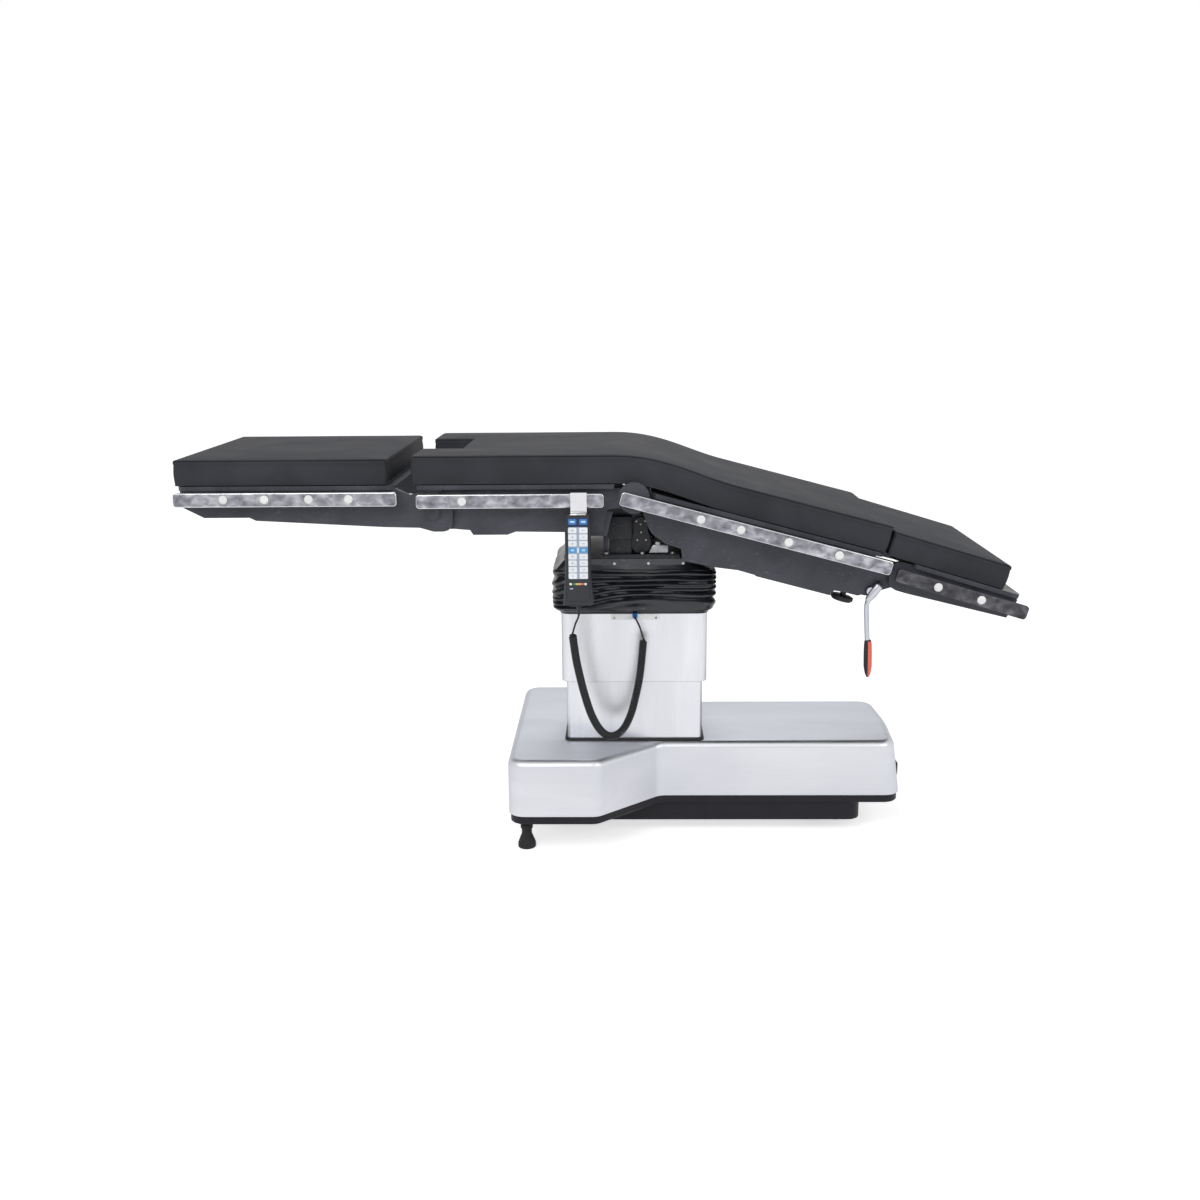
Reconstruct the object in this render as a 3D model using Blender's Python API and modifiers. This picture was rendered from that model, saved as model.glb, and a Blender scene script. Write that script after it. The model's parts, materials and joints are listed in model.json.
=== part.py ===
"""Electric operating table: base on floor locks, telescoping column, tilting top with four cushioned sections.

Metres, +Z up, +X towards the head end, -Y towards the side that carries the hand control.
The table is drawn about its column's axis, on the floor, and the root empty then moves it to the middle of its box.
"""
import math

import bmesh
import bpy
from mathutils import Matrix, Vector

# Fits and drawing counts
GAP = 0.0003
RUNNING = 0.0004
OVERRUN = 0.004
SIDES = 14
SMALL_SIDES = 12
ARC_STEPS = 3
MOST_ARC_STEPS = 4
ARC_CHORD = 0.013

# Driving sizes of the top
TOP_WIDTH = 0.551
LEG_END = 1.036
LEG_PAD_LENGTH = 0.483
SEAT_END = 0.500
SEAT_PAD_REACH = 0.044
BACK_PAD_START = 0.215
BACK_PAD_END = 0.583
BACK_TILT_DEGREES = 15.0
HEAD_TILT_DEGREES = 2.0

# Cushions
SEAT_PAD_BOTTOM = 0.8765
SEAT_PAD_THICKNESS = 0.068
LEG_PAD_THICKNESS = 0.062
BACK_PAD_BOTTOM = 0.0195
BACK_PAD_THICKNESS = 0.066
HEAD_PAD_BOTTOM = 0.0402
HEAD_PAD_THICKNESS = 0.060
HEAD_PAD_START = -0.056
HEAD_PAD_SPLIT = 0.030
HEAD_PAD_END = 0.222
NOTCH_WIDTH = 0.218
NOTCH_DEPTH = 0.097
PAD_EDGE = 0.016
PAD_CROWN = 0.004
PAD_SIDE_DRAW = 0.003
PAD_SPAN = 0.15
BEND_HANDLE = 0.10
BEND_STATIONS = 5

# Side rails
RAIL_HEIGHT = 0.032
RAIL_THICKNESS = 0.010
RAIL_OFFSET = 0.3055
RAIL_EDGE = 0.002
SEAT_RAIL_Z = 0.844
SEAT_RAIL_START = -0.485
SEAT_RAIL_END = -0.067
LEG_RAIL_Z = 0.850
LEG_RAIL_START = -1.028
LEG_RAIL_END = -0.527
BACK_RAIL_W = -0.006
BACK_RAIL_START = -0.030
BACK_RAIL_END = 0.597
HEAD_RAIL_W = 0.009
HEAD_RAIL_START = -0.032
HEAD_RAIL_END = 0.278
BOSS_RADIUS = 0.010
BOSS_SIDES = 8
LEG_BOSSES = (-0.914, -0.723)
SEAT_BOSSES = (-0.382, -0.124)
BACK_BOSSES = (0.155, 0.474)
HEAD_BOSSES = (0.066, 0.168)

# Hinge axes of the top
BACK_AXIS_Z = 0.847
LEG_AXIS_X = -0.453
LEG_AXIS_DROP = 0.052
HEAD_AXIS_U = 0.6415
HEAD_AXIS_W = -0.026
PIN_RADIUS = 0.008
PIN_HEAD = 0.006
LEG_DISC_RADIUS = 0.044
LEG_DRIVE_RADIUS = 0.040
LEG_RELIEF_SHARES = (0.75, 1.16, 0.9)
BACK_LUG_RADIUS = 0.018
BACK_DISC_RADIUS = 0.036
BACK_DISC_INNER = 0.279
BACK_DISC_OUTER = 0.292
HEAD_DISC_RADIUS = 0.033
HEAD_LUG_RADIUS = 0.028

# Frames of the top
DECK = 0.010
WEB = 0.011
WEB_PLAY = 0.0015
MIDDLE_WEB_OFFSET = 0.251
SEAT_DECK_BOTTOM = 0.866
SEAT_DECK_START = -0.490
SEAT_DECK_END = -0.045
LEG_DECK_START = -1.030
LEG_DECK_END = -0.535
BACK_DECK_BOTTOM = 0.009
BACK_DECK_START = 0.036
BACK_DECK_END = 0.580
HEAD_DECK_BOTTOM = 0.0297
HEAD_DECK_START = -0.030
HEAD_DECK_SHOULDER = 0.010
HEAD_DECK_END = 0.264
DECK_CORNER = 0.020
CROSS_BAR = 0.030
CROSS_BAR_DROP = 0.040

# Tilt joints
ROLL_AXIS_Z = 0.630
PITCH_AXIS_X = 0.018
PITCH_AXIS_Z = 0.725
SHAFT_RADIUS = 0.011
ROLL_LUG_OFFSET = 0.078
ROLL_POST_OFFSET = 0.096
ROLL_LUG = 0.012
ROLL_LUG_RADIUS = 0.018
CRADLE_BOTTOM = 0.670
CRADLE_PLATE = 0.018
CRADLE_CHEEK_OFFSET = 0.128
CRADLE_CHEEK = 0.014
CRADLE_CHEEK_RADIUS = 0.020
YOKE_OFFSET = 0.1445
YOKE = 0.011
YOKE_RADIUS = 0.020
YOKE_EYE_RADIUS = 0.016
YOKE_EYE_RISE = 0.036
YOKE_BAR = 0.014
SHAFT_COLLAR = 0.005

# Column
COLUMN_HALF_LENGTH = 0.1735
COLUMN_HALF_DEPTH = 0.165
COLUMN_CORNER = 0.022
SLEEVE_WALL = 0.0025
SLEEVE_STEP = 0.00525
GLIDE_HEIGHT = 0.014
UPPER_SLEEVE_BOTTOM = 0.385
UPPER_SLEEVE_TOP = 0.600
MIDDLE_SLEEVE_BOTTOM = 0.392
MIDDLE_SLEEVE_TOP = 0.512
LOWER_SLEEVE_TOP = 0.466
HEAD_PLATE = 0.012
CYLINDER_RADIUS = 0.050
CYLINDER_BORE = 0.0355
CYLINDER_FLOOR = 0.012
RAM_RADIUS = 0.034
RAM_BOTTOM = 0.260
COLLAR_WIDTH = 0.009
COLLAR_HEIGHT = 0.010

# Boot over the tilt joints
BOOT_BOTTOM = 0.553
BOOT_WALL = 0.002
BOOT_PLEATS = 5
BOOT_PLEAT_DEPTH = 0.007
BOOT_BULGE_LENGTH = 0.032
BOOT_BULGE_DEPTH = 0.036
BOOT_COLLAR = 0.010
BAND_LEG_END = 0.165
BAND_HEAD_END = 0.132
BAND_HALF_DEPTH = 0.175
BAND_BOTTOM = 0.664
BAND_TOP = 0.687
BAND_WALL = 0.003
BAND_CORNER = 0.020
MOTOR_COVER_START = -0.060
MOTOR_COVER_END = -0.004
MOTOR_COVER_TOP = 0.787
MOTOR_COVER_DEPTH = 0.014
MOTOR_COVER_EDGE = 0.003

# Connector on the column
SOCKET_PLATE_START = -0.055
SOCKET_PLATE_END = 0.060
SOCKET_PLATE_BOTTOM = 0.529
SOCKET_PLATE_TOP = 0.551
SOCKET_PLATE = 0.002
PLUG_X = 0.002
PLUG_Z = 0.545
PLUG_RADIUS = 0.008
PLUG_LENGTH = 0.016

# Base
BASE_LEG_END = 0.298
BASE_HEAD_END = 0.630
BASE_BOW = 0.010
BASE_DRAFT = 0.015
BASE_WIDE = 0.620
BASE_NARROW = 0.344
TAPER_START = -0.087
TAPER_END = 0.061
BASE_CORNER = 0.040
BASE_TOP = 0.235
BASE_SHELL_BOTTOM = 0.098
BASE_EDGE = 0.018
BASE_EDGE_STEPS = 2
BASE_SHEET = 0.0025
SKIRT_BOTTOM = 0.078
SKIRT_INSET = 0.004
SKIRT_WIDTH = 0.008
CHASSIS = 0.010
CHASSIS_INSET = 0.0035
HOUSING_BOTTOM = 0.030
HOUSING_START = -0.205
HOUSING_END = 0.553
HOUSING_HALF_DEPTH = 0.1585
HOUSING_WALL = 0.004
HOUSING_CORNER = 0.030
INLET_Y = -0.105
INLET_Z = 0.150
INLET_WIDTH = 0.046
INLET_HEIGHT = 0.032
INLET_DEPTH = 0.040
INLET_PROUD = 0.006
BATTERY_START = 0.215
BATTERY_LENGTH = 0.190
BATTERY_WIDTH = 0.170
BATTERY_HEIGHT = 0.092
PUMP_START = -0.262
PUMP_LENGTH = 0.085
PUMP_WIDTH = 0.230
PUMP_HEIGHT = 0.070
PUMP_MOTOR_RADIUS = 0.030
PUMP_MOTOR_LENGTH = 0.120

# Floor locks and casters
FOOT_LEG_END_INSET = 0.039
FOOT_LEG_SIDE_INSET = 0.060
FOOT_HEAD_X = 0.505
FOOT_HEAD_Y = 0.066
FOOT_RADIUS = 0.0225
FOOT_PAD = 0.013
FOOT_PAD_EDGE = 0.004
FOOT_WAIST = 0.034
FOOT_STEM_RADIUS = 0.0125
FOOT_STEM_TOP = 0.150
CASTER_LEG_X = -0.130
CASTER_HEAD_X = 0.415
CASTER_Y = 0.085
CASTER_TRAIL = 0.022
CASTER_LIFT = 0.003
WHEEL_RADIUS = 0.035
WHEEL_SIDES = 12
WHEEL_WIDTH = 0.024
WHEEL_TREAD_EDGE = 0.004
WHEEL_HUB_RADIUS = 0.020
WHEEL_DISH = 0.004
AXLE_RADIUS = 0.006
FORK_CHEEK = 0.005
FORK_PLAY = 0.0008
FORK_HEAD_RADIUS = 0.024
FORK_HEAD = 0.012
KINGPIN_RADIUS = 0.009

# Under-frame of the back section
COVER_START = 0.310
COVER_TOP = -0.060
COVER_BOTTOM = -0.112
COVER_STEP_U = 0.500
COVER_STEP_W = -0.0965
COVER_END = 0.566
KNOB_U = 0.532
KNOB_Y = -0.195
KNOB_RADIUS = 0.026
KNOB_THICKNESS = 0.014
KNOB_EDGE = 0.003
KNOB_STEM_RADIUS = 0.008
KNOB_STEM = 0.007
LEVER_U = 0.578
LEVER_W = -0.075
LEVER_EAR_RADIUS = 0.014
LEVER_Y = -0.256
LEVER_ROD_RADIUS = 0.0055
LEVER_HEAD_RADIUS = 0.010
GRIP_RADIUS = 0.0095
GRIP_TOP = 0.511
GRIP_BOTTOM = 0.421

# Hand control
HANDSET_WIDTH = 0.054
HANDSET_FOOT_WIDTH = 0.067
HANDSET_HEIGHT = 0.204
HANDSET_DEPTH = 0.026
HANDSET_X = -0.125
HANDSET_TOP = 0.816
HANDSET_EDGE = 0.005
HANDSET_CORNER = 0.010
HANDSET_FLARE_SHARE = 0.60
HOOK_START = -0.141
HOOK_END = -0.105
HOOK_SHEET = 0.0025
HOOK_BOTTOM = 0.780
HOOK_LIP = 0.005

# Cord of the hand control: points chosen along the route
CORD_RADIUS = 0.0028
CORD_LEAD = 0.006
CORD_FROM_HANDSET = (
    (-0.1250, -0.3285, 0.5880),
    (-0.1330, -0.3280, 0.5680),
    (-0.1385, -0.3230, 0.5490),
)
CORD_TO_PLUG = (
    (0.0200, -0.2040, 0.5060),
    (0.0130, -0.2010, 0.5270),
    (0.0050, -0.1960, 0.5420),
)
CURL_ROUTE = (
    (-0.1345, -0.3150, 0.4950),
    (-0.1290, -0.3090, 0.4600),
    (-0.1160, -0.2980, 0.3980),
    (-0.0990, -0.2840, 0.3380),
    (-0.0780, -0.2680, 0.2960),
    (-0.0550, -0.2550, 0.2790),
    (-0.0300, -0.2430, 0.2880),
    (-0.0110, -0.2340, 0.3200),
    (0.0010, -0.2270, 0.3600),
    (0.0130, -0.2160, 0.4170),
)
CURL_WIRE_RADIUS = 0.0032
CURL_RADIUS = 0.0065
CURLS = 35
CURL_POINTS = 8

# Outline of the seat's webs under the deck, in the column's X and the floor's Z
SEAT_WEB_START = -0.406
SEAT_WEB_KNEE_X = -0.372
SEAT_WEB_KNEE_Z = 0.771
SEAT_WEB_FLOOR_START = -0.365
SEAT_WEB_FLOOR_END = -0.287
SEAT_WEB_FLOOR_Z = 0.760
SEAT_WEB_RISE_X = -0.268
SEAT_WEB_RISE_Z = 0.767
SEAT_WEB_TOE_X = -0.071
SEAT_WEB_TOE_Z = 0.764
SEAT_WEB_HEEL_X = -0.060
SEAT_WEB_HEEL_Z = 0.816
SEAT_BAR_LEG_X = -0.360
SEAT_BAR_BACK_X = -0.140

# Yoke under the seat, and the tray between the webs
YOKE_START = -0.165
YOKE_SHOULDER_X = -0.160
YOKE_SHOULDER_Z = 0.836
YOKE_HAUNCH_X = -0.050
YOKE_HAUNCH_Z = 0.762
YOKE_NECK_X = -0.045
YOKE_NECK_Z = 0.832
YOKE_TIE_START = -0.100
YOKE_TIE_END = -0.070
TRAY_TOP = 0.795
TRAY_BOTTOM = 0.768
TRAY_FLOOR_END = -0.250
TRAY_END = -0.240

# Outline of the leg section's webs
LEG_WEB_START = -1.024
LEG_WEB_NOSE_X = -1.022
LEG_WEB_NOSE_Z = 0.829
LEG_WEB_CHIN_START = -0.973
LEG_WEB_CHIN_END = -0.870
LEG_WEB_CHIN_Z = 0.804
LEG_WEB_STEP_X = -0.855
LEG_WEB_STEP_Z = 0.797
LEG_WEB_BELLY_X = -0.563
LEG_WEB_BELLY_Z = 0.781
LEG_WEB_HEEL_X = -0.484
LEG_WEB_HEEL_Z = 0.779
LEG_WEB_NOTCH_X = -0.530
LEG_WEB_END = -0.540
LEG_BAR_SEAT_X = -0.640
LEG_BAR_FOOT_X = -0.930

# Outline of the back section's webs, along the section and across it
BACK_WEB_NECK_U = 0.060
BACK_WEB_NECK_W = -0.075
BACK_WEB_SLOPE_U = 0.100
BACK_WEB_SLOPE_W = -0.090
BACK_WEB_LEDGE_U = 0.1355
BACK_WEB_LEDGE_W = -0.092
BACK_WEB_STEP_U = 0.146
BACK_WEB_STEP_W = -0.118
BACK_WEB_BELLY_U = 0.220
BACK_WEB_BELLY_W = -0.114
BACK_WEB_RISE_U = 0.274
BACK_WEB_RISE_W = -0.107
BACK_WEB_FALL_U = 0.357
BACK_WEB_FALL_W = -0.109
BACK_WEB_TAIL_U = 0.4935
BACK_WEB_TAIL_W = -0.110
BACK_BAR_HINGE_U = 0.150
BACK_BAR_HEAD_U = 0.520

# Head section's web tip and cross bars
HEAD_WEB_TIP_W = -0.021
HEAD_BAR_HINGE_U = 0.070
HEAD_BAR_TIP_U = 0.200

# Release lever's head, bend and stem, and the lean of its grip
LEVER_HEAD_TOP_X = 0.558
LEVER_HEAD_TOP_Z = 0.640
LEVER_HEAD_FOOT_X = 0.532
LEVER_HEAD_FOOT_Z = 0.603
LEVER_NECK_X = 0.536
LEVER_NECK_Z = 0.609
LEVER_BEND_X = 0.531
LEVER_BEND_Z = 0.592
LEVER_STEM_X = 0.532
LEVER_STEM_Z = 0.560
GRIP_MOUTH_X = 0.535
GRIP_X = 0.5365
GRIP_LEAN_DEGREES = -1.5

# Working values of the shapes
SHARP_DEGREES = 32
MERGE = 0.00005
SUNK = 0.0007
ARC_ROOM_SHARE = 0.49
FLAT_FACE_SHARE = 0.49
POST_FOOT_SHARE = 1.6
PLUG_NOSE_SHARE = 0.6
BOOT_ROUND_SHARE = 0.7

# Places worked out from the sizes above
LEG_AXIS_Z = SEAT_DECK_BOTTOM - LEG_AXIS_DROP
RAIL_INNER = RAIL_OFFSET - RAIL_THICKNESS / 2
RAIL_OUTER = RAIL_OFFSET + RAIL_THICKNESS / 2
OUTER_WEB_OFFSET = MIDDLE_WEB_OFFSET + WEB + WEB_PLAY
INNER_WEB_OFFSET = MIDDLE_WEB_OFFSET - WEB - WEB_PLAY
CHASSIS_TOP = BASE_SHELL_BOTTOM + GAP + CHASSIS
PIN_BORE = PIN_RADIUS + RUNNING
BOTH_SIDES = ((-1, "near"), (1, "far"))


class Station:
    """An empty on a moving body's axis, with the place and the tilt that it has at rest."""

    def __init__(self, name, place=(0, 0, 0), above=None, tilt_degrees=0.0):
        turn = Matrix.Rotation(math.radians(tilt_degrees), 4, "Y")
        self.rest = Matrix.Translation(place) @ turn
        self.empty = bpy.data.objects.new(name, None)
        self.empty.empty_display_size = WEB
        parts().objects.link(self.empty)
        if above:
            self.empty.parent = above.empty
            self.empty.matrix_local = above.rest.inverted() @ self.rest
        else:
            self.empty.matrix_local = self.rest


def clear_scene():
    """Remove every object of the scene."""
    for obj in list(bpy.data.objects):
        bpy.data.objects.remove(obj, do_unlink=True)


def parts():
    """The collection that holds the table."""
    found = bpy.data.collections.get("operating_table")
    if found is None:
        found = bpy.data.collections.new("operating_table")
        bpy.context.scene.collection.children.link(found)
    return found


def finish(name, colour, roughness, metallic=0.0):
    """A Principled material."""
    material = bpy.data.materials.new(name)
    material.use_nodes = True
    shader = material.node_tree.nodes["Principled BSDF"]
    shader.inputs["Base Color"].default_value = (*colour, 1)
    shader.inputs["Roughness"].default_value = roughness
    shader.inputs["Metallic"].default_value = metallic
    material.diffuse_color = (*colour, 1)
    return material


def put(name, mesh, material, station, drawn_in=None):
    """Make a named part from a mesh drawn in one station's frame, and hang it on a station."""
    drawn = drawn_in.rest if drawn_in else Matrix()
    mesh.transform(station.rest.inverted() @ drawn)
    mesh.materials.clear()
    mesh.materials.append(material)
    obj = bpy.data.objects.new(name, mesh)
    obj.parent = station.empty
    parts().objects.link(obj)
    mesh.shade_smooth()
    mesh.set_sharp_from_angle(angle=math.radians(SHARP_DEGREES))
    return obj


def mesh_from(cage, name="shape"):
    """A mesh from a bmesh, with its normals turned out."""
    bmesh.ops.recalc_face_normals(cage, faces=cage.faces)
    mesh = bpy.data.meshes.new(name)
    cage.to_mesh(mesh)
    cage.free()
    return mesh


def evaluated(obj):
    """The mesh that an object's modifiers give, as a new mesh. The object is removed."""
    bpy.context.view_layer.update()
    graph = bpy.context.evaluated_depsgraph_get()
    mesh = bpy.data.meshes.new_from_object(obj.evaluated_get(graph))
    bpy.data.objects.remove(obj, do_unlink=True)
    return mesh


def stand_in(data):
    """A passing object for a modifier to work on."""
    obj = bpy.data.objects.new("work", data)
    bpy.context.scene.collection.objects.link(obj)
    return obj


def combined(first, others, operation):
    """One Boolean after another on a copy of the first mesh."""
    body = stand_in(first)
    helpers = [stand_in(other) for other in others]
    for helper in helpers:
        step = body.modifiers.new(operation, "BOOLEAN")
        step.operation = operation
        step.object = helper
    mesh = evaluated(body)
    for helper in helpers:
        bpy.data.objects.remove(helper, do_unlink=True)
    return mesh


def joined(first, *others):
    """The union of the meshes."""
    return combined(first, others, "UNION")


def cut(first, *cutters):
    """The first mesh less the cutters."""
    return combined(first, cutters, "DIFFERENCE")


def softened(mesh, width, segments=2):
    """The mesh with its sharp edges bevelled."""
    body = stand_in(mesh)
    edge = body.modifiers.new("edge", "BEVEL")
    edge.width = width
    edge.segments = segments
    edge.limit_method = "ANGLE"
    return evaluated(body)


def box(x0, x1, y0, y1, z0, z1):
    """A block between two corners."""
    cage = bmesh.new()
    bmesh.ops.create_cube(cage, size=1)
    size = (x1 - x0, y1 - y0, z1 - z0)
    middle = ((x0 + x1) / 2, (y0 + y1) / 2, (z0 + z1) / 2)
    cage.transform(Matrix.Translation(middle) @ Matrix.Diagonal((*size, 1)))
    return mesh_from(cage)


def rod(start, end, radius, sides=SIDES, end_radius=None):
    """A cylinder, or a cone, between two points."""
    start, end = Vector(start), Vector(end)
    along = end - start
    cage = bmesh.new()
    bmesh.ops.create_cone(
        cage,
        cap_ends=True,
        segments=sides,
        radius1=radius,
        radius2=radius if end_radius is None else end_radius,
        depth=along.length,
    )
    turn = Vector((0, 0, 1)).rotation_difference(along).to_matrix().to_4x4()
    cage.transform(Matrix.Translation((start + end) / 2) @ turn)
    return mesh_from(cage)


def turned(profile, sides=SIDES):
    """A body of revolution about Z, from (radius, height) points down its outer side."""
    mesh = bpy.data.meshes.new("profile")
    points = [(radius, 0, height) for radius, height in profile]
    edges = [(i, (i + 1) % len(points)) for i in range(len(points))]
    if profile[0][0] == 0 and profile[-1][0] == 0:
        edges.pop()
    mesh.from_pydata(points, edges, [])
    body = stand_in(mesh)
    screw = body.modifiers.new("turn", "SCREW")
    screw.steps = sides
    screw.render_steps = sides
    screw.use_merge_vertices = True
    screw.merge_threshold = MERGE
    solid = evaluated(body)
    cage = bmesh.new()
    cage.from_mesh(solid)
    return mesh_from(cage)


PLANES = {
    "z": Matrix(),
    "y": Matrix(((1, 0, 0, 0), (0, 0, -1, 0), (0, 1, 0, 0), (0, 0, 0, 1))),
    "x": Matrix(((0, 0, 1, 0), (1, 0, 0, 0), (0, 1, 0, 0), (0, 0, 0, 1))),
}


def prism(outlines, low, high, axis):
    """Flat outlines, the first with the others as holes, made thick along an axis.

    The outline's two coordinates are x, y for axis z; x, z for axis y; y, z for axis x.
    """
    curve = bpy.data.curves.new("outline", "CURVE")
    curve.dimensions = "2D"
    curve.fill_mode = "BOTH"
    curve.extrude = (high - low) / 2
    for outline in outlines:
        spline = curve.splines.new("POLY")
        spline.points.add(len(outline) - 1)
        spline.use_cyclic_u = True
        for point, (a, b) in zip(spline.points, outline):
            point.co = (a, b, 0, 1)
    mesh = evaluated(stand_in(curve))
    cage = bmesh.new()
    cage.from_mesh(mesh)
    bmesh.ops.remove_doubles(cage, verts=cage.verts, dist=MERGE)
    middle = {"z": (0, 0, 1), "y": (0, 1, 0), "x": (1, 0, 0)}[axis]
    cage.transform(Matrix.Translation(Vector(middle) * (low + high) / 2) @ PLANES[axis])
    return mesh_from(cage)


def slab(outline, middle, thickness, axis="y"):
    """One outline made thick about a middle plane."""
    return prism([outline], middle - thickness / 2, middle + thickness / 2, axis)


def rounded(corners, steps=None):
    """The outline through (x, y, radius) corners, each turned by an arc that its edges leave room for.

    With no steps given, an arc has as many as its length asks for.
    """
    outline = []
    for i, (x, y, radius) in enumerate(corners):
        here = Vector((x, y))
        before = Vector(corners[i - 1][:2]) - here
        after = Vector(corners[(i + 1) % len(corners)][:2]) - here
        half = before.angle(after) / 2
        reach = min(radius / math.tan(half), before.length * ARC_ROOM_SHARE, after.length * ARC_ROOM_SHARE)
        if reach < MERGE:
            outline.append((x, y))
            continue
        start = here + before.normalized() * reach
        end = here + after.normalized() * reach
        centre = here + (before.normalized() + after.normalized()).normalized() * reach / math.cos(half)
        swing = (start - centre).angle_signed(end - centre)
        wanted = round(abs(swing) * (start - centre).length / ARC_CHORD)
        count = steps or min(max(wanted, ARC_STEPS - 1), MOST_ARC_STEPS)
        for k in range(count + 1):
            spoke = (start - centre).copy()
            spoke.rotate(Matrix.Rotation(-swing * k / count, 2))
            outline.append(tuple(centre + spoke))
    return outline


def circle(x, y, radius, sides=SIDES):
    """A round outline."""
    turns = [2 * math.pi * k / sides for k in range(sides)]
    return [(x + radius * math.cos(turn), y + radius * math.sin(turn)) for turn in turns]


def rounded_box(x0, x1, y0, y1, radius, steps=ARC_STEPS):
    """A rectangle's outline with rounded corners."""
    return rounded([(x0, y0, radius), (x1, y0, radius), (x1, y1, radius), (x0, y1, radius)], steps)


def at_height(outline, z):
    """A flat outline as a ring at a height."""
    return [(x, y, z) for x, y in outline]


def loft(rings, closed=False):
    """A skin over rings of like counts, capped at both ends, or closed on itself."""
    cage = bmesh.new()
    loops = [[cage.verts.new(point) for point in ring] for ring in rings]
    pairs = list(zip(loops, loops[1:]))
    if closed:
        pairs.append((loops[-1], loops[0]))
    else:
        cage.faces.new(loops[0])
        cage.faces.new(loops[-1])
    for low, high in pairs:
        for i in range(len(low)):
            j = (i + 1) % len(low)
            cage.faces.new((low[i], low[j], high[j], high[i]))
    return mesh_from(cage)


def tube(points, radius, resolution=2):
    """A round wire through points."""
    curve = bpy.data.curves.new("wire", "CURVE")
    curve.dimensions = "3D"
    curve.bevel_depth = radius
    curve.bevel_resolution = resolution
    curve.use_fill_caps = True
    spline = curve.splines.new("POLY")
    spline.points.add(len(points) - 1)
    for point, place in zip(spline.points, points):
        point.co = (*place, 1)
    mesh = evaluated(stand_in(curve))
    cage = bmesh.new()
    cage.from_mesh(mesh)
    bmesh.ops.remove_doubles(cage, verts=cage.verts, dist=MERGE)
    return mesh_from(cage)


def smooth_route(points, steps):
    """A route through the points, curved as it passes each one, with so many steps to a stretch."""
    places = [Vector(point) for point in points]
    ends = [places[0] * 2 - places[1], *places, places[-1] * 2 - places[-2]]
    route = []
    for a, b, c, d in zip(ends, ends[1:], ends[2:], ends[3:]):
        for k in range(steps):
            t = k / steps
            route.append(
                ((b * 2) + (c - a) * t + (a * 2 - b * 5 + c * 4 - d) * t * t + (b * 3 - a - c * 3 + d) * t**3) / 2
            )
    route.append(places[-1])
    return route


def base_outline(inset=0.0, draft=0.0):
    """The base seen from above: wide at the leg end, narrow and slightly bowed at the head end."""
    wide = BASE_WIDE / 2 - inset
    narrow = BASE_NARROW / 2 - inset
    head = BASE_HEAD_END - inset + draft
    leg = -BASE_LEG_END + inset
    corner = max(BASE_CORNER - inset, BASE_CORNER / ARC_STEPS)
    slope = math.atan2((BASE_WIDE - BASE_NARROW) / 2, TAPER_END - TAPER_START)
    shift = inset * math.tan(slope / 2)
    half = [
        (leg, -wide, corner),
        (TAPER_START - shift, -wide, corner),
        (TAPER_END - shift, -narrow, corner + 2 * inset),
        (head, -narrow, corner),
    ]
    bow = (head + BASE_BOW, 0, BASE_WIDE)
    return rounded([*half, bow, *[(x, -y, radius) for x, y, radius in reversed(half)]], ARC_STEPS)


def column_outline(inset):
    """A sleeve's section."""
    corner = COLUMN_CORNER - inset
    length = COLUMN_HALF_LENGTH - inset
    depth = COLUMN_HALF_DEPTH - inset
    return rounded_box(-length, length, -depth, depth, corner)


def sleeve(inset, bottom, top, glide=True):
    """A square sleeve open at both ends, thicker inside at its lower lip, where it glides on the next one."""
    outer = column_outline(inset)
    inner = column_outline(inset + SLEEVE_WALL)
    lip = column_outline(inset + SLEEVE_STEP - RUNNING) if glide else inner
    return loft(
        [
            at_height(outer, bottom),
            at_height(outer, top),
            at_height(inner, top),
            at_height(inner, bottom + GLIDE_HEIGHT),
            at_height(lip, bottom + GLIDE_HEIGHT - SUNK),
            at_height(lip, bottom),
        ],
        closed=True,
    )


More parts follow.
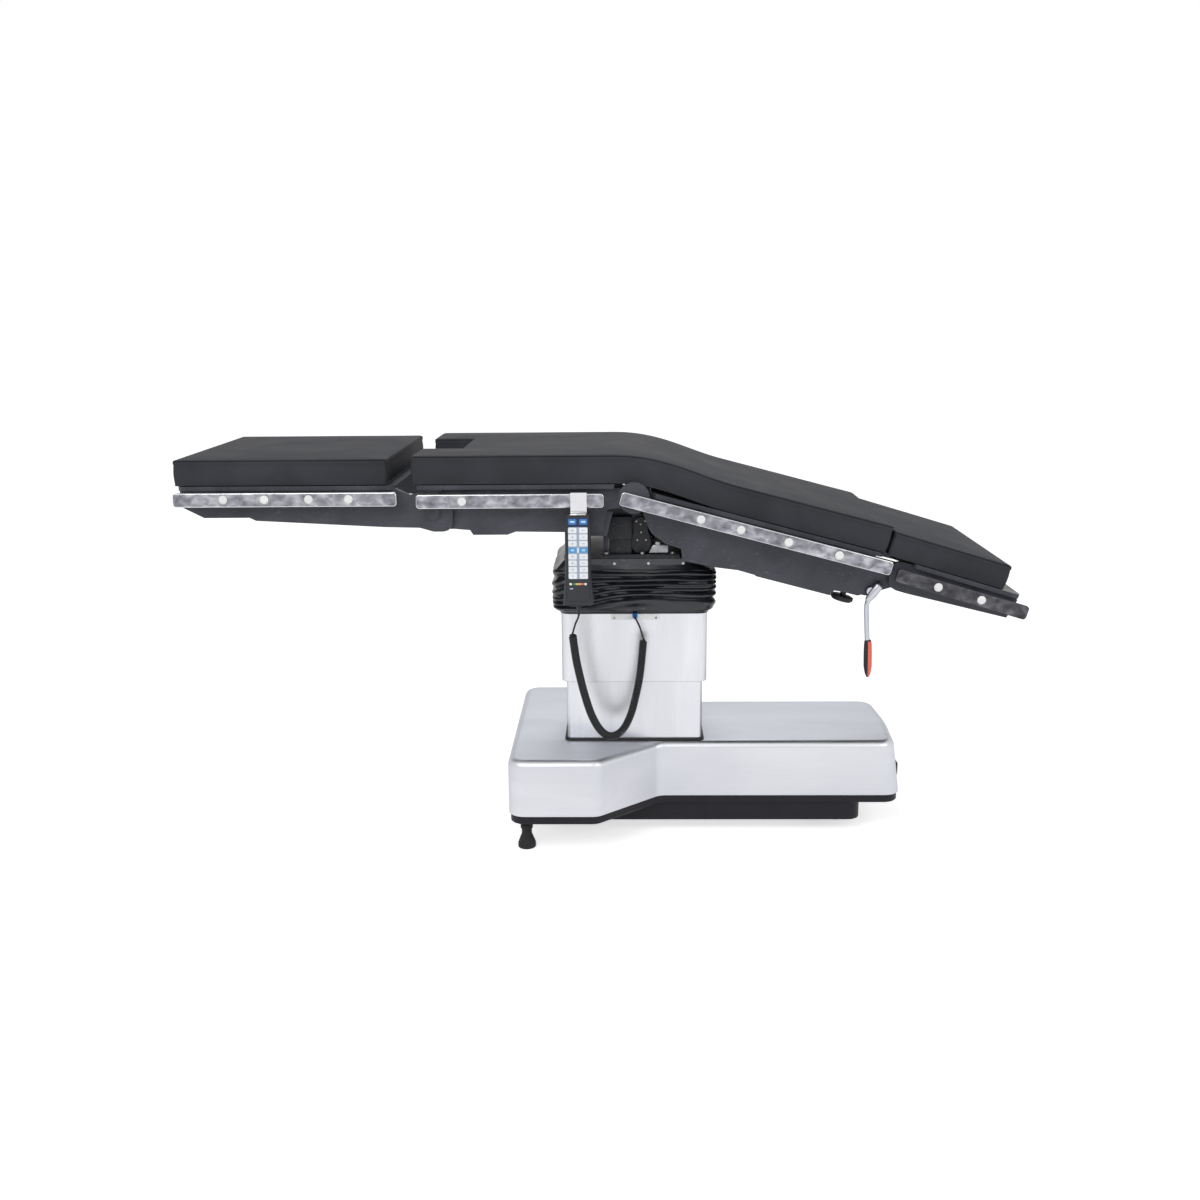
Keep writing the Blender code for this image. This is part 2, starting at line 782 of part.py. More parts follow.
def build_base(base, steel, black, zinc, casing):
    """Shell, skirt, housing, chassis and what the base holds."""
    rings = [
        at_height(base_outline(draft=BASE_DRAFT), BASE_SHELL_BOTTOM),
        at_height(base_outline(), BASE_TOP - BASE_EDGE),
    ]
    for k in range(1, BASE_EDGE_STEPS + 1):
        turn = math.pi / 2 * k / BASE_EDGE_STEPS
        inset = BASE_EDGE * (1 - math.cos(turn))
        rings.append(at_height(base_outline(inset), BASE_TOP - BASE_EDGE * (1 - math.sin(turn))))
    skin = loft(rings)
    cage = bmesh.new()
    cage.from_mesh(skin)
    under = [face for face in cage.faces if face.normal.z < -FLAT_FACE_SHARE]
    bmesh.ops.delete(cage, geom=under, context="FACES_ONLY")
    open_skin = bpy.data.meshes.new("skin")
    cage.to_mesh(open_skin)
    cage.free()
    shell = stand_in(open_skin)
    sheet = shell.modifiers.new("sheet", "SOLIDIFY")
    sheet.thickness = BASE_SHEET
    sheet.offset = -1
    sheet.use_even_offset = True
    column_hole = loft(
        [
            at_height(column_outline(2 * SLEEVE_STEP - RUNNING), BASE_TOP - BASE_SHEET - OVERRUN),
            at_height(column_outline(2 * SLEEVE_STEP - RUNNING), BASE_TOP + OVERRUN),
        ]
    )
    inlet_hole = box(
        BASE_HEAD_END - INLET_DEPTH,
        BASE_HEAD_END + INLET_DEPTH,
        INLET_Y - INLET_WIDTH / 2 - GAP,
        INLET_Y + INLET_WIDTH / 2 + GAP,
        INLET_Z - INLET_HEIGHT / 2 - GAP,
        INLET_Z + INLET_HEIGHT / 2 + GAP,
    )
    put("base_cover", cut(evaluated(shell), column_hole, inlet_hole), steel, base)

    outside = base_outline(SKIRT_INSET, BASE_DRAFT)
    inside = base_outline(SKIRT_INSET + SKIRT_WIDTH, BASE_DRAFT)
    top = BASE_SHELL_BOTTOM - GAP
    ring = [(outside, SKIRT_BOTTOM), (outside, top), (inside, top), (inside, SKIRT_BOTTOM)]
    put("base_skirt", loft([at_height(*level) for level in ring], closed=True), black, base)

    outside = rounded_box(HOUSING_START, HOUSING_END, -HOUSING_HALF_DEPTH, HOUSING_HALF_DEPTH, HOUSING_CORNER)
    inside = rounded_box(
        HOUSING_START + HOUSING_WALL,
        HOUSING_END - HOUSING_WALL,
        -HOUSING_HALF_DEPTH + HOUSING_WALL,
        HOUSING_HALF_DEPTH - HOUSING_WALL,
        HOUSING_CORNER - HOUSING_WALL,
    )
    ring = [(outside, HOUSING_BOTTOM), (outside, BASE_SHELL_BOTTOM), (inside, BASE_SHELL_BOTTOM), (inside, HOUSING_BOTTOM)]
    put("lower_housing", loft([at_height(*level) for level in ring], closed=True), black, base)

    bores = [circle(x, y, FOOT_STEM_RADIUS + RUNNING, WHEEL_SIDES) for x, y, _ in foot_places()]
    bores += [circle(x, y, KINGPIN_RADIUS + RUNNING, SMALL_SIDES) for x, y, _ in caster_places()]
    inset = CHASSIS_INSET + BASE_SHEET
    plate = prism([base_outline(inset), *bores], BASE_SHELL_BOTTOM + GAP, CHASSIS_TOP, "z")
    put("base_chassis", plate, zinc, base)

    battery = box(
        BATTERY_START,
        BATTERY_START + BATTERY_LENGTH,
        -BATTERY_WIDTH / 2,
        BATTERY_WIDTH / 2,
        CHASSIS_TOP + GAP,
        CHASSIS_TOP + GAP + BATTERY_HEIGHT,
    )
    put("battery_pack", softened(battery, HANDSET_EDGE), casing, base)

    floor = CHASSIS_TOP + GAP
    tank = box(PUMP_START, PUMP_START + PUMP_LENGTH, -PUMP_WIDTH / 2, PUMP_WIDTH / 2, floor, floor + PUMP_HEIGHT)
    middle = PUMP_START + PUMP_LENGTH / 2
    level = floor + PUMP_HEIGHT
    motor = rod(
        (middle, -PUMP_MOTOR_LENGTH / 2, level),
        (middle, PUMP_MOTOR_LENGTH / 2, level),
        PUMP_MOTOR_RADIUS,
    )
    put("power_unit", joined(softened(tank, HANDSET_EDGE), motor), zinc, base)

    inlet = box(
        BASE_HEAD_END - INLET_DEPTH + BASE_BOW,
        BASE_HEAD_END + BASE_BOW + INLET_PROUD,
        INLET_Y - INLET_WIDTH / 2,
        INLET_Y + INLET_WIDTH / 2,
        INLET_Z - INLET_HEIGHT / 2,
        INLET_Z + INLET_HEIGHT / 2,
    )
    put("mains_inlet", softened(inlet, MOTOR_COVER_EDGE), black, base)


def foot_places():
    """Where the four floor locks stand, and their names."""
    leg_x, leg_y = FOOT_LEG_END_INSET - BASE_LEG_END, BASE_WIDE / 2 - FOOT_LEG_SIDE_INSET
    ends = ((leg_x, leg_y, "leg"), (FOOT_HEAD_X, FOOT_HEAD_Y, "head"))
    return [(x, side * y, f"brake_foot_{end}_{word}") for x, y, end in ends for side, word in BOTH_SIDES]


def caster_places():
    """Where the four casters swivel, and their names."""
    ends = ((CASTER_LEG_X, "leg"), (CASTER_HEAD_X, "head"))
    return [(x, side * CASTER_Y, f"{end}_{word}") for x, end in ends for side, word in BOTH_SIDES]


def build_feet(base, rubber):
    """Floor locks: a stem with a rubber pad, that slides up into the base."""
    for x, y, name in foot_places():
        station = Station(f"{name}_axis", (x, y, 0), base)
        profile = [
            (0, FOOT_STEM_TOP),
            (FOOT_STEM_RADIUS, FOOT_STEM_TOP),
            (FOOT_STEM_RADIUS, FOOT_WAIST),
            (FOOT_RADIUS - FOOT_PAD_EDGE, FOOT_PAD),
            (FOOT_RADIUS, FOOT_PAD - FOOT_PAD_EDGE),
            (FOOT_RADIUS, 0),
            (0, 0),
        ]
        put(name, turned(profile, WHEEL_SIDES), rubber, station, station)


def build_casters(base, zinc, rubber):
    """Swivel casters behind the lower housing, a few millimetres off the floor while the locks stand."""
    axle_z = WHEEL_RADIUS + CASTER_LIFT
    top = BASE_SHELL_BOTTOM - GAP
    inner = WHEEL_WIDTH / 2 + FORK_PLAY
    for x, y, name in caster_places():
        swivel = Station(f"caster_swivel_{name}", (x, y, 0), base)
        cheeks = []
        arm = rounded(
            [
                (-FORK_HEAD_RADIUS * ARC_ROOM_SHARE, top - SUNK, 0),
                (CASTER_TRAIL - 2 * AXLE_RADIUS, axle_z - 2 * AXLE_RADIUS, 2 * AXLE_RADIUS),
                (CASTER_TRAIL + 2 * AXLE_RADIUS, axle_z - 2 * AXLE_RADIUS, AXLE_RADIUS),
                (FORK_HEAD_RADIUS * ARC_ROOM_SHARE, top - SUNK, 0),
            ]
        )
        for side, _ in BOTH_SIDES:
            cheeks.append(slab(arm, side * (inner + FORK_CHEEK / 2), FORK_CHEEK))
        head = rod((0, 0, top - FORK_HEAD), (0, 0, top), FORK_HEAD_RADIUS, WHEEL_SIDES)
        kingpin = rod((0, 0, top - SUNK), (0, 0, CHASSIS_TOP + FORK_CHEEK), KINGPIN_RADIUS, SMALL_SIDES)
        ends = inner + FORK_CHEEK
        axle = rod((CASTER_TRAIL, -ends, axle_z), (CASTER_TRAIL, ends, axle_z), AXLE_RADIUS, SMALL_SIDES)
        put(f"caster_fork_{name}", joined(head, *cheeks, kingpin, axle), zinc, swivel, swivel)

        wheel = Station(f"caster_axle_{name}", (x + CASTER_TRAIL, y, axle_z), swivel)
        half = WHEEL_WIDTH / 2
        bore = AXLE_RADIUS + RUNNING
        profile = [
            (bore, half),
            (WHEEL_HUB_RADIUS, half - WHEEL_DISH),
            (WHEEL_RADIUS - WHEEL_TREAD_EDGE, half - WHEEL_DISH / 2),
            (WHEEL_RADIUS, half - WHEEL_TREAD_EDGE - WHEEL_DISH / 2),
        ]
        profile += [(radius, -height) for radius, height in reversed(profile)]
        tyre = turned(profile, WHEEL_SIDES)
        tyre.transform(Matrix.Rotation(math.pi / 2, 4, "X"))
        put(f"caster_wheel_{name}", tyre, rubber, wheel, wheel)


def build_column(base, middle, head, steel, zinc, black):
    """Three sleeves that telescope, the lift cylinder inside them, and the carrier of the tilt joints."""
    put("lower_sleeve", sleeve(2 * SLEEVE_STEP, CHASSIS_TOP + GAP, LOWER_SLEEVE_TOP, glide=False), steel, base)
    put("middle_sleeve", sleeve(SLEEVE_STEP, MIDDLE_SLEEVE_BOTTOM, MIDDLE_SLEEVE_TOP), steel, middle)
    put("upper_sleeve", sleeve(0, UPPER_SLEEVE_BOTTOM, UPPER_SLEEVE_TOP), steel, head)

    inner = column_outline(2 * SLEEVE_STEP - RUNNING)
    outer = column_outline(2 * SLEEVE_STEP - COLLAR_WIDTH)
    low = BASE_TOP + GAP
    high = BASE_TOP + COLLAR_HEIGHT
    ring = [(outer, low), (outer, high), (inner, high), (inner, low)]
    put("column_gasket", loft([at_height(*level) for level in ring], closed=True), black, base)

    floor = CHASSIS_TOP + GAP
    profile = [
        (CYLINDER_BORE, LOWER_SLEEVE_TOP),
        (CYLINDER_RADIUS, LOWER_SLEEVE_TOP),
        (CYLINDER_RADIUS, floor),
        (0, floor),
        (0, floor + CYLINDER_FLOOR),
        (CYLINDER_BORE, floor + CYLINDER_FLOOR),
    ]
    put("lift_cylinder", turned_bore(profile), zinc, base)

    plate_top = UPPER_SLEEVE_TOP - GAP
    section = column_outline(SLEEVE_WALL + GAP)
    plate = prism([section], plate_top - HEAD_PLATE, plate_top, "z")
    ram = rod((0, 0, RAM_BOTTOM), (0, 0, plate_top - HEAD_PLATE / 2), RAM_RADIUS)
    post = rounded(
        [
            (-ROLL_LUG_RADIUS * POST_FOOT_SHARE, plate_top - HEAD_PLATE / 2, 0),
            (ROLL_LUG_RADIUS * POST_FOOT_SHARE, plate_top - HEAD_PLATE / 2, 0),
            (ROLL_LUG_RADIUS, ROLL_AXIS_Z + ROLL_LUG_RADIUS, ROLL_LUG_RADIUS),
            (-ROLL_LUG_RADIUS, ROLL_AXIS_Z + ROLL_LUG_RADIUS, ROLL_LUG_RADIUS),
        ]
    )
    posts = [slab(post, side * ROLL_POST_OFFSET, ROLL_LUG, "x") for side, _ in BOTH_SIDES]
    reach = ROLL_POST_OFFSET + ROLL_LUG / 2
    shaft = rod((-reach, 0, ROLL_AXIS_Z), (reach, 0, ROLL_AXIS_Z), SHAFT_RADIUS)
    put("column_head", joined(plate, ram, *posts, shaft), zinc, head)


def turned_bore(profile):
    """A turned cup, from (radius, height) points round its section."""
    outside = turned([(0, profile[1][1]), profile[1], profile[2], (0, profile[2][1])])
    hole = turned([(0, profile[0][1] + OVERRUN), (profile[0][0], profile[0][1] + OVERRUN), profile[5], profile[4]])
    return cut(outside, hole)


def build_socket(head, white, blue):
    """The plate and the plug where the hand control's cord goes in."""
    face = -COLUMN_HALF_DEPTH - GAP
    plate = box(
        SOCKET_PLATE_START,
        SOCKET_PLATE_END,
        face - SOCKET_PLATE,
        face,
        SOCKET_PLATE_BOTTOM,
        SOCKET_PLATE_TOP,
    )
    put("socket_plate", plate, white, head)
    front = plug_back()
    profile = [
        (0, PLUG_LENGTH),
        (PLUG_RADIUS * PLUG_NOSE_SHARE, PLUG_LENGTH),
        (PLUG_RADIUS, PLUG_LENGTH / 2),
        (PLUG_RADIUS, 0),
        (0, 0),
    ]
    plug = turned(profile)
    plug.transform(Matrix.Translation((PLUG_X, front, PLUG_Z)) @ Matrix.Rotation(math.pi / 2, 4, "X"))
    put("handset_plug", plug, blue, head)


def plug_back():
    """Where the plug's back lies, on the socket plate."""
    return -COLUMN_HALF_DEPTH - GAP - SOCKET_PLATE - GAP


def boot_ring(share, grow, wall):
    """The boot's section at a share of its height, from the sleeve's section to the band's."""
    band_middle = (BAND_HEAD_END - BAND_LEG_END) / 2
    band_length = (BAND_HEAD_END + BAND_LEG_END) / 2 - BAND_WALL - GAP
    band_depth = BAND_HALF_DEPTH - BAND_WALL - GAP
    sleeve_length = COLUMN_HALF_LENGTH + GAP + BOOT_WALL
    sleeve_depth = COLUMN_HALF_DEPTH + GAP + BOOT_WALL
    swell = math.sin(math.pi * share) ** BOOT_ROUND_SHARE if 0 < share < 1 else 0
    length = sleeve_length + (band_length - sleeve_length) * share + BOOT_BULGE_LENGTH * swell + grow - wall
    depth = sleeve_depth + (band_depth - sleeve_depth) * share + BOOT_BULGE_DEPTH * swell + grow - wall
    middle = band_middle * share
    sleeve_corner = COLUMN_CORNER + GAP + BOOT_WALL
    band_corner = BAND_CORNER - BAND_WALL - GAP
    corner = sleeve_corner + (band_corner - sleeve_corner) * share + BOOT_BULGE_LENGTH * swell + grow - wall
    return rounded_box(middle - length, middle + length, -depth, depth, corner)


def build_boot(head, cradle, black, zinc):
    """The pleated boot between the upper sleeve and the band that clamps it."""
    low = BOOT_BOTTOM + BOOT_COLLAR
    high = BAND_BOTTOM - GAP
    levels = [(BOOT_BOTTOM, 0, 0), (low, 0, 0)]
    steps = 2 * BOOT_PLEATS
    for k in range(1, steps):
        share = k / steps
        grow = BOOT_PLEAT_DEPTH / 2 if k % 2 else -BOOT_PLEAT_DEPTH / 2
        levels.append((low + (high - low) * share, share, grow))
    levels += [(high, 1, 0), (BAND_TOP, 1, 0)]
    outside = [at_height(boot_ring(share, grow, 0), z) for z, share, grow in levels]
    inside = [at_height(boot_ring(share, grow, BOOT_WALL), z) for z, share, grow in reversed(levels)]
    put("bellows", loft(outside + inside, closed=True), black, head)

    outer = rounded_box(-BAND_LEG_END, BAND_HEAD_END, -BAND_HALF_DEPTH, BAND_HALF_DEPTH, BAND_CORNER)
    inner = rounded_box(
        -BAND_LEG_END + BAND_WALL,
        BAND_HEAD_END - BAND_WALL,
        -BAND_HALF_DEPTH + BAND_WALL,
        BAND_HALF_DEPTH - BAND_WALL,
        BAND_CORNER - BAND_WALL,
    )
    ring = [(outer, BAND_BOTTOM), (outer, BAND_TOP), (inner, BAND_TOP), (inner, BAND_BOTTOM)]
    put("bellows_band", loft([at_height(*level) for level in ring], closed=True), zinc, cradle)


def build_cradle(cradle, zinc, casing):
    """The carrier that rolls on the column head and holds the pitch shaft."""
    inset = BAND_WALL + BOOT_WALL + 2 * GAP
    section = rounded_box(
        -BAND_LEG_END + inset,
        BAND_HEAD_END - inset,
        -BAND_HALF_DEPTH + inset,
        BAND_HALF_DEPTH - inset,
        BAND_CORNER - inset,
    )
    top = CRADLE_BOTTOM + CRADLE_PLATE
    plate = prism([section], CRADLE_BOTTOM, top, "z")
    down_lug = rounded(
        [
            (-ROLL_LUG_RADIUS * POST_FOOT_SHARE, CRADLE_BOTTOM + CRADLE_PLATE / 2, 0),
            (-ROLL_LUG_RADIUS, ROLL_AXIS_Z - ROLL_LUG_RADIUS, ROLL_LUG_RADIUS),
            (ROLL_LUG_RADIUS, ROLL_AXIS_Z - ROLL_LUG_RADIUS, ROLL_LUG_RADIUS),
            (ROLL_LUG_RADIUS * POST_FOOT_SHARE, CRADLE_BOTTOM + CRADLE_PLATE / 2, 0),
        ]
    )
    up_lug = rounded(
        [
            (PITCH_AXIS_X - 2 * CRADLE_CHEEK_RADIUS, top - CRADLE_PLATE / 2, 0),
            (PITCH_AXIS_X + 2 * CRADLE_CHEEK_RADIUS, top - CRADLE_PLATE / 2, 0),
            (PITCH_AXIS_X + CRADLE_CHEEK_RADIUS, PITCH_AXIS_Z + CRADLE_CHEEK_RADIUS, CRADLE_CHEEK_RADIUS),
            (PITCH_AXIS_X - CRADLE_CHEEK_RADIUS, PITCH_AXIS_Z + CRADLE_CHEEK_RADIUS, CRADLE_CHEEK_RADIUS),
        ]
    )
    pieces = [slab(down_lug, side * ROLL_LUG_OFFSET, ROLL_LUG, "x") for side, _ in BOTH_SIDES]
    pieces += [slab(up_lug, side * CRADLE_CHEEK_OFFSET, CRADLE_CHEEK) for side, _ in BOTH_SIDES]
    reach = ROLL_LUG_OFFSET + ROLL_LUG
    bore = SHAFT_RADIUS + RUNNING
    roll_bore = rod((-reach, 0, ROLL_AXIS_Z), (reach, 0, ROLL_AXIS_Z), bore)
    across = CRADLE_CHEEK_OFFSET + CRADLE_CHEEK
    pitch_bore = rod((PITCH_AXIS_X, -across, PITCH_AXIS_Z), (PITCH_AXIS_X, across, PITCH_AXIS_Z), bore)
    put("tilt_cradle", cut(joined(plate, *pieces), roll_bore, pitch_bore), zinc, cradle)

    yoke_face = YOKE_OFFSET + YOKE / 2
    end = yoke_face + SHAFT_COLLAR
    start = yoke_face + RUNNING
    shaft = rod((PITCH_AXIS_X, -end, PITCH_AXIS_Z), (PITCH_AXIS_X, end, PITCH_AXIS_Z), SHAFT_RADIUS)
    collars = [
        rod(
            (PITCH_AXIS_X, side * start, PITCH_AXIS_Z),
            (PITCH_AXIS_X, side * end, PITCH_AXIS_Z),
            YOKE_EYE_RADIUS,
        )
        for side, _ in BOTH_SIDES
    ]
    put("pitch_shaft", joined(shaft, *collars), zinc, cradle)

    back = -yoke_face - SHAFT_COLLAR - RUNNING
    cover = box(
        MOTOR_COVER_START,
        MOTOR_COVER_END,
        back - MOTOR_COVER_DEPTH,
        back,
        top + GAP,
        MOTOR_COVER_TOP,
    )
    put("tilt_motor_cover", softened(cover, MOTOR_COVER_EDGE), casing, cradle)


def boss_rods(places, height, web_offset):
    """Spacers between a section's webs and its side rails."""
    start = web_offset + WEB / 2 - OVERRUN
    end = RAIL_INNER - GAP
    return [
        rod((x, side * start, height), (x, side * end, height), BOSS_RADIUS, BOSS_SIDES)
        for x in places
        for side, _ in BOTH_SIDES
    ]


def mirrored_slabs(outline, offset):
    """A web on each side of the table."""
    return [slab(outline, side * offset, WEB) for side, _ in BOTH_SIDES]


def pins(x, z, start, end, radius, sides=SIDES):
    """A round piece along Y on each side of the table."""
    return [rod((x, side * start, z), (x, side * end, z), radius, sides) for side, _ in BOTH_SIDES]


def cross_bar(start, top, reach):
    """A bar between the webs, under the deck."""
    return box(start, start + CROSS_BAR, -reach, reach, top - CROSS_BAR_DROP, top)


def rails(section, start, end, height, chrome, station, drawn_in=None):
    """The accessory rails of one section."""
    for side, word in BOTH_SIDES:
        middle = side * RAIL_OFFSET
        half = RAIL_THICKNESS / 2
        bar = box(start, end, middle - half, middle + half, height - RAIL_HEIGHT / 2, height + RAIL_HEIGHT / 2)
        put(f"{section}_rail_{word}", softened(bar, RAIL_EDGE, 1), chrome, station, drawn_in)


def build_seat(seat, paint, chrome, casing):
    """The middle section, fixed to the tilt joints by its yoke."""
    deck_top = SEAT_DECK_BOTTOM + DECK
    half = TOP_WIDTH / 2
    slot = NOTCH_WIDTH / 2 + GAP
    slot_end = -SEAT_END + NOTCH_DEPTH
    deck = rounded(
        [
            (SEAT_DECK_START, -half, DECK_CORNER),
            (SEAT_DECK_END, -half, 0),
            (SEAT_DECK_END, half, 0),
            (SEAT_DECK_START, half, DECK_CORNER),
            (SEAT_DECK_START, slot, 0),
            (slot_end, slot, DECK_CORNER),
            (slot_end, -slot, DECK_CORNER),
            (SEAT_DECK_START, -slot, 0),
        ]
    )
    plate = prism([deck], SEAT_DECK_BOTTOM, deck_top, "z")
    sunk = SEAT_DECK_BOTTOM + DECK / 2
    web = rounded(
        [
            (SEAT_WEB_START, sunk, 0),
            (LEG_AXIS_X, LEG_AXIS_Z + LEG_DRIVE_RADIUS, 0),
            (LEG_AXIS_X - LEG_DRIVE_RADIUS, LEG_AXIS_Z + LEG_DRIVE_RADIUS, LEG_DRIVE_RADIUS),
            (LEG_AXIS_X - LEG_DRIVE_RADIUS, LEG_AXIS_Z - LEG_DRIVE_RADIUS, LEG_DRIVE_RADIUS),
            (SEAT_WEB_START, LEG_AXIS_Z - LEG_DRIVE_RADIUS, 0),
            (SEAT_WEB_KNEE_X, SEAT_WEB_KNEE_Z, 0),
            (SEAT_WEB_FLOOR_START, SEAT_WEB_FLOOR_Z, 0),
            (SEAT_WEB_FLOOR_END, SEAT_WEB_FLOOR_Z, 0),
            (SEAT_WEB_RISE_X, SEAT_WEB_RISE_Z, 0),
            (SEAT_WEB_TOE_X, SEAT_WEB_TOE_Z, RAIL_EDGE),
            (SEAT_WEB_HEEL_X, SEAT_WEB_HEEL_Z, RAIL_EDGE),
            (BACK_LUG_RADIUS, BACK_AXIS_Z - BACK_LUG_RADIUS, BACK_LUG_RADIUS),
            (BACK_LUG_RADIUS, BACK_AXIS_Z + BACK_LUG_RADIUS, BACK_LUG_RADIUS),
            (SEAT_DECK_END, BACK_AXIS_Z + BACK_LUG_RADIUS, 0),
            (SEAT_DECK_END - DECK, sunk, 0),
        ]
    )
    pieces = mirrored_slabs(web, MIDDLE_WEB_OFFSET)
    pieces += boss_rods(SEAT_BOSSES, SEAT_RAIL_Z, MIDDLE_WEB_OFFSET)
    pieces.append(cross_bar(SEAT_BAR_LEG_X, sunk, MIDDLE_WEB_OFFSET))
    pieces.append(cross_bar(SEAT_BAR_BACK_X, sunk, MIDDLE_WEB_OFFSET))
    eye_z = PITCH_AXIS_Z + YOKE_EYE_RISE
    yoke = rounded(
        [
            (YOKE_START, sunk, 0),
            (YOKE_SHOULDER_X, YOKE_SHOULDER_Z, 0),
            (YOKE_HAUNCH_X, YOKE_HAUNCH_Z, YOKE_EYE_RADIUS),
            (PITCH_AXIS_X - YOKE_EYE_RADIUS, eye_z - YOKE_EYE_RADIUS, 0),
            (PITCH_AXIS_X - YOKE_RADIUS, PITCH_AXIS_Z, 0),
            (PITCH_AXIS_X - YOKE_RADIUS, PITCH_AXIS_Z - YOKE_RADIUS, YOKE_RADIUS),
            (PITCH_AXIS_X + YOKE_RADIUS, PITCH_AXIS_Z - YOKE_RADIUS, YOKE_RADIUS),
            (PITCH_AXIS_X + YOKE_RADIUS, PITCH_AXIS_Z, 0),
            (PITCH_AXIS_X + YOKE_EYE_RADIUS, eye_z - YOKE_EYE_RADIUS, 0),
            (PITCH_AXIS_X + YOKE_EYE_RADIUS, eye_z + YOKE_EYE_RADIUS, YOKE_EYE_RADIUS),
            (YOKE_NECK_X, YOKE_NECK_Z, YOKE_EYE_RADIUS),
            (SEAT_DECK_END - DECK, sunk, 0),
        ]
    )
    pieces += [slab(yoke, side * YOKE_OFFSET, YOKE) for side, _ in BOTH_SIDES]
    tie_z = SEAT_DECK_BOTTOM - CROSS_BAR_DROP
    pieces.append(box(YOKE_TIE_START, YOKE_TIE_END, -YOKE_OFFSET, YOKE_OFFSET, tie_z - YOKE_BAR, tie_z))
    bores = pins(LEG_AXIS_X, LEG_AXIS_Z, INNER_WEB_OFFSET, OUTER_WEB_OFFSET, PIN_BORE)
    bores += pins(0, BACK_AXIS_Z, INNER_WEB_OFFSET, OUTER_WEB_OFFSET, PIN_BORE)
    bores += pins(PITCH_AXIS_X, PITCH_AXIS_Z, YOKE_OFFSET - YOKE, YOKE_OFFSET + YOKE, SHAFT_RADIUS + RUNNING)
    put("seat_frame", cut(joined(plate, *pieces), *bores), paint, seat)
    rails("seat", SEAT_RAIL_START, SEAT_RAIL_END, SEAT_RAIL_Z, chrome, seat)

    reach = MIDDLE_WEB_OFFSET - WEB / 2 - GAP
    tray = rounded(
        [
            (SEAT_WEB_KNEE_X, TRAY_TOP, 0),
            (SEAT_WEB_FLOOR_START, TRAY_BOTTOM, RAIL_EDGE),
            (TRAY_FLOOR_END, TRAY_BOTTOM, RAIL_EDGE),
            (TRAY_END, TRAY_TOP, 0),
        ]
    )
    put("seat_belly_cover", prism([tray], -reach, reach, "y"), casing, seat)


def build_leg(leg, paint, chrome):
    """The leg section, folded at the drives on the seat's webs."""
    half = TOP_WIDTH / 2
    sunk = SEAT_DECK_BOTTOM + DECK / 2
    deck = prism(
        [rounded_box(LEG_DECK_START, LEG_DECK_END, -half, half, DECK_CORNER)],
        SEAT_DECK_BOTTOM,
        SEAT_DECK_BOTTOM + DECK,
        "z",
    )
    radius = LEG_DISC_RADIUS
    near, far, rise = LEG_RELIEF_SHARES
    web = rounded(
        [
            (LEG_WEB_START, sunk, 0),
            (LEG_WEB_NOSE_X, LEG_WEB_NOSE_Z, 0),
            (LEG_WEB_CHIN_START, LEG_WEB_CHIN_Z, 0),
            (LEG_WEB_CHIN_END, LEG_WEB_CHIN_Z, 0),
            (LEG_WEB_STEP_X, LEG_WEB_STEP_Z, 0),
            (LEG_WEB_BELLY_X, LEG_WEB_BELLY_Z, 0),
            (LEG_WEB_HEEL_X, LEG_WEB_HEEL_Z, 0),
            (LEG_AXIS_X, LEG_AXIS_Z - radius, radius / 2),
            (LEG_AXIS_X + radius, LEG_AXIS_Z - radius, radius),
            (LEG_AXIS_X + radius, LEG_AXIS_Z + radius, radius),
            (LEG_AXIS_X - radius * near, LEG_AXIS_Z + radius, 0),
            (LEG_AXIS_X - radius * far, LEG_AXIS_Z + radius * rise, 0),
            (LEG_WEB_NOTCH_X, SEAT_DECK_BOTTOM - GAP, 0),
            (LEG_WEB_END, sunk, 0),
        ]
    )
    pieces = mirrored_slabs(web, OUTER_WEB_OFFSET)
    pieces += boss_rods(LEG_BOSSES, LEG_RAIL_Z - RAIL_EDGE, OUTER_WEB_OFFSET)
    pieces.append(cross_bar(LEG_BAR_SEAT_X, sunk, OUTER_WEB_OFFSET))
    pieces.append(cross_bar(LEG_BAR_FOOT_X, sunk, OUTER_WEB_OFFSET))
    start = INNER_WEB_OFFSET + WEB / 2
    end = OUTER_WEB_OFFSET + WEB / 2
    pieces += pins(LEG_AXIS_X, LEG_AXIS_Z, start, end + PIN_HEAD, PIN_RADIUS)
    pieces += pins(LEG_AXIS_X, LEG_AXIS_Z, end - WEB / 2, end + PIN_HEAD, 2 * PIN_RADIUS)
    put("leg_frame", joined(deck, *pieces), paint, leg)
    rails("leg", LEG_RAIL_START, LEG_RAIL_END, LEG_RAIL_Z, chrome, leg)


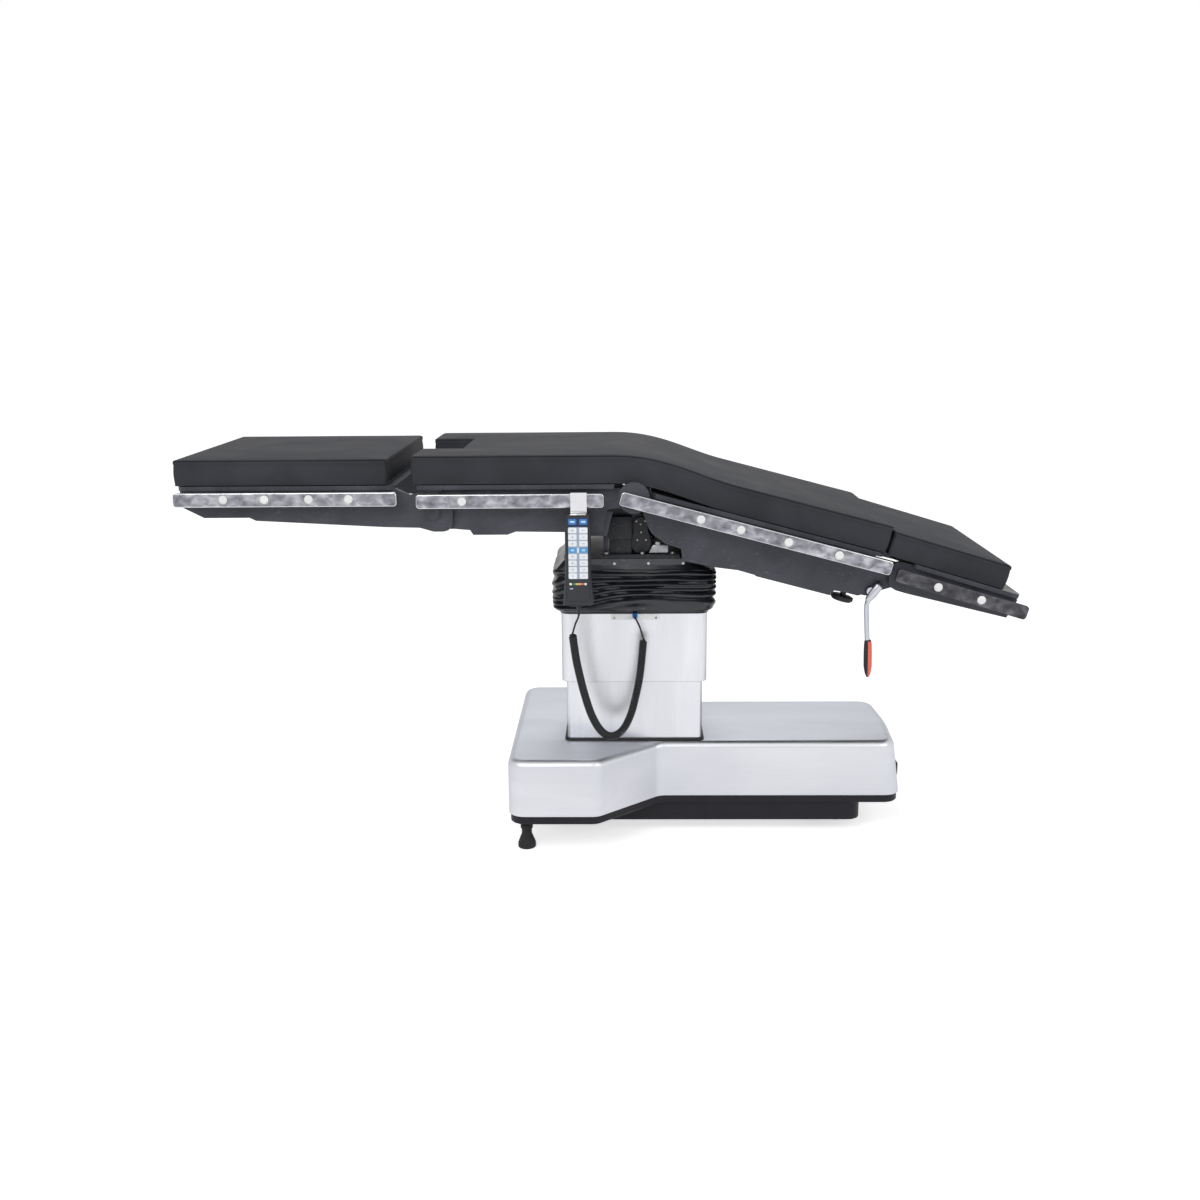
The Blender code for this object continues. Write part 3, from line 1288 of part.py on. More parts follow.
def build_back(back, lever, paint, chrome, casing, black, red):
    """The back section, drawn level from its hinge."""
    half = TOP_WIDTH / 2
    sunk = BACK_DECK_BOTTOM + DECK / 2
    deck = prism(
        [rounded_box(BACK_DECK_START, BACK_DECK_END, -half, half, DECK_CORNER)],
        BACK_DECK_BOTTOM,
        BACK_DECK_BOTTOM + DECK,
        "z",
    )
    lug = BACK_LUG_RADIUS
    web = rounded(
        [
            (-lug, lug, lug),
            (-lug, -lug, lug),
            (lug, -lug, 0),
            (BACK_WEB_NECK_U, BACK_WEB_NECK_W, RAIL_HEIGHT),
            (BACK_WEB_SLOPE_U, BACK_WEB_SLOPE_W, 0),
            (BACK_WEB_LEDGE_U, BACK_WEB_LEDGE_W, 0),
            (BACK_WEB_STEP_U, BACK_WEB_STEP_W, 0),
            (BACK_WEB_BELLY_U, BACK_WEB_BELLY_W, 0),
            (BACK_WEB_RISE_U, BACK_WEB_RISE_W, 0),
            (BACK_WEB_FALL_U, BACK_WEB_FALL_W, 0),
            (BACK_WEB_TAIL_U, BACK_WEB_TAIL_W, 0),
            (COVER_STEP_U, COVER_STEP_W, 0),
            (LEVER_U, LEVER_W - LEVER_EAR_RADIUS, LEVER_EAR_RADIUS),
            (LEVER_U + LEVER_EAR_RADIUS, LEVER_W, LEVER_EAR_RADIUS),
            (HEAD_AXIS_U - HEAD_LUG_RADIUS / 2, HEAD_AXIS_W - HEAD_LUG_RADIUS, HEAD_LUG_RADIUS / 2),
            (HEAD_AXIS_U + HEAD_LUG_RADIUS, HEAD_AXIS_W - HEAD_LUG_RADIUS, HEAD_LUG_RADIUS),
            (HEAD_AXIS_U + HEAD_LUG_RADIUS, HEAD_AXIS_W + HEAD_LUG_RADIUS, HEAD_LUG_RADIUS),
            (BACK_DECK_END - DECK, HEAD_AXIS_W + HEAD_LUG_RADIUS, 0),
            (BACK_DECK_END - 2 * DECK, sunk, 0),
            (BACK_DECK_START + DECK, sunk, 0),
            (BACK_DECK_START, lug / 2, 0),
            (lug, lug, 0),
        ]
    )
    pieces = mirrored_slabs(web, INNER_WEB_OFFSET)
    pieces += boss_rods(BACK_BOSSES, BACK_RAIL_W, INNER_WEB_OFFSET)
    pieces.append(cross_bar(BACK_BAR_HINGE_U, sunk, INNER_WEB_OFFSET))
    pieces.append(cross_bar(BACK_BAR_HEAD_U, sunk, INNER_WEB_OFFSET))
    pieces += pins(0, 0, INNER_WEB_OFFSET, BACK_DISC_OUTER, PIN_RADIUS)
    pieces += pins(0, 0, BACK_DISC_INNER, BACK_DISC_OUTER, BACK_DISC_RADIUS)
    bores = pins(HEAD_AXIS_U, HEAD_AXIS_W, INNER_WEB_OFFSET - WEB, MIDDLE_WEB_OFFSET, PIN_BORE)
    put("back_frame", cut(joined(deck, *pieces), *bores), paint, back, back)
    rails("back", BACK_RAIL_START, BACK_RAIL_END, BACK_RAIL_W, chrome, back, back)

    reach = INNER_WEB_OFFSET - WEB / 2 - GAP
    cover = rounded(
        [
            (COVER_START, COVER_TOP, RAIL_EDGE),
            (COVER_START, COVER_BOTTOM, DECK_CORNER / 2),
            (COVER_STEP_U - DECK, COVER_BOTTOM, 0),
            (COVER_STEP_U, COVER_STEP_W, 0),
            (COVER_END, COVER_STEP_W, DECK_CORNER / 2),
            (COVER_END, COVER_TOP, RAIL_EDGE),
        ]
    )
    put("back_cover", prism([cover], -reach, reach, "y"), casing, back, back)

    knob = Station("back_knob_axis", back.rest @ Vector((KNOB_U, KNOB_Y, COVER_STEP_W)), back, BACK_TILT_DEGREES)
    face = -KNOB_STEM
    profile = [
        (0, -GAP),
        (KNOB_STEM_RADIUS, -GAP),
        (KNOB_STEM_RADIUS, face),
        (KNOB_RADIUS - KNOB_EDGE, face),
        (KNOB_RADIUS, face - KNOB_EDGE),
        (KNOB_RADIUS, face - KNOB_THICKNESS + KNOB_EDGE),
        (KNOB_RADIUS - KNOB_EDGE, face - KNOB_THICKNESS),
        (0, face - KNOB_THICKNESS),
    ]
    put("back_knob", turned(profile), black, knob, knob)

    axis = lever.rest.translation
    face_y = -INNER_WEB_OFFSET - WEB / 2 - GAP
    pivot = rod((axis.x, face_y, axis.z), (axis.x, LEVER_Y - LEVER_HEAD_RADIUS, axis.z), LEVER_HEAD_RADIUS)
    head_top = (LEVER_HEAD_TOP_X, LEVER_Y, LEVER_HEAD_TOP_Z)
    head = rod(head_top, (LEVER_HEAD_FOOT_X, LEVER_Y, LEVER_HEAD_FOOT_Z), LEVER_HEAD_RADIUS)
    route = [
        (LEVER_NECK_X, LEVER_Y, LEVER_NECK_Z),
        (LEVER_BEND_X, LEVER_Y, LEVER_BEND_Z),
        (LEVER_STEM_X, LEVER_Y, LEVER_STEM_Z),
        (GRIP_MOUTH_X, LEVER_Y, GRIP_TOP),
        (GRIP_X, LEVER_Y, GRIP_TOP - GRIP_RADIUS),
    ]
    stem = tube(route, LEVER_ROD_RADIUS, 1)
    put("release_lever", joined(pivot, head, stem), chrome, lever)
    length = GRIP_TOP - GRIP_BOTTOM
    profile = [
        (0, 0),
        (GRIP_RADIUS * PLUG_NOSE_SHARE, 0),
        (GRIP_RADIUS, -GRIP_RADIUS),
        (GRIP_RADIUS, -length + 2 * GRIP_RADIUS),
        (0, -length),
    ]
    grip = turned(profile, SMALL_SIDES)
    lean = Matrix.Rotation(math.radians(GRIP_LEAN_DEGREES), 4, "Y")
    grip.transform(Matrix.Translation((GRIP_X, LEVER_Y, GRIP_TOP)) @ lean)
    socket = tube(route, LEVER_ROD_RADIUS + GAP, 1)
    put("lever_grip", cut(grip, socket), red, lever)


def build_head(head, paint, chrome):
    """The head section, drawn level from its hinge."""
    half = TOP_WIDTH / 2
    sunk = HEAD_DECK_BOTTOM + DECK / 2
    tongue = INNER_WEB_OFFSET - WEB / 2 - WEB_PLAY
    outline = rounded(
        [
            (HEAD_DECK_START, -tongue, DECK_CORNER),
            (HEAD_DECK_SHOULDER, -tongue, 0),
            (HEAD_DECK_SHOULDER, -half, DECK_CORNER / 2),
            (HEAD_DECK_END, -half, DECK_CORNER),
            (HEAD_DECK_END, half, DECK_CORNER),
            (HEAD_DECK_SHOULDER, half, DECK_CORNER / 2),
            (HEAD_DECK_SHOULDER, tongue, 0),
            (HEAD_DECK_START, tongue, DECK_CORNER),
        ]
    )
    deck = prism([outline], HEAD_DECK_BOTTOM, HEAD_DECK_BOTTOM + DECK, "z")
    radius = HEAD_DISC_RADIUS
    web = rounded(
        [
            (-radius, radius, radius / 2),
            (-radius, -radius, radius),
            (radius / 2, -radius, radius / 2),
            (HEAD_DECK_END - DECK, HEAD_WEB_TIP_W, RAIL_EDGE),
            (HEAD_DECK_END, sunk - DECK, 0),
            (HEAD_DECK_END - DECK, sunk, 0),
            (HEAD_DECK_SHOULDER + DECK, sunk, 0),
        ]
    )
    pieces = mirrored_slabs(web, MIDDLE_WEB_OFFSET)
    pieces += boss_rods(HEAD_BOSSES, HEAD_RAIL_W, MIDDLE_WEB_OFFSET)
    pieces.append(cross_bar(HEAD_BAR_HINGE_U, sunk, MIDDLE_WEB_OFFSET))
    pieces.append(cross_bar(HEAD_BAR_TIP_U, sunk, MIDDLE_WEB_OFFSET))
    end = MIDDLE_WEB_OFFSET + WEB / 2
    start = INNER_WEB_OFFSET - WEB / 2
    pieces += pins(0, 0, start, end + PIN_HEAD, PIN_RADIUS)
    pieces += pins(0, 0, end - WEB / 2, end + PIN_HEAD, 2 * PIN_RADIUS)
    put("head_frame", joined(deck, *pieces), paint, head, head)
    rails("head", HEAD_RAIL_START, HEAD_RAIL_END, HEAD_RAIL_W, chrome, head, head)


def stations_between(start, end, span, soft_start=True, soft_end=True):
    """Cage lines across a cushion, with a close one inside each soft edge."""
    inner_start = start + PAD_EDGE if soft_start else start
    inner_end = end - PAD_EDGE if soft_end else end
    count = max(1, round((inner_end - inner_start) / span))
    lines = [inner_start + (inner_end - inner_start) * k / count for k in range(count + 1)]
    if soft_start:
        lines.insert(0, start)
    if soft_end:
        lines.append(end)
    return lines


def cushion(lines, thickness, place, hollow=None, soft=(True, True)):
    """A crowned pad over a grid cage. place(s, y, h) gives a cage point from its length, breadth and height."""
    half = TOP_WIDTH / 2
    slot = NOTCH_WIDTH / 2
    middle = [-slot - PAD_EDGE, -slot, slot, slot + PAD_EDGE] if hollow else []
    side = [-half, -half + PAD_EDGE, *middle, half - PAD_EDGE, half]
    cage = bmesh.new()
    cells = {
        (i, j)
        for i in range(len(lines) - 1)
        for j in range(len(side) - 1)
        if not (hollow and hollow(lines[i], lines[i + 1], side[j], side[j + 1]))
    }

    def rim(i, j):
        around = [(a, b) in cells for a in (i - 1, i) for b in (j - 1, j)]
        at_joint = (i == 0 and not soft[0]) or (i == len(lines) - 1 and not soft[1])
        wanted = 2 if at_joint else 4
        return sum(around) < wanted

    spots = {(i + a, j + b) for i, j in cells for a in (0, 1) for b in (0, 1)}
    levels = {}
    for i, j in spots:
        drop = PAD_CROWN if rim(i, j) else 0
        for level, height in enumerate((0, thickness / 2, thickness - drop)):
            draw = PAD_SIDE_DRAW if level == 0 and rim(i, j) and abs(side[j]) == half else 0
            y = side[j] - math.copysign(draw, side[j])
            levels[i, j, level] = cage.verts.new(place(lines[i], y, height)) if level != 1 or rim_or_end(i, j, cells) else None
    for i, j in cells:
        ring = ((i, j), (i + 1, j), (i + 1, j + 1), (i, j + 1))
        cage.faces.new([levels[a, b, 2] for a, b in ring])
        cage.faces.new([levels[a, b, 0] for a, b in reversed(ring)])
        steps = ((0, -1), (1, 0), (0, 1), (-1, 0))
        for k, (di, dj) in enumerate(steps):
            if (i + di, j + dj) in cells:
                continue
            first, second = ring[k], ring[(k + 1) % 4]
            for low, high in ((0, 1), (1, 2)):
                cage.faces.new(
                    (levels[*first, low], levels[*second, low], levels[*second, high], levels[*first, high])
                )
    crease = cage.edges.layers.float.new("crease_edge")
    last = len(lines) - 1
    ends = {levels[i, j, level] for (i, j) in spots for level in range(3) if joint_end(i, last, soft)}
    ends.discard(None)
    for edge in cage.edges:
        if edge.verts[0] in ends and edge.verts[1] in ends:
            edge[crease] = 1
    body = stand_in(mesh_from(cage))
    round_off = body.modifiers.new("soft", "SUBSURF")
    round_off.levels = 1
    round_off.render_levels = 1
    return evaluated(body)


def rim_or_end(i, j, cells):
    """Whether a cage spot lies on the outline of the cells."""
    return sum((a, b) in cells for a in (i - 1, i) for b in (j - 1, j)) < 4


def joint_end(i, last, soft):
    """Whether a cage line is a flat end, where the pad runs on into the next node."""
    return (i == 0 and not soft[0]) or (i == last and not soft[1])


def build_pads(seat, back, head, leg, vinyl):
    """The cushions. The torso pad is one piece on the real table: here its stretch over the hinge is its own node."""
    top = SEAT_PAD_BOTTOM
    lines = stations_between(-LEG_END, -LEG_END + LEG_PAD_LENGTH, PAD_SPAN)
    put("leg_pad", cushion(lines, LEG_PAD_THICKNESS, lambda s, y, h: (s, y, top + h)), vinyl, leg)

    notch_end = -SEAT_END + NOTCH_DEPTH
    start = -SEAT_END
    lines = [start, start + PAD_EDGE, notch_end - PAD_EDGE, notch_end, notch_end + PAD_EDGE]
    lines += stations_between(notch_end + PAD_EDGE, -SEAT_PAD_REACH, PAD_SPAN, False, False)[1:]

    def in_notch(s0, s1, y0, y1):
        return s1 <= notch_end and abs(y0 + y1) < NOTCH_WIDTH

    pad = cushion(lines, SEAT_PAD_THICKNESS, lambda s, y, h: (s, y, top + h), in_notch, (True, False))
    put("seat_pad", pad, vinyl, seat)

    lines = stations_between(BACK_PAD_START, BACK_PAD_END, PAD_SPAN, False, True)
    pad = cushion(lines, BACK_PAD_THICKNESS, lambda s, y, h: (s, y, BACK_PAD_BOTTOM + h), soft=(False, True))
    put("back_pad", pad, vinyl, back, back)

    first = Vector((-SEAT_PAD_REACH + GAP, 0, top))
    last = back.rest @ Vector((BACK_PAD_START - GAP, 0, BACK_PAD_BOTTOM))
    along = back.rest.to_3x3() @ Vector((1, 0, 0))
    level = Vector((BEND_HANDLE, 0, 0))

    def bend(t, y, h):
        a, b, c, d = first, first + level, last - along * BEND_HANDLE, last
        u = 1 - t
        point = a * u**3 + b * 3 * u * u * t + c * 3 * u * t * t + d * t**3
        run = (b - a) * 3 * u * u + (c - b) * 6 * u * t + (d - c) * 3 * t * t
        up = Vector((-run.z, 0, run.x)).normalized()
        thick = SEAT_PAD_THICKNESS + (BACK_PAD_THICKNESS - SEAT_PAD_THICKNESS) * t
        return point + Vector((0, y, 0)) + up * h * thick / SEAT_PAD_THICKNESS

    lines = [k / BEND_STATIONS for k in range(BEND_STATIONS + 1)]
    put("pad_bend", cushion(lines, SEAT_PAD_THICKNESS, bend, soft=(False, False)), vinyl, seat)

    level_of = HEAD_PAD_BOTTOM
    lines = stations_between(HEAD_PAD_SPLIT, HEAD_PAD_END, PAD_SPAN / 2, False, True)
    pad = cushion(lines, HEAD_PAD_THICKNESS, lambda s, y, h: (s, y, level_of + h), soft=(False, True))
    put("head_pad", pad, vinyl, head, head)
    lines = stations_between(HEAD_PAD_START, HEAD_PAD_SPLIT - GAP, PAD_SPAN / 2, True, False)
    pad = cushion(lines, HEAD_PAD_THICKNESS, lambda s, y, h: (s, y, level_of + h), soft=(True, False))
    put("head_pad_edge", pad, vinyl, head, head)


def handset_front():
    """Where the hand control's back lies, against its hook."""
    return -RAIL_OUTER - RUNNING - HOOK_SHEET - GAP


def build_handset(seat, casing, chrome):
    """The hand control and the sheet hook that hangs it on the near seat rail."""
    front = handset_front()
    foot = HANDSET_TOP - HANDSET_HEIGHT
    flare = HANDSET_TOP - HANDSET_HEIGHT * HANDSET_FLARE_SHARE
    outline = []
    for side in (1, -1):
        half = [
            (HANDSET_X + side * HANDSET_WIDTH / 2, HANDSET_TOP, HANDSET_CORNER),
            (HANDSET_X + side * HANDSET_WIDTH / 2, flare, HANDSET_HEIGHT),
            (HANDSET_X + side * HANDSET_FOOT_WIDTH / 2, foot, HANDSET_CORNER),
        ]
        outline += half if side > 0 else half[::-1]
    body = prism([rounded(outline, ARC_STEPS)], front - HANDSET_DEPTH, front, "y")
    put("handset", softened(body, HANDSET_EDGE, 1), casing, seat)

    rail_top = SEAT_RAIL_Z + RAIL_HEIGHT / 2
    outer = -RAIL_OUTER - RUNNING
    inner = -RAIL_INNER + RUNNING
    over = rail_top + RUNNING
    hook = [
        (outer - HOOK_SHEET, HOOK_BOTTOM),
        (outer, HOOK_BOTTOM),
        (outer, over),
        (inner, over),
        (inner, rail_top - HOOK_LIP),
        (inner + HOOK_SHEET, rail_top - HOOK_LIP),
        (inner + HOOK_SHEET, over + HOOK_SHEET),
        (outer - HOOK_SHEET, over + HOOK_SHEET),
    ]
    put("handset_hook", prism([hook], HOOK_START, HOOK_END, "x"), chrome, seat)


def curl_points(start, end):
    """The wire's path round its route, straight where it meets the cord's plain ends.

    start and end are each a place and the direction that the route has there.
    """
    (first, leaving), (last, arriving) = start, end
    route = smooth_route([first + leaving * CORD_LEAD, *CURL_ROUTE, last - arriving * CORD_LEAD], SIDES)
    lengths = [0.0]
    for a, b in zip(route, route[1:]):
        lengths.append(lengths[-1] + (b - a).length)
    total = lengths[-1]
    count = CURLS * CURL_POINTS
    points = []
    side = Vector((0, 1, 0))
    spot = 0
    for k in range(count + 1):
        wanted = total * k / count
        while spot < len(route) - 2 and lengths[spot + 1] < wanted:
            spot += 1
        run = route[spot + 1] - route[spot]
        t = (wanted - lengths[spot]) / (lengths[spot + 1] - lengths[spot])
        centre = route[spot] + run * t
        along = run.normalized()
        side = (side - along * side.dot(along)).normalized()
        other = along.cross(side)
        turn = 2 * math.pi * k / CURL_POINTS
        ease = min(1, k / CURL_POINTS, (count - k) / CURL_POINTS)
        points.append(centre + (side * math.cos(turn) + other * math.sin(turn)) * CURL_RADIUS * ease)
    return [first, *points, last]


def least_gap(points, radius):
    """The least distance between the surfaces of two stretches of one wire, half a curl or more apart."""
    least = math.inf
    for i, a in enumerate(points):
        for b in points[i + CURL_POINTS // 2 + 1 :]:
            least = min(least, (a - b).length - 2 * radius)
    return least


def build_cord(seat, head, rubber):
    """The coiled cord of the hand control, from the handset's foot to the plug on the sleeve."""
    down = Vector((0, 0, -1))
    mouth = Vector((HANDSET_X, handset_front() - HANDSET_DEPTH / 2, HANDSET_TOP)) + down * (HANDSET_HEIGHT + GAP)
    first = [mouth, mouth + down * CORD_LEAD, *smooth_route(CORD_FROM_HANDSET, ARC_STEPS)]
    plug_face = Vector((PLUG_X, plug_back() - PLUG_LENGTH - GAP, PLUG_Z))
    inward = Vector((0, 1, 0))
    last = [*smooth_route(CORD_TO_PLUG, ARC_STEPS), plug_face - inward * CORD_LEAD, plug_face]
    put("cord_handset", tube(first, CORD_RADIUS, 1), rubber, seat)
    put("cord_plug", tube(last, CORD_RADIUS, 1), rubber, head)
    leaving = (first[-1] - first[-2]).normalized()
    arriving = (last[1] - last[0]).normalized()
    points = curl_points((first[-1] + leaving * GAP, leaving), (last[0] - arriving * GAP, arriving))
    print(f"cord_curl: least gap to itself {least_gap(points, CURL_WIRE_RADIUS) * 1000:.2f} mm")
    put("cord_curl", tube(points, CURL_WIRE_RADIUS, 1), rubber, head)


def main():
    """Build the table."""
    clear_scene()
    steel = finish("brushed_steel", (0.62, 0.63, 0.65), 0.32, 1.0)
    chrome = finish("polished_steel", (0.70, 0.70, 0.72), 0.18, 1.0)
    zinc = finish("cast_metal", (0.33, 0.34, 0.36), 0.45, 0.8)
    paint = finish("frame_paint", (0.045, 0.047, 0.060), 0.45, 0.3)
    casing = finish("dark_plastic", (0.030, 0.031, 0.038), 0.5)
    black = finish("black_plastic", (0.012, 0.012, 0.016), 0.4)
    rubber = finish("black_rubber", (0.015, 0.015, 0.018), 0.7)
    vinyl = finish("pad_vinyl", (0.048, 0.050, 0.058), 0.5)
    white = finish("white_plastic", (0.80, 0.80, 0.80), 0.4)
    blue = finish("blue_plastic", (0.02, 0.08, 0.45), 0.35)
    red = finish("grip_plastic", (0.35, 0.02, 0.02), 0.4)

    centre_x = (LEG_END - head_reach()) / 2
    centre_y = (RAIL_OUTER + RUNNING + HOOK_SHEET + GAP + HANDSET_DEPTH - RAIL_OUTER) / 2
    base = Station("table_root")
    middle = Station("middle_sleeve_travel", (0, 0, MIDDLE_SLEEVE_BOTTOM), base)
    head = Station("lift_travel", (0, 0, UPPER_SLEEVE_BOTTOM), base)
    cradle = Station("roll_axis", (0, 0, ROLL_AXIS_Z), head)
    seat = Station("pitch_axis", (PITCH_AXIS_X, 0, PITCH_AXIS_Z), cradle)
    leg = Station("leg_axis", (LEG_AXIS_X, 0, LEG_AXIS_Z), seat)
    back = Station("back_axis", (0, 0, BACK_AXIS_Z), seat, BACK_TILT_DEGREES)
    head_place = back.rest @ Vector((HEAD_AXIS_U, 0, HEAD_AXIS_W))
    headrest = Station("head_axis", head_place, back, BACK_TILT_DEGREES + HEAD_TILT_DEGREES)
    lever = Station("lever_axis", back.rest @ Vector((LEVER_U, LEVER_Y, LEVER_W)), back)

    build_base(base, steel, black, zinc, casing)
    build_feet(base, rubber)
    build_casters(base, zinc, rubber)
    build_column(base, middle, head, steel, zinc, black)
    build_socket(head, white, blue)
    build_boot(head, cradle, black, zinc)
    build_cradle(cradle, zinc, casing)
    build_seat(seat, paint, chrome, casing)
    build_leg(leg, paint, chrome)
    build_back(back, lever, paint, chrome, casing, black, red)
    build_head(headrest, paint, chrome)
    build_pads(seat, back, headrest, leg, vinyl)
    build_handset(seat, casing, chrome)
    build_cord(seat, head, rubber)
    base.empty.location = (centre_x, centre_y, 0)


def head_reach():
    """How far the head rails reach from the column's axis."""
    tilt = math.radians(BACK_TILT_DEGREES)
    total = math.radians(BACK_TILT_DEGREES + HEAD_TILT_DEGREES)
    hinge = HEAD_AXIS_U * math.cos(tilt) + HEAD_AXIS_W * math.sin(tilt)
    return hinge + HEAD_RAIL_END * math.cos(total) + (HEAD_RAIL_W + RAIL_HEIGHT / 2) * math.sin(total)


main()
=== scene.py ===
"""Looks of the electric operating table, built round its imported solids.

Metres, +Z up, +X towards the head end, -Y towards the side that carries the hand control. Sizes are written about the
column's axis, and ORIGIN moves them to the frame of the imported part.
"""
import json
import logging
import math
from collections.abc import Callable, Sequence
from dataclasses import dataclass
from enum import Enum
from typing import ClassVar

import bmesh
import bpy
from mathutils import Matrix, Vector, noise

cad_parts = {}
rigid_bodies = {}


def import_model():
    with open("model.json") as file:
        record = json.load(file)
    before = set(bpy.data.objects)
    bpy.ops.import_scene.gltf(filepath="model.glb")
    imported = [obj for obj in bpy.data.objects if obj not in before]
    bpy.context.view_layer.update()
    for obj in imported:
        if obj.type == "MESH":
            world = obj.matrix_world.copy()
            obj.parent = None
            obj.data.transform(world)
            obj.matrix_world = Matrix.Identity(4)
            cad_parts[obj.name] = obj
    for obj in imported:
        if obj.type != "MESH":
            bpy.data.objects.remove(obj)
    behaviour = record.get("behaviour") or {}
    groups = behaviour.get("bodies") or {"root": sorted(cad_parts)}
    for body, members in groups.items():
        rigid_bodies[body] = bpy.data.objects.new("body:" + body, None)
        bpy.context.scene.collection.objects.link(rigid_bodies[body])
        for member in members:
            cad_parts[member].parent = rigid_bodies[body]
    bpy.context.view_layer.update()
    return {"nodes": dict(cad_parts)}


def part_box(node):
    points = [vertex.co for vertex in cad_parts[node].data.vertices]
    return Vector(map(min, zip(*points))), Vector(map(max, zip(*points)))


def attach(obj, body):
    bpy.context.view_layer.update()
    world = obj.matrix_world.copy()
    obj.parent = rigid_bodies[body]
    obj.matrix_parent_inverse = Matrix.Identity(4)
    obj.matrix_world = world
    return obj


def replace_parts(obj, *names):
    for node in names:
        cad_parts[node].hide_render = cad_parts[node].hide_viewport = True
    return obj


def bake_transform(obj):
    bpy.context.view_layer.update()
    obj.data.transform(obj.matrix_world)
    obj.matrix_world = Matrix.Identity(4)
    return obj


LOG = logging.getLogger("operating_table")
Point = Sequence[float]
Pair = tuple[float, float]
Triple = tuple[float, float, float]
Profile = tuple[Pair, ...]
Block = tuple[Pair, Pair, Pair, float]
Outline = list[Pair]
Ring = list[Vector]
Cage = bmesh.types.BMesh
Corner = bmesh.types.BMVert
Piece = bpy.types.Object
Material = bpy.types.Material
Socket = bpy.types.NodeSocket
# The column's axis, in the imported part's frame.
ORIGIN = Vector((0.07496, 0.0146, 0.0))
# The clearance between two pieces that meet.
GAP = 0.0003
# The table's two sides: the sign of y, and the word in the pieces' names.
SIDES = ((-1, "near"), (1, "far"))
# Just behind the backs of the seat's side webs, out from the middle.
WEB_BACK = 0.2452
# A Mix node's colour sockets: the first and second colours, and the result.
MIX_FIRST, MIX_SECOND, MIX_RESULT = 6, 7, 2
# Where the cord's plug sits on the column: along the table, and up.
PLUG_X, PLUG_Z = 0.002, 0.549
# The noise values that a spread maps to its two ends.
NOISE_LOW, NOISE_HIGH = 0.3, 0.7
# The least radius of a turned body's ring, so that no face closes to nothing.
LEAST_RADIUS = 1e-5
# The greatest share of a side that a corner's arc takes, and the reach below which the corner stays sharp.
ARC_SHARE, LEAST_ARC = 0.49, 0.00005


class Grain(Enum):
    """The way that a brushed surface was rubbed: scales of its fine marks, and of its wide smears."""

    ALONG_X = ((9.0, 620.0, 620.0), (2.2, 7.0, 7.0))
    UPRIGHT = ((620.0, 620.0, 9.0), (9.0, 9.0, 1.6))
    ROUND = ((60.0, 60.0, 60.0), (8.0, 8.0, 8.0))


class Axis(Enum):
    """The way that a fastener's head faces, as turns about X, Y and Z."""

    NEAR = (math.pi / 2, 0.0, 0.0)
    FAR = (-math.pi / 2, 0.0, 0.0)
    UP = (0.0, 0.0, 0.0)

    @classmethod
    def outward(cls, side: int) -> "Axis":
        """The way out on one of the table's sides."""
        return cls.NEAR if side < 0 else cls.FAR


class Blend(Enum):
    """How one colour is laid over another."""

    COVER = "MIX"
    DARKEN = "MULTIPLY"
    CONTRAST = "OVERLAY"


@dataclass(frozen=True)
class Section:
    """A tilted section's own frame: u along it, y across it and w up from it."""

    origin: Vector
    tilt: float

    def place(self, u: float, y: float, w: float) -> Vector:
        """A point of the section in the part's frame."""
        cos, sin = math.cos(self.tilt), math.sin(self.tilt)
        return self.origin + Vector((u * cos + w * sin, y, -u * sin + w * cos))


BACK = Section(ORIGIN + Vector((0, 0, 0.847)), math.radians(15))
HEAD = Section(BACK.place(0.6415, 0, -0.026), math.radians(17))
LEVEL = Section(ORIGIN, 0.0)


def at(x: float, y: float, z: float) -> Vector:
    """A point about the column's axis, in the part's frame."""
    return LEVEL.place(x, y, z)


def shaded(colour: Point, share: float) -> list[float]:
    """A colour's channels, each times a share."""
    return [channel * share for channel in colour]


def add_node(tree: bpy.types.NodeTree, kind: str, inputs: dict[str, object]) -> bpy.types.Node:
    """Add a node and set or link its inputs.

    Args:
        tree: the tree that gets the node.
        kind: the node's type.
        inputs: values or sockets, by input name with _ for a space.

    Returns:
        The node.
    """
    node = tree.nodes.new(kind)
    for name, value in inputs.items():
        socket = node.inputs[name.replace("_", " ")]
        if isinstance(value, Socket):
            tree.links.new(value, socket)
        else:
            socket.default_value = value
    return node


def rays_of(tree: bpy.types.NodeTree, *kinds: str) -> Socket:
    """A value that is 1 for rays of the named kinds and 0 for all others.

    Args:
        tree: the tree that gets the nodes.
        kinds: outputs of the Light Path node.

    Returns:
        The value's socket.
    """
    rays = tree.nodes.new("ShaderNodeLightPath")
    found = rays.outputs[kinds[0]]
    for kind in kinds[1:]:
        either = tree.nodes.new("ShaderNodeMath")
        either.operation = "MAXIMUM"
        tree.links.new(found, either.inputs[0])
        tree.links.new(rays.outputs[kind], either.inputs[1])
        found = either.outputs[0]
    return found


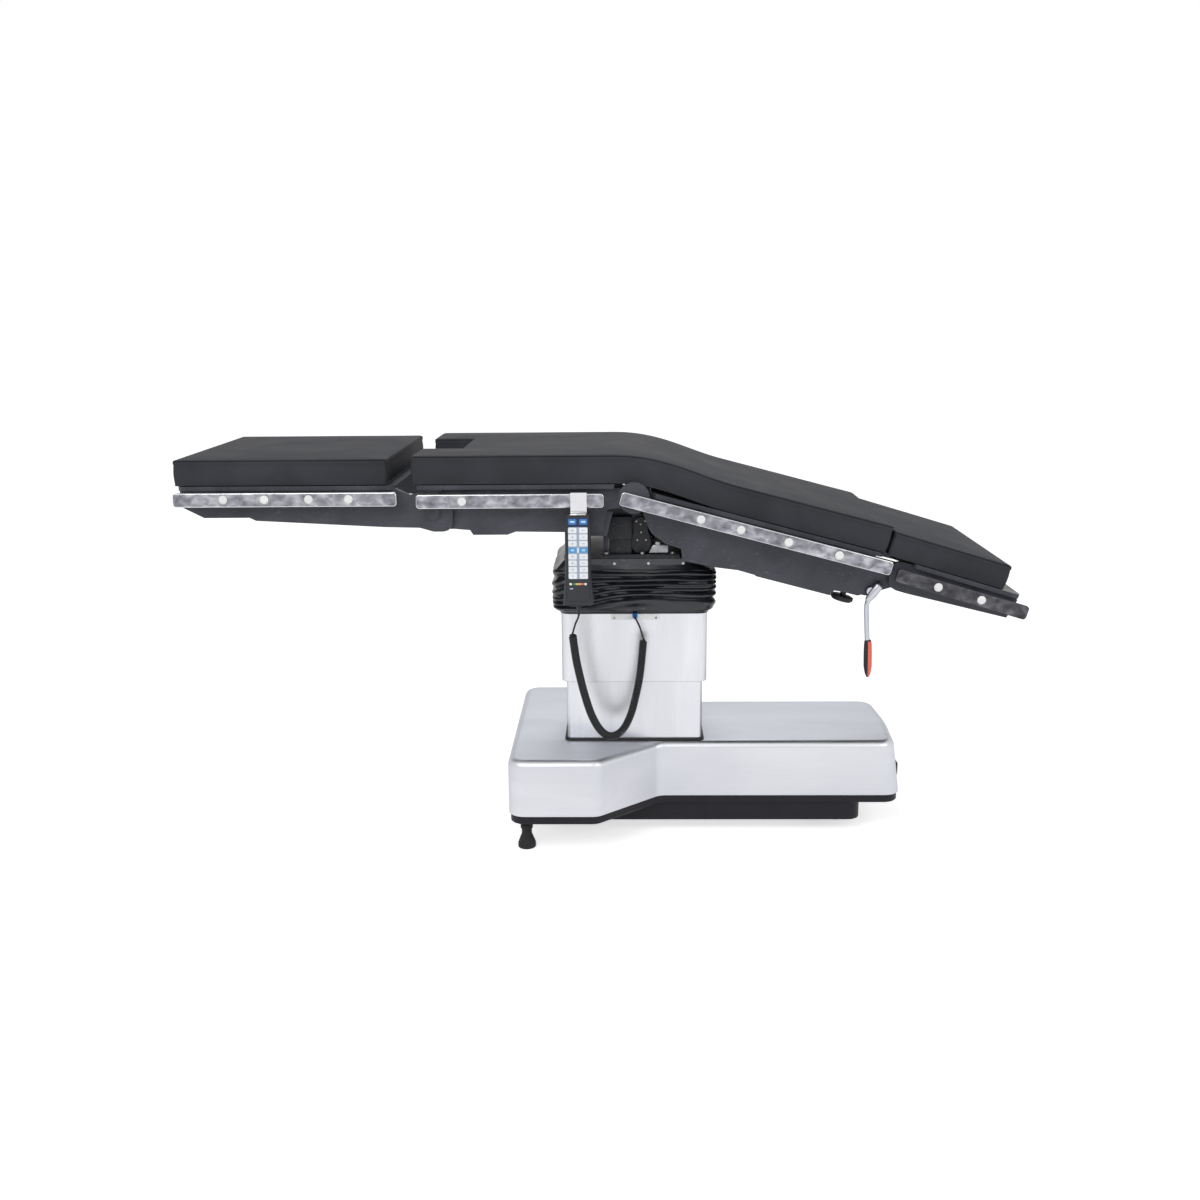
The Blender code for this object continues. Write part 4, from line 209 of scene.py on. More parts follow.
class Sheet:
    """A material's node tree, with short ways to add and join nodes."""

    def __init__(self, name: str, colour: Point, roughness: float, metallic: float = 0.0) -> None:
        """Start a Principled material.

        Args:
            name: the material's name.
            colour: its base colour, linear.
            roughness: its roughness.
            metallic: 1 for bare metal.
        """
        self.material = bpy.data.materials.new(name)
        self.material.use_nodes = True
        self.tree = self.material.node_tree
        self.shader = self.tree.nodes["Principled BSDF"]
        self.set("Base Color", (*colour, 1))
        self.set("Roughness", roughness)
        self.set("Metallic", metallic)
        self.material.diffuse_color = (*colour, 1)
        self.place = self.tree.nodes.new("ShaderNodeTexCoord").outputs["Object"]

    def add(self, kind: str, **inputs: object) -> bpy.types.Node:
        """Add a node and set or link its inputs, by name with _ for a space."""
        return add_node(self.tree, kind, inputs)

    def set(self, name: str, value: object) -> None:
        """Set one of the shader's inputs."""
        self.shader.inputs[name].default_value = value

    def feed(self, name: str, source: Socket) -> None:
        """Link a socket to one of the shader's inputs."""
        self.tree.links.new(source, self.shader.inputs[name])

    def stretched(self, scale: Point) -> Socket:
        """Object coordinates, scaled by axis."""
        return self.add("ShaderNodeMapping", Vector=self.place, Scale=scale).outputs["Vector"]

    def clouds(self, scale: float, detail: float = 4.0, place: Socket | None = None,
               distortion: float = 0.0) -> Socket:
        """Add a noise pattern.

        Args:
            scale: how fine it is.
            detail: how many finer layers it has.
            place: coordinates other than the object's own.
            distortion: how far it is warped.

        Returns:
            Its value, from 0 to 1.
        """
        node = self.add("ShaderNodeTexNoise", Vector=place or self.place, Scale=scale, Detail=detail,
                        Distortion=distortion)
        return node.outputs["Fac"]

    def ramp(self, source: Socket, stops: Sequence[tuple[float, Point]]) -> Socket:
        """Add a colour ramp.

        Args:
            source: the value that is mapped.
            stops: places from 0 to 1 and their colours.

        Returns:
            The colour.
        """
        node = self.add("ShaderNodeValToRGB", Fac=source)
        band = node.color_ramp
        while len(band.elements) < len(stops):
            band.elements.new(0.5)
        for element, (spot, colour) in zip(band.elements, stops):
            element.position = spot
            element.color = (*colour, 1)
        return node.outputs["Color"]

    def spread(self, source: Socket, low: float, high: float) -> Socket:
        """Map a noise value between two others.

        Args:
            source: the noise.
            low: the value at its low end.
            high: the value at its high end.

        Returns:
            The mapped value.
        """
        node = self.add("ShaderNodeMapRange", Value=source, From_Min=NOISE_LOW, From_Max=NOISE_HIGH, To_Min=low,
                        To_Max=high)
        return node.outputs["Result"]

    def bump(self, source: Socket, strength: float, distance: float,
             below: Socket | None = None) -> Socket:
        """Add a bump.

        Args:
            source: the height.
            strength: how strongly it shows.
            distance: how high it is.
            below: a normal that it lies on, where there is one.

        Returns:
            The normal.
        """
        node = self.add("ShaderNodeBump", Height=source, Strength=strength, Distance=distance)
        if below:
            self.tree.links.new(below, node.inputs["Normal"])
        return node.outputs["Normal"]

    def mixed(self, way: Blend, share: Socket, tone: Socket, colour: Point) -> Socket:
        """Lay a plain colour over another.

        Args:
            way: how it is laid.
            share: how much of it shows.
            tone: the colour below.
            colour: the plain colour.

        Returns:
            The mixed colour.
        """
        node = self.add("ShaderNodeMix", Factor=share)
        node.data_type = "RGBA"
        node.blend_type = way.value
        self.tree.links.new(tone, node.inputs[MIX_FIRST])
        node.inputs[MIX_SECOND].default_value = (*colour, 1)
        return node.outputs[MIX_RESULT]


@dataclass(frozen=True)
class BrushedSteel:
    """Satin stainless sheet with fine rubbing marks and faint smears, darker where it turns away."""

    name: str
    colour: Point = (0.62, 0.63, 0.66)
    roughness: float = 0.30
    grain: Grain = Grain.ALONG_X
    edge: Point = (0.74, 0.76, 0.80)
    depth: float = 0.015
    smear: Point = (0.68, 0.69, 0.73)
    smear_share: float = 0.30
    stretch: float = 0.35

    def make(self) -> Material:
        """Build the material.

        Returns:
            The material.
        """
        sheet = Sheet(self.name, self.colour, self.roughness, 1.0)
        fine, wide = self.grain.value
        marks = sheet.clouds(1.0, 3.0, sheet.stretched(fine))
        smears = sheet.clouds(1.0, 5.0, sheet.stretched(wide), 0.5)
        tone = sheet.ramp(marks, [(0.30, shaded(self.colour, 0.975)),
                                  (0.70, [min(1.0, channel * 1.02) for channel in self.colour])])
        wash = sheet.mixed(Blend.DARKEN, sheet.spread(smears, 0.0, self.smear_share), tone, self.smear)
        sheet.feed("Base Color", wash)
        sheet.feed("Roughness", sheet.spread(smears, self.roughness - 0.05, self.roughness + 0.09))
        sheet.feed("Normal", sheet.bump(marks, self.depth, 0.0002))
        sheet.set("Specular Tint", (*self.edge, 1))
        sheet.set("Anisotropic", self.stretch)
        return sheet.material


@dataclass(frozen=True)
class MottledSteel:
    """Rail steel, scuffed by clamps into soft light and dark patches along its length."""

    name: str
    shade: float = 1.0
    tones: tuple[tuple[float, Point], ...] = ((0.30, (0.13, 0.13, 0.15)), (0.50, (0.26, 0.26, 0.285)),
                                              (0.70, (0.48, 0.48, 0.51)))
    scuff: Point = (0.54, 0.54, 0.56)
    scuff_share: float = 0.75
    edge: Point = (0.8, 0.8, 0.84)

    def make(self) -> Material:
        """Build the material.

        Returns:
            The material.
        """
        sheet = Sheet(self.name, (0.3, 0.3, 0.32), 0.30, 1.0)
        patches = sheet.clouds(1.0, 8.0, sheet.stretched((42.0, 60.0, 60.0)), 0.35)
        scuffs = sheet.clouds(1.0, 5.0, sheet.stretched((110.0, 330.0, 330.0)), 0.5)
        tone = sheet.ramp(patches, [(stop, shaded(colour, self.shade)) for stop, colour in self.tones])
        worn = sheet.mixed(Blend.CONTRAST, sheet.spread(scuffs, 0.0, self.scuff_share), tone, self.scuff)
        sheet.feed("Base Color", worn)
        sheet.feed("Roughness", sheet.spread(patches, 0.42, 0.24))
        sheet.feed("Normal", sheet.bump(scuffs, 0.15, 0.0003))
        sheet.set("Specular Tint", (*self.edge, 1))
        return sheet.material


@dataclass(frozen=True)
class Enamel:
    """Dark frame finish with faint stains and pale scratches."""

    name: str
    colour: Point = (0.052, 0.054, 0.066)
    roughness: float = 0.42
    scratches: float = 0.35
    gloss: float = 0.30
    scratch: Point = (0.20, 0.20, 0.22)

    def make(self) -> Material:
        """Build the material.

        Returns:
            The material.
        """
        sheet = Sheet(self.name, self.colour, self.roughness)
        stains = sheet.clouds(9.0, 6.0, None, 0.8)
        pores = sheet.clouds(900.0, 2.0)
        light = shaded(self.colour, 1.45)
        deep = shaded(self.colour, 0.74)
        tone = sheet.ramp(stains, [(0.32, deep), (0.5, self.colour), (0.72, light)])
        scores = sheet.clouds(1.0, 8.0, sheet.stretched((70.0, 70.0, 190.0)), 1.6)
        marks = sheet.ramp(scores, [(0.635, (0.0, 0.0, 0.0)), (0.70, (self.scratches,) * 3)])
        sheet.feed("Base Color", sheet.mixed(Blend.COVER, marks, tone, self.scratch))
        sheet.feed("Roughness", sheet.spread(stains, self.roughness - 0.08, self.roughness + 0.10))
        sheet.feed("Normal", sheet.bump(pores, 0.10, 0.0002))
        sheet.set("Specular IOR Level", self.gloss)
        return sheet.material


@dataclass(frozen=True)
class Vinyl:
    """Coated pad cloth: a fine pressed grain and soft pressure marks."""

    name: str
    colour: Point = (0.046, 0.047, 0.054)
    gloss: float = 0.02

    def make(self) -> Material:
        """Build the material.

        Returns:
            The material.
        """
        sheet = Sheet(self.name, self.colour, 0.5)
        cells = sheet.add("ShaderNodeTexVoronoi", Vector=sheet.place, Scale=1300.0)
        marks = sheet.clouds(7.0, 4.0, None, 0.5)
        light = shaded(self.colour, 1.16)
        deep = shaded(self.colour, 0.88)
        sheet.feed("Base Color", sheet.ramp(marks, [(0.35, deep), (0.65, light)]))
        sheet.feed("Roughness", sheet.spread(marks, 0.46, 0.58))
        soft = sheet.bump(sheet.clouds(26.0, 3.0), 0.10, 0.002)
        sheet.feed("Normal", sheet.bump(cells.outputs["Distance"], 0.16, 0.0003, soft))
        sheet.set("Specular IOR Level", self.gloss)
        return sheet.material


@dataclass(frozen=True)
class Moulded:
    """Moulded plastic or rubber with a fine texture."""

    name: str
    colour: Point
    roughness: float = 0.45
    texture: float = 700.0
    depth: float = 0.12
    gloss: float = 0.35

    def make(self) -> Material:
        """Build the material.

        Returns:
            The material.
        """
        sheet = Sheet(self.name, self.colour, self.roughness)
        skin = sheet.clouds(self.texture, 3.0)
        dust = sheet.clouds(14.0, 5.0, None, 0.4)
        light = [min(1.0, channel * 1.12 + 0.003) for channel in self.colour]
        sheet.feed("Base Color", sheet.ramp(dust, [(0.35, self.colour), (0.7, light)]))
        sheet.feed("Roughness", sheet.spread(dust, self.roughness - 0.04, self.roughness + 0.06))
        sheet.feed("Normal", sheet.bump(skin, self.depth, 0.0003))
        sheet.set("Specular IOR Level", self.gloss)
        return sheet.material


@dataclass(frozen=True)
class Plated:
    """Zinc-plated or cast metal with cloudy variation."""

    name: str
    colour: Point = (0.34, 0.345, 0.36)
    roughness: float = 0.42

    def make(self) -> Material:
        """Build the material.

        Returns:
            The material.
        """
        sheet = Sheet(self.name, self.colour, self.roughness, 0.9)
        clouds = sheet.clouds(28.0, 5.0, None, 0.5)
        light = shaded(self.colour, 1.3)
        deep = shaded(self.colour, 0.7)
        sheet.feed("Base Color", sheet.ramp(clouds, [(0.3, deep), (0.7, light)]))
        sheet.feed("Roughness", sheet.spread(clouds, self.roughness - 0.08, self.roughness + 0.12))
        sheet.feed("Normal", sheet.bump(sheet.clouds(420.0, 3.0), 0.15, 0.0003))
        return sheet.material


class Finishes:
    """Every finish of the table, made once."""

    def __init__(self) -> None:
        """Build the materials."""
        self.shell = BrushedSteel("shell_steel", roughness=0.38).make()
        self.column = BrushedSteel("column_steel", (0.66, 0.665, 0.69), 0.28, Grain.UPRIGHT,
                                   (0.30, 0.30, 0.33)).make()
        self.rail = MottledSteel("rail_steel").make()
        # The head rails take the rail steel at 0.28 of its brightness: painted shade on the tilted head section.
        self.shaded_head_rail = MottledSteel("head_shaded_rail_steel", 0.28).make()
        self.lever = BrushedSteel("lever_chrome", (0.50, 0.51, 0.55), 0.17, Grain.ROUND, (0.16, 0.16, 0.19)).make()
        self.bright = BrushedSteel("bright_steel", (0.74, 0.74, 0.76), 0.18, Grain.ROUND, (0.7, 0.7, 0.7)).make()
        self.frame = Enamel("frame_enamel").make()
        # A darker copy of the frame enamel: painted shade for the pieces under the table top round the tilt joint.
        self.deep = Enamel("joint_enamel_painted_shade", (0.02, 0.021, 0.026), 0.46, 0.55).make()
        # A lighter copy of the frame enamel: painted light on the band, which lies in the shade of the seat frame
        # above.
        self.band = Enamel("band_enamel_painted_light", (0.075, 0.077, 0.085), 0.40, 0.6).make()
        self.cover = Moulded("cover_plastic", (0.022, 0.024, 0.03), 0.48).make()
        self.black = Moulded("black_plastic", (0.01, 0.01, 0.013), 0.38).make()
        self.housing = Moulded("housing_plastic", (0.01, 0.01, 0.014), 0.46, 260.0, gloss=0.22).make()
        self.rubber = Moulded("tread_rubber", (0.012, 0.012, 0.014), 0.66, 180.0, 0.3).make()
        self.boot = Moulded("boot_rubber", (0.0075, 0.0092, 0.013), 0.31, 420.0, 0.05, 0.55).make()
        self.cable = Moulded("cable_rubber", (0.008, 0.009, 0.012), 0.40, 500.0).make()
        self.vinyl = Vinyl("pad_vinyl").make()
        self.welt = Vinyl("pad_welt", (0.02, 0.021, 0.025)).make()
        self.plated = Plated("plated_steel").make()
        self.dark_metal = Plated("darkened_steel", (0.045, 0.045, 0.055), 0.42).make()
        self.white = Moulded("white_plastic", (0.80, 0.80, 0.80), 0.35).make()
        self.key_white = Moulded("key_white", (0.78, 0.80, 0.84), 0.40, 300.0, 0.05).make()
        self.key_navy = Moulded("key_navy", (0.04, 0.17, 0.46), 0.38, 300.0, 0.05).make()
        self.key_sky = Moulded("key_sky", (0.105, 0.32, 0.63), 0.38, 300.0, 0.05).make()
        self.glow = Moulded("key_glow", (0.45, 0.68, 0.90), 0.38, 300.0, 0.05).make()
        self.panel = Moulded("panel_film", (0.34, 0.40, 0.49), 0.35, 300.0, 0.05).make()
        self.navy = Moulded("panel_navy", (0.014, 0.022, 0.075), 0.35, 300.0, 0.05).make()
        self.mark = Moulded("key_mark", (0.42, 0.45, 0.52), 0.4, 300.0, 0.05).make()
        self.blue = Moulded("blue_plastic", (0.012, 0.14, 0.42), 0.32).make()
        self.red = Moulded("grip_red", (0.78, 0.14, 0.10), 0.36).make()
        self.lamp_green = Moulded("lamp_green", (0.09, 0.30, 0.11), 0.25).make()
        self.lamp_yellow = Moulded("lamp_yellow", (0.62, 0.52, 0.16), 0.25).make()
        self.lamp_orange = Moulded("lamp_orange", (0.80, 0.42, 0.16), 0.25).make()


def linked(name: str, data: bpy.types.ID) -> Piece:
    """A new object in the scene, with its data."""
    obj = bpy.data.objects.new(name, data)
    bpy.context.scene.collection.objects.link(obj)
    return obj


def solid(name: str, cage: Cage, finish: Material, smooth: float = 35.0) -> Piece:
    """An object at the origin from a bmesh, with its normals out.

    Args:
        name: the piece's name.
        cage: the shape, which is freed.
        finish: its material.
        smooth: the angle in degrees above which an edge stays sharp.

    Returns:
        The object.
    """
    bmesh.ops.recalc_face_normals(cage, faces=cage.faces)
    mesh = bpy.data.meshes.new(name)
    cage.to_mesh(mesh)
    cage.free()
    mesh.materials.append(finish)
    mesh.shade_smooth()
    mesh.set_sharp_from_angle(angle=math.radians(smooth))
    return linked(name, mesh)


def settled(obj: Piece, name: str) -> Piece:
    """Turn an object with modifiers into a plain mesh object.

    Args:
        obj: the object, which is removed.
        name: the new object's name.

    Returns:
        The plain object.
    """
    bpy.context.view_layer.update()
    graph = bpy.context.evaluated_depsgraph_get()
    mesh = bpy.data.meshes.new_from_object(obj.evaluated_get(graph))
    bpy.data.objects.remove(obj, do_unlink=True)
    mesh.name = name
    return linked(name, mesh)


def skin(rings: Sequence[Ring], closed: bool = False, cage: Cage | None = None) -> Cage:
    """Lay quads over rings of like counts.

    Args:
        rings: the rings, in order.
        closed: whether the last ring joins the first, instead of a cap at each end.
        cage: a shape that gets the faces, or None for a new one.

    Returns:
        The shape.
    """
    cage = cage or bmesh.new()
    loops = [[cage.verts.new(point) for point in ring] for ring in rings]
    if not closed:
        cage.faces.new(loops[0])
        cage.faces.new(loops[-1])
    strips(cage, [*loops, loops[0]] if closed else loops)
    return cage


def strips(cage: Cage, loops: Sequence[Sequence[Corner]]) -> None:
    """Lay quads between each loop of vertices and the next.

    Args:
        cage: the shape that gets the faces.
        loops: the loops, in order.
    """
    for low, high in zip(loops, loops[1:]):
        for i in range(len(low)):
            j = (i + 1) % len(low)
            cage.faces.new((low[i], low[j], high[j], high[i]))


def circle(centre: Vector, side: Vector, other: Vector, radius: float, steps: int) -> Ring:
    """Points round a centre.

    Args:
        centre: the circle's middle.
        side: the direction of the first point.
        other: the direction of the point a quarter turn on.
        radius: the circle's radius.
        steps: how many points it has.

    Returns:
        The ring.
    """
    turns = [2 * math.pi * k / steps for k in range(steps)]
    return [centre + (side * math.cos(t) + other * math.sin(t)) * radius for t in turns]


def turned(profile: Sequence[Pair], start: Vector, along: Vector, steps: int = 32,
           cage: Cage | None = None) -> Cage:
    """Turn a profile about an axis.

    Args:
        profile: radii and distances down the axis.
        start: the axis's start.
        along: its direction.
        steps: the sides of the round.
        cage: a shape that gets the body, or None for a new one.

    Returns:
        The shape.
    """
    along = along.normalized()
    side = along.orthogonal().normalized()
    other = along.cross(side)
    rings = [circle(start + along * distance, side, other, max(radius, LEAST_RADIUS), steps)
             for radius, distance in profile]
    return skin(rings, cage=cage)


def arcs(corners: Sequence[Triple], steps: int) -> Outline:
    """Round an outline's corners.

    Args:
        corners: each corner's place and radius.
        steps: the straight pieces in an arc.

    Returns:
        The outline's points.
    """
    outline = []
    for i, (x, y, radius) in enumerate(corners):
        here = Vector((x, y))
        before = Vector(corners[i - 1][:2]) - here
        after = Vector(corners[(i + 1) % len(corners)][:2]) - here
        half = before.angle(after) / 2
        reach = min(radius / math.tan(half), before.length * ARC_SHARE, after.length * ARC_SHARE)
        if reach < LEAST_ARC:
            outline.append((x, y))
            continue
        start = here + before.normalized() * reach
        end = here + after.normalized() * reach
        centre = here + (before.normalized() + after.normalized()).normalized() * reach / math.cos(half)
        swing = (start - centre).angle_signed(end - centre)
        for k in range(steps + 1):
            spoke = (start - centre).copy()
            spoke.rotate(Matrix.Rotation(-swing * k / steps, 2))
            outline.append(tuple(centre + spoke))
    return outline


def rectangle(low: Pair, high: Pair, radius: float, steps: int) -> Outline:
    """A rectangle with round corners.

    Args:
        low: its corner with the least coordinates.
        high: the corner across from it.
        radius: the corners' radius.
        steps: the straight pieces in a corner.

    Returns:
        The outline.
    """
    (x0, y0), (x1, y1) = low, high
    return arcs([(x0, y0, radius), (x1, y0, radius), (x1, y1, radius), (x0, y1, radius)], steps)


def rounded_box(low: Point, high: Point, radius: float, segments: int = 3) -> Cage:
    """A block with rounded edges.

    Args:
        low: its corner with the least coordinates.
        high: the corner across from it.
        radius: its edges' radius.
        segments: the straight pieces round an edge.

    Returns:
        The shape.
    """
    cage = bmesh.new()
    bmesh.ops.create_cube(cage, size=1)
    size = [b - a for a, b in zip(low, high)]
    middle = [(a + b) / 2 for a, b in zip(low, high)]
    cage.transform(Matrix.Translation(middle) @ Matrix.Diagonal((*size, 1)))
    bmesh.ops.bevel(cage, geom=cage.edges[:], offset=radius, segments=segments, profile=0.5, affect="EDGES")
    return cage


def tube(points: Sequence[Vector], radius: float, sides: int = 10) -> Cage:
    """Lay a round wire through points, with its rings turned as little as may be.

    Args:
        points: the wire's middle line.
        radius: its radius.
        sides: the sides of the round.

    Returns:
        The shape.
    """
    rings: list[Ring] = []
    side = (points[1] - points[0]).orthogonal().normalized()
    for i, point in enumerate(points):
        before = points[max(i - 1, 0)]
        after = points[min(i + 1, len(points) - 1)]
        along = (after - before).normalized()
        side = (side - along * side.dot(along)).normalized()
        rings.append(circle(point, side, along.cross(side), radius, sides))
    return skin(rings)


def smooth_route(points: Sequence[Vector], steps: int) -> list[Vector]:
    """Curve a route as it passes each of its points.

    Args:
        points: the points.
        steps: the straight pieces between two of them.

    Returns:
        The finer route.
    """
    ends = [points[0] * 2 - points[1], *points, points[-1] * 2 - points[-2]]
    route = []
    for a, b, c, d in zip(ends, ends[1:], ends[2:], ends[3:]):
        for k in range(steps):
            t = k / steps
            route.append((b * 2 + (c - a) * t + (a * 2 - b * 5 + c * 4 - d) * t * t
                          + (b * 3 - a - c * 3 + d) * t ** 3) / 2)
    return [*route, points[-1]]


class NodeTree:
    """A geometry tree that sets copies of a shape on points and makes them a plain mesh."""

    def __init__(self, name: str, sizes: Sequence[str]) -> None:
        """Start the tree.

        Args:
            name: the tree's name.
            sizes: its number inputs. The way that the copies face and their material follow them.
        """
        self.tree = bpy.data.node_groups.new(name, "GeometryNodeTree")
        self.tree.interface.new_socket("Geometry", in_out="INPUT", socket_type="NodeSocketGeometry")
        self.keys = {}
        kinds = {**dict.fromkeys(sizes, "NodeSocketFloat"), "Turn": "NodeSocketVector",
                 "Finish": "NodeSocketMaterial"}
        for label, kind in kinds.items():
            socket = self.tree.interface.new_socket(label, in_out="INPUT", socket_type=kind)
            self.keys[label] = socket.identifier
        self.tree.interface.new_socket("Geometry", in_out="OUTPUT", socket_type="NodeSocketGeometry")
        self.source = self.tree.nodes.new("NodeGroupInput")
        self.sink = self.tree.nodes.new("NodeGroupOutput")

    def add(self, kind: str, **inputs: object) -> bpy.types.Node:
        """Add a node and set or link its inputs, by name with _ for a space."""
        return add_node(self.tree, kind, inputs)

    def value(self, label: str) -> Socket:
        """One of the tree's inputs."""
        return self.source.outputs[label]

    def end(self, shape: Socket) -> None:
        """Close the tree: copy a shape to each point, make the copies real and set their material.

        Args:
            shape: the shape's mesh.
        """
        turn = self.add("FunctionNodeEulerToRotation", Euler=self.value("Turn"))
        copies = self.add("GeometryNodeInstanceOnPoints", Points=self.value("Geometry"), Instance=shape,
                          Rotation=turn.outputs["Rotation"])
        real = self.add("GeometryNodeRealizeInstances", Geometry=copies.outputs["Instances"])
        dressed = self.add("GeometryNodeSetMaterial", Geometry=real.outputs["Geometry"], Material=self.value("Finish"))
        self.tree.links.new(dressed.outputs["Geometry"], self.sink.inputs["Geometry"])

    def apply(self, name: str, points: Sequence[Vector], values: dict[str, object]) -> Piece:
        """Run the tree on loose points.

        Args:
            name: the new piece's name.
            points: where the copies go.
            values: the tree's inputs by name.

        Returns:
            A plain mesh object.
        """
        mesh = bpy.data.meshes.new(name)
        mesh.from_pydata([tuple(point) for point in points], [], [])
        holder = linked(f"{name}_points", mesh)
        step = holder.modifiers.new("copies", "NODES")
        step.node_group = self.tree
        for label, value in values.items():
            step[self.keys[label]] = value
        holder.update_tag()
        piece = settled(holder, name)
        piece.data.shade_smooth()
        piece.data.set_sharp_from_angle(angle=math.radians(40))
        return piece


class Fasteners:
    """Screw heads with sloped sides on the rails, the band and the plates."""

    top_share: ClassVar[float] = 0.72

    def __init__(self) -> None:
        """Build the tree of one screw head on each point."""
        self.nodes = NodeTree("screw_heads", ("Radius", "Height"))
        tree = self.nodes
        shrink = tree.add("ShaderNodeMath")
        shrink.operation = "MULTIPLY"
        tree.tree.links.new(tree.value("Radius"), shrink.inputs[0])
        shrink.inputs[1].default_value = self.top_share
        head = tree.add("GeometryNodeMeshCone", Vertices=24, Radius_Top=shrink.outputs[0],
                        Radius_Bottom=tree.value("Radius"), Depth=tree.value("Height"))
        tree.end(head.outputs["Mesh"])

    def put(self, name: str, points: Sequence[Vector], size: Pair, facing: Axis,
            finish: Material, body: str) -> None:
        """Make one body's screws.

        Args:
            name: the piece's name.
            points: the middle of each head's seat.
            size: its radius and height.
            facing: where the heads face.
            finish: their material.
            body: the body that they ride on.
        """
        radius, height = size
        values = {"Radius": radius, "Height": height, "Turn": facing.value, "Finish": finish}
        piece = self.nodes.apply(name, points, values)
        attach(piece, body)
        LOG.info("%s: %d heads", name, len(points))


class Plates:
    """Thin rounded plates, such as keys and lamps, set out on points of the hand control."""

    def __init__(self) -> None:
        """Build the tree of one rounded plate on each point."""
        self.nodes = NodeTree("rounded_plates", ("Width", "Length", "Corner", "Rise"))
        tree = self.nodes
        shape = tree.add("GeometryNodeCurvePrimitiveQuadrilateral", Width=tree.value("Width"),
                         Height=tree.value("Length"))
        soft = tree.add("GeometryNodeFilletCurve", Curve=shape.outputs["Curve"], Radius=tree.value("Corner"))
        soft.mode = "POLY"
        soft.inputs["Count"].default_value = 4
        face = tree.add("GeometryNodeFillCurve", Curve=soft.outputs["Curve"])
        face.mode = "NGONS"
        raised = tree.add("GeometryNodeExtrudeMesh", Mesh=face.outputs["Mesh"], Offset_Scale=tree.value("Rise"))
        under = tree.add("GeometryNodeFlipFaces", Mesh=face.outputs["Mesh"])
        both = tree.add("GeometryNodeJoinGeometry")
        tree.tree.links.new(raised.outputs["Mesh"], both.inputs["Geometry"])
        tree.tree.links.new(under.outputs["Mesh"], both.inputs["Geometry"])
        closed = tree.add("GeometryNodeMergeByDistance", Geometry=both.outputs["Geometry"], Distance=0.00002)
        tree.end(closed.outputs["Geometry"])


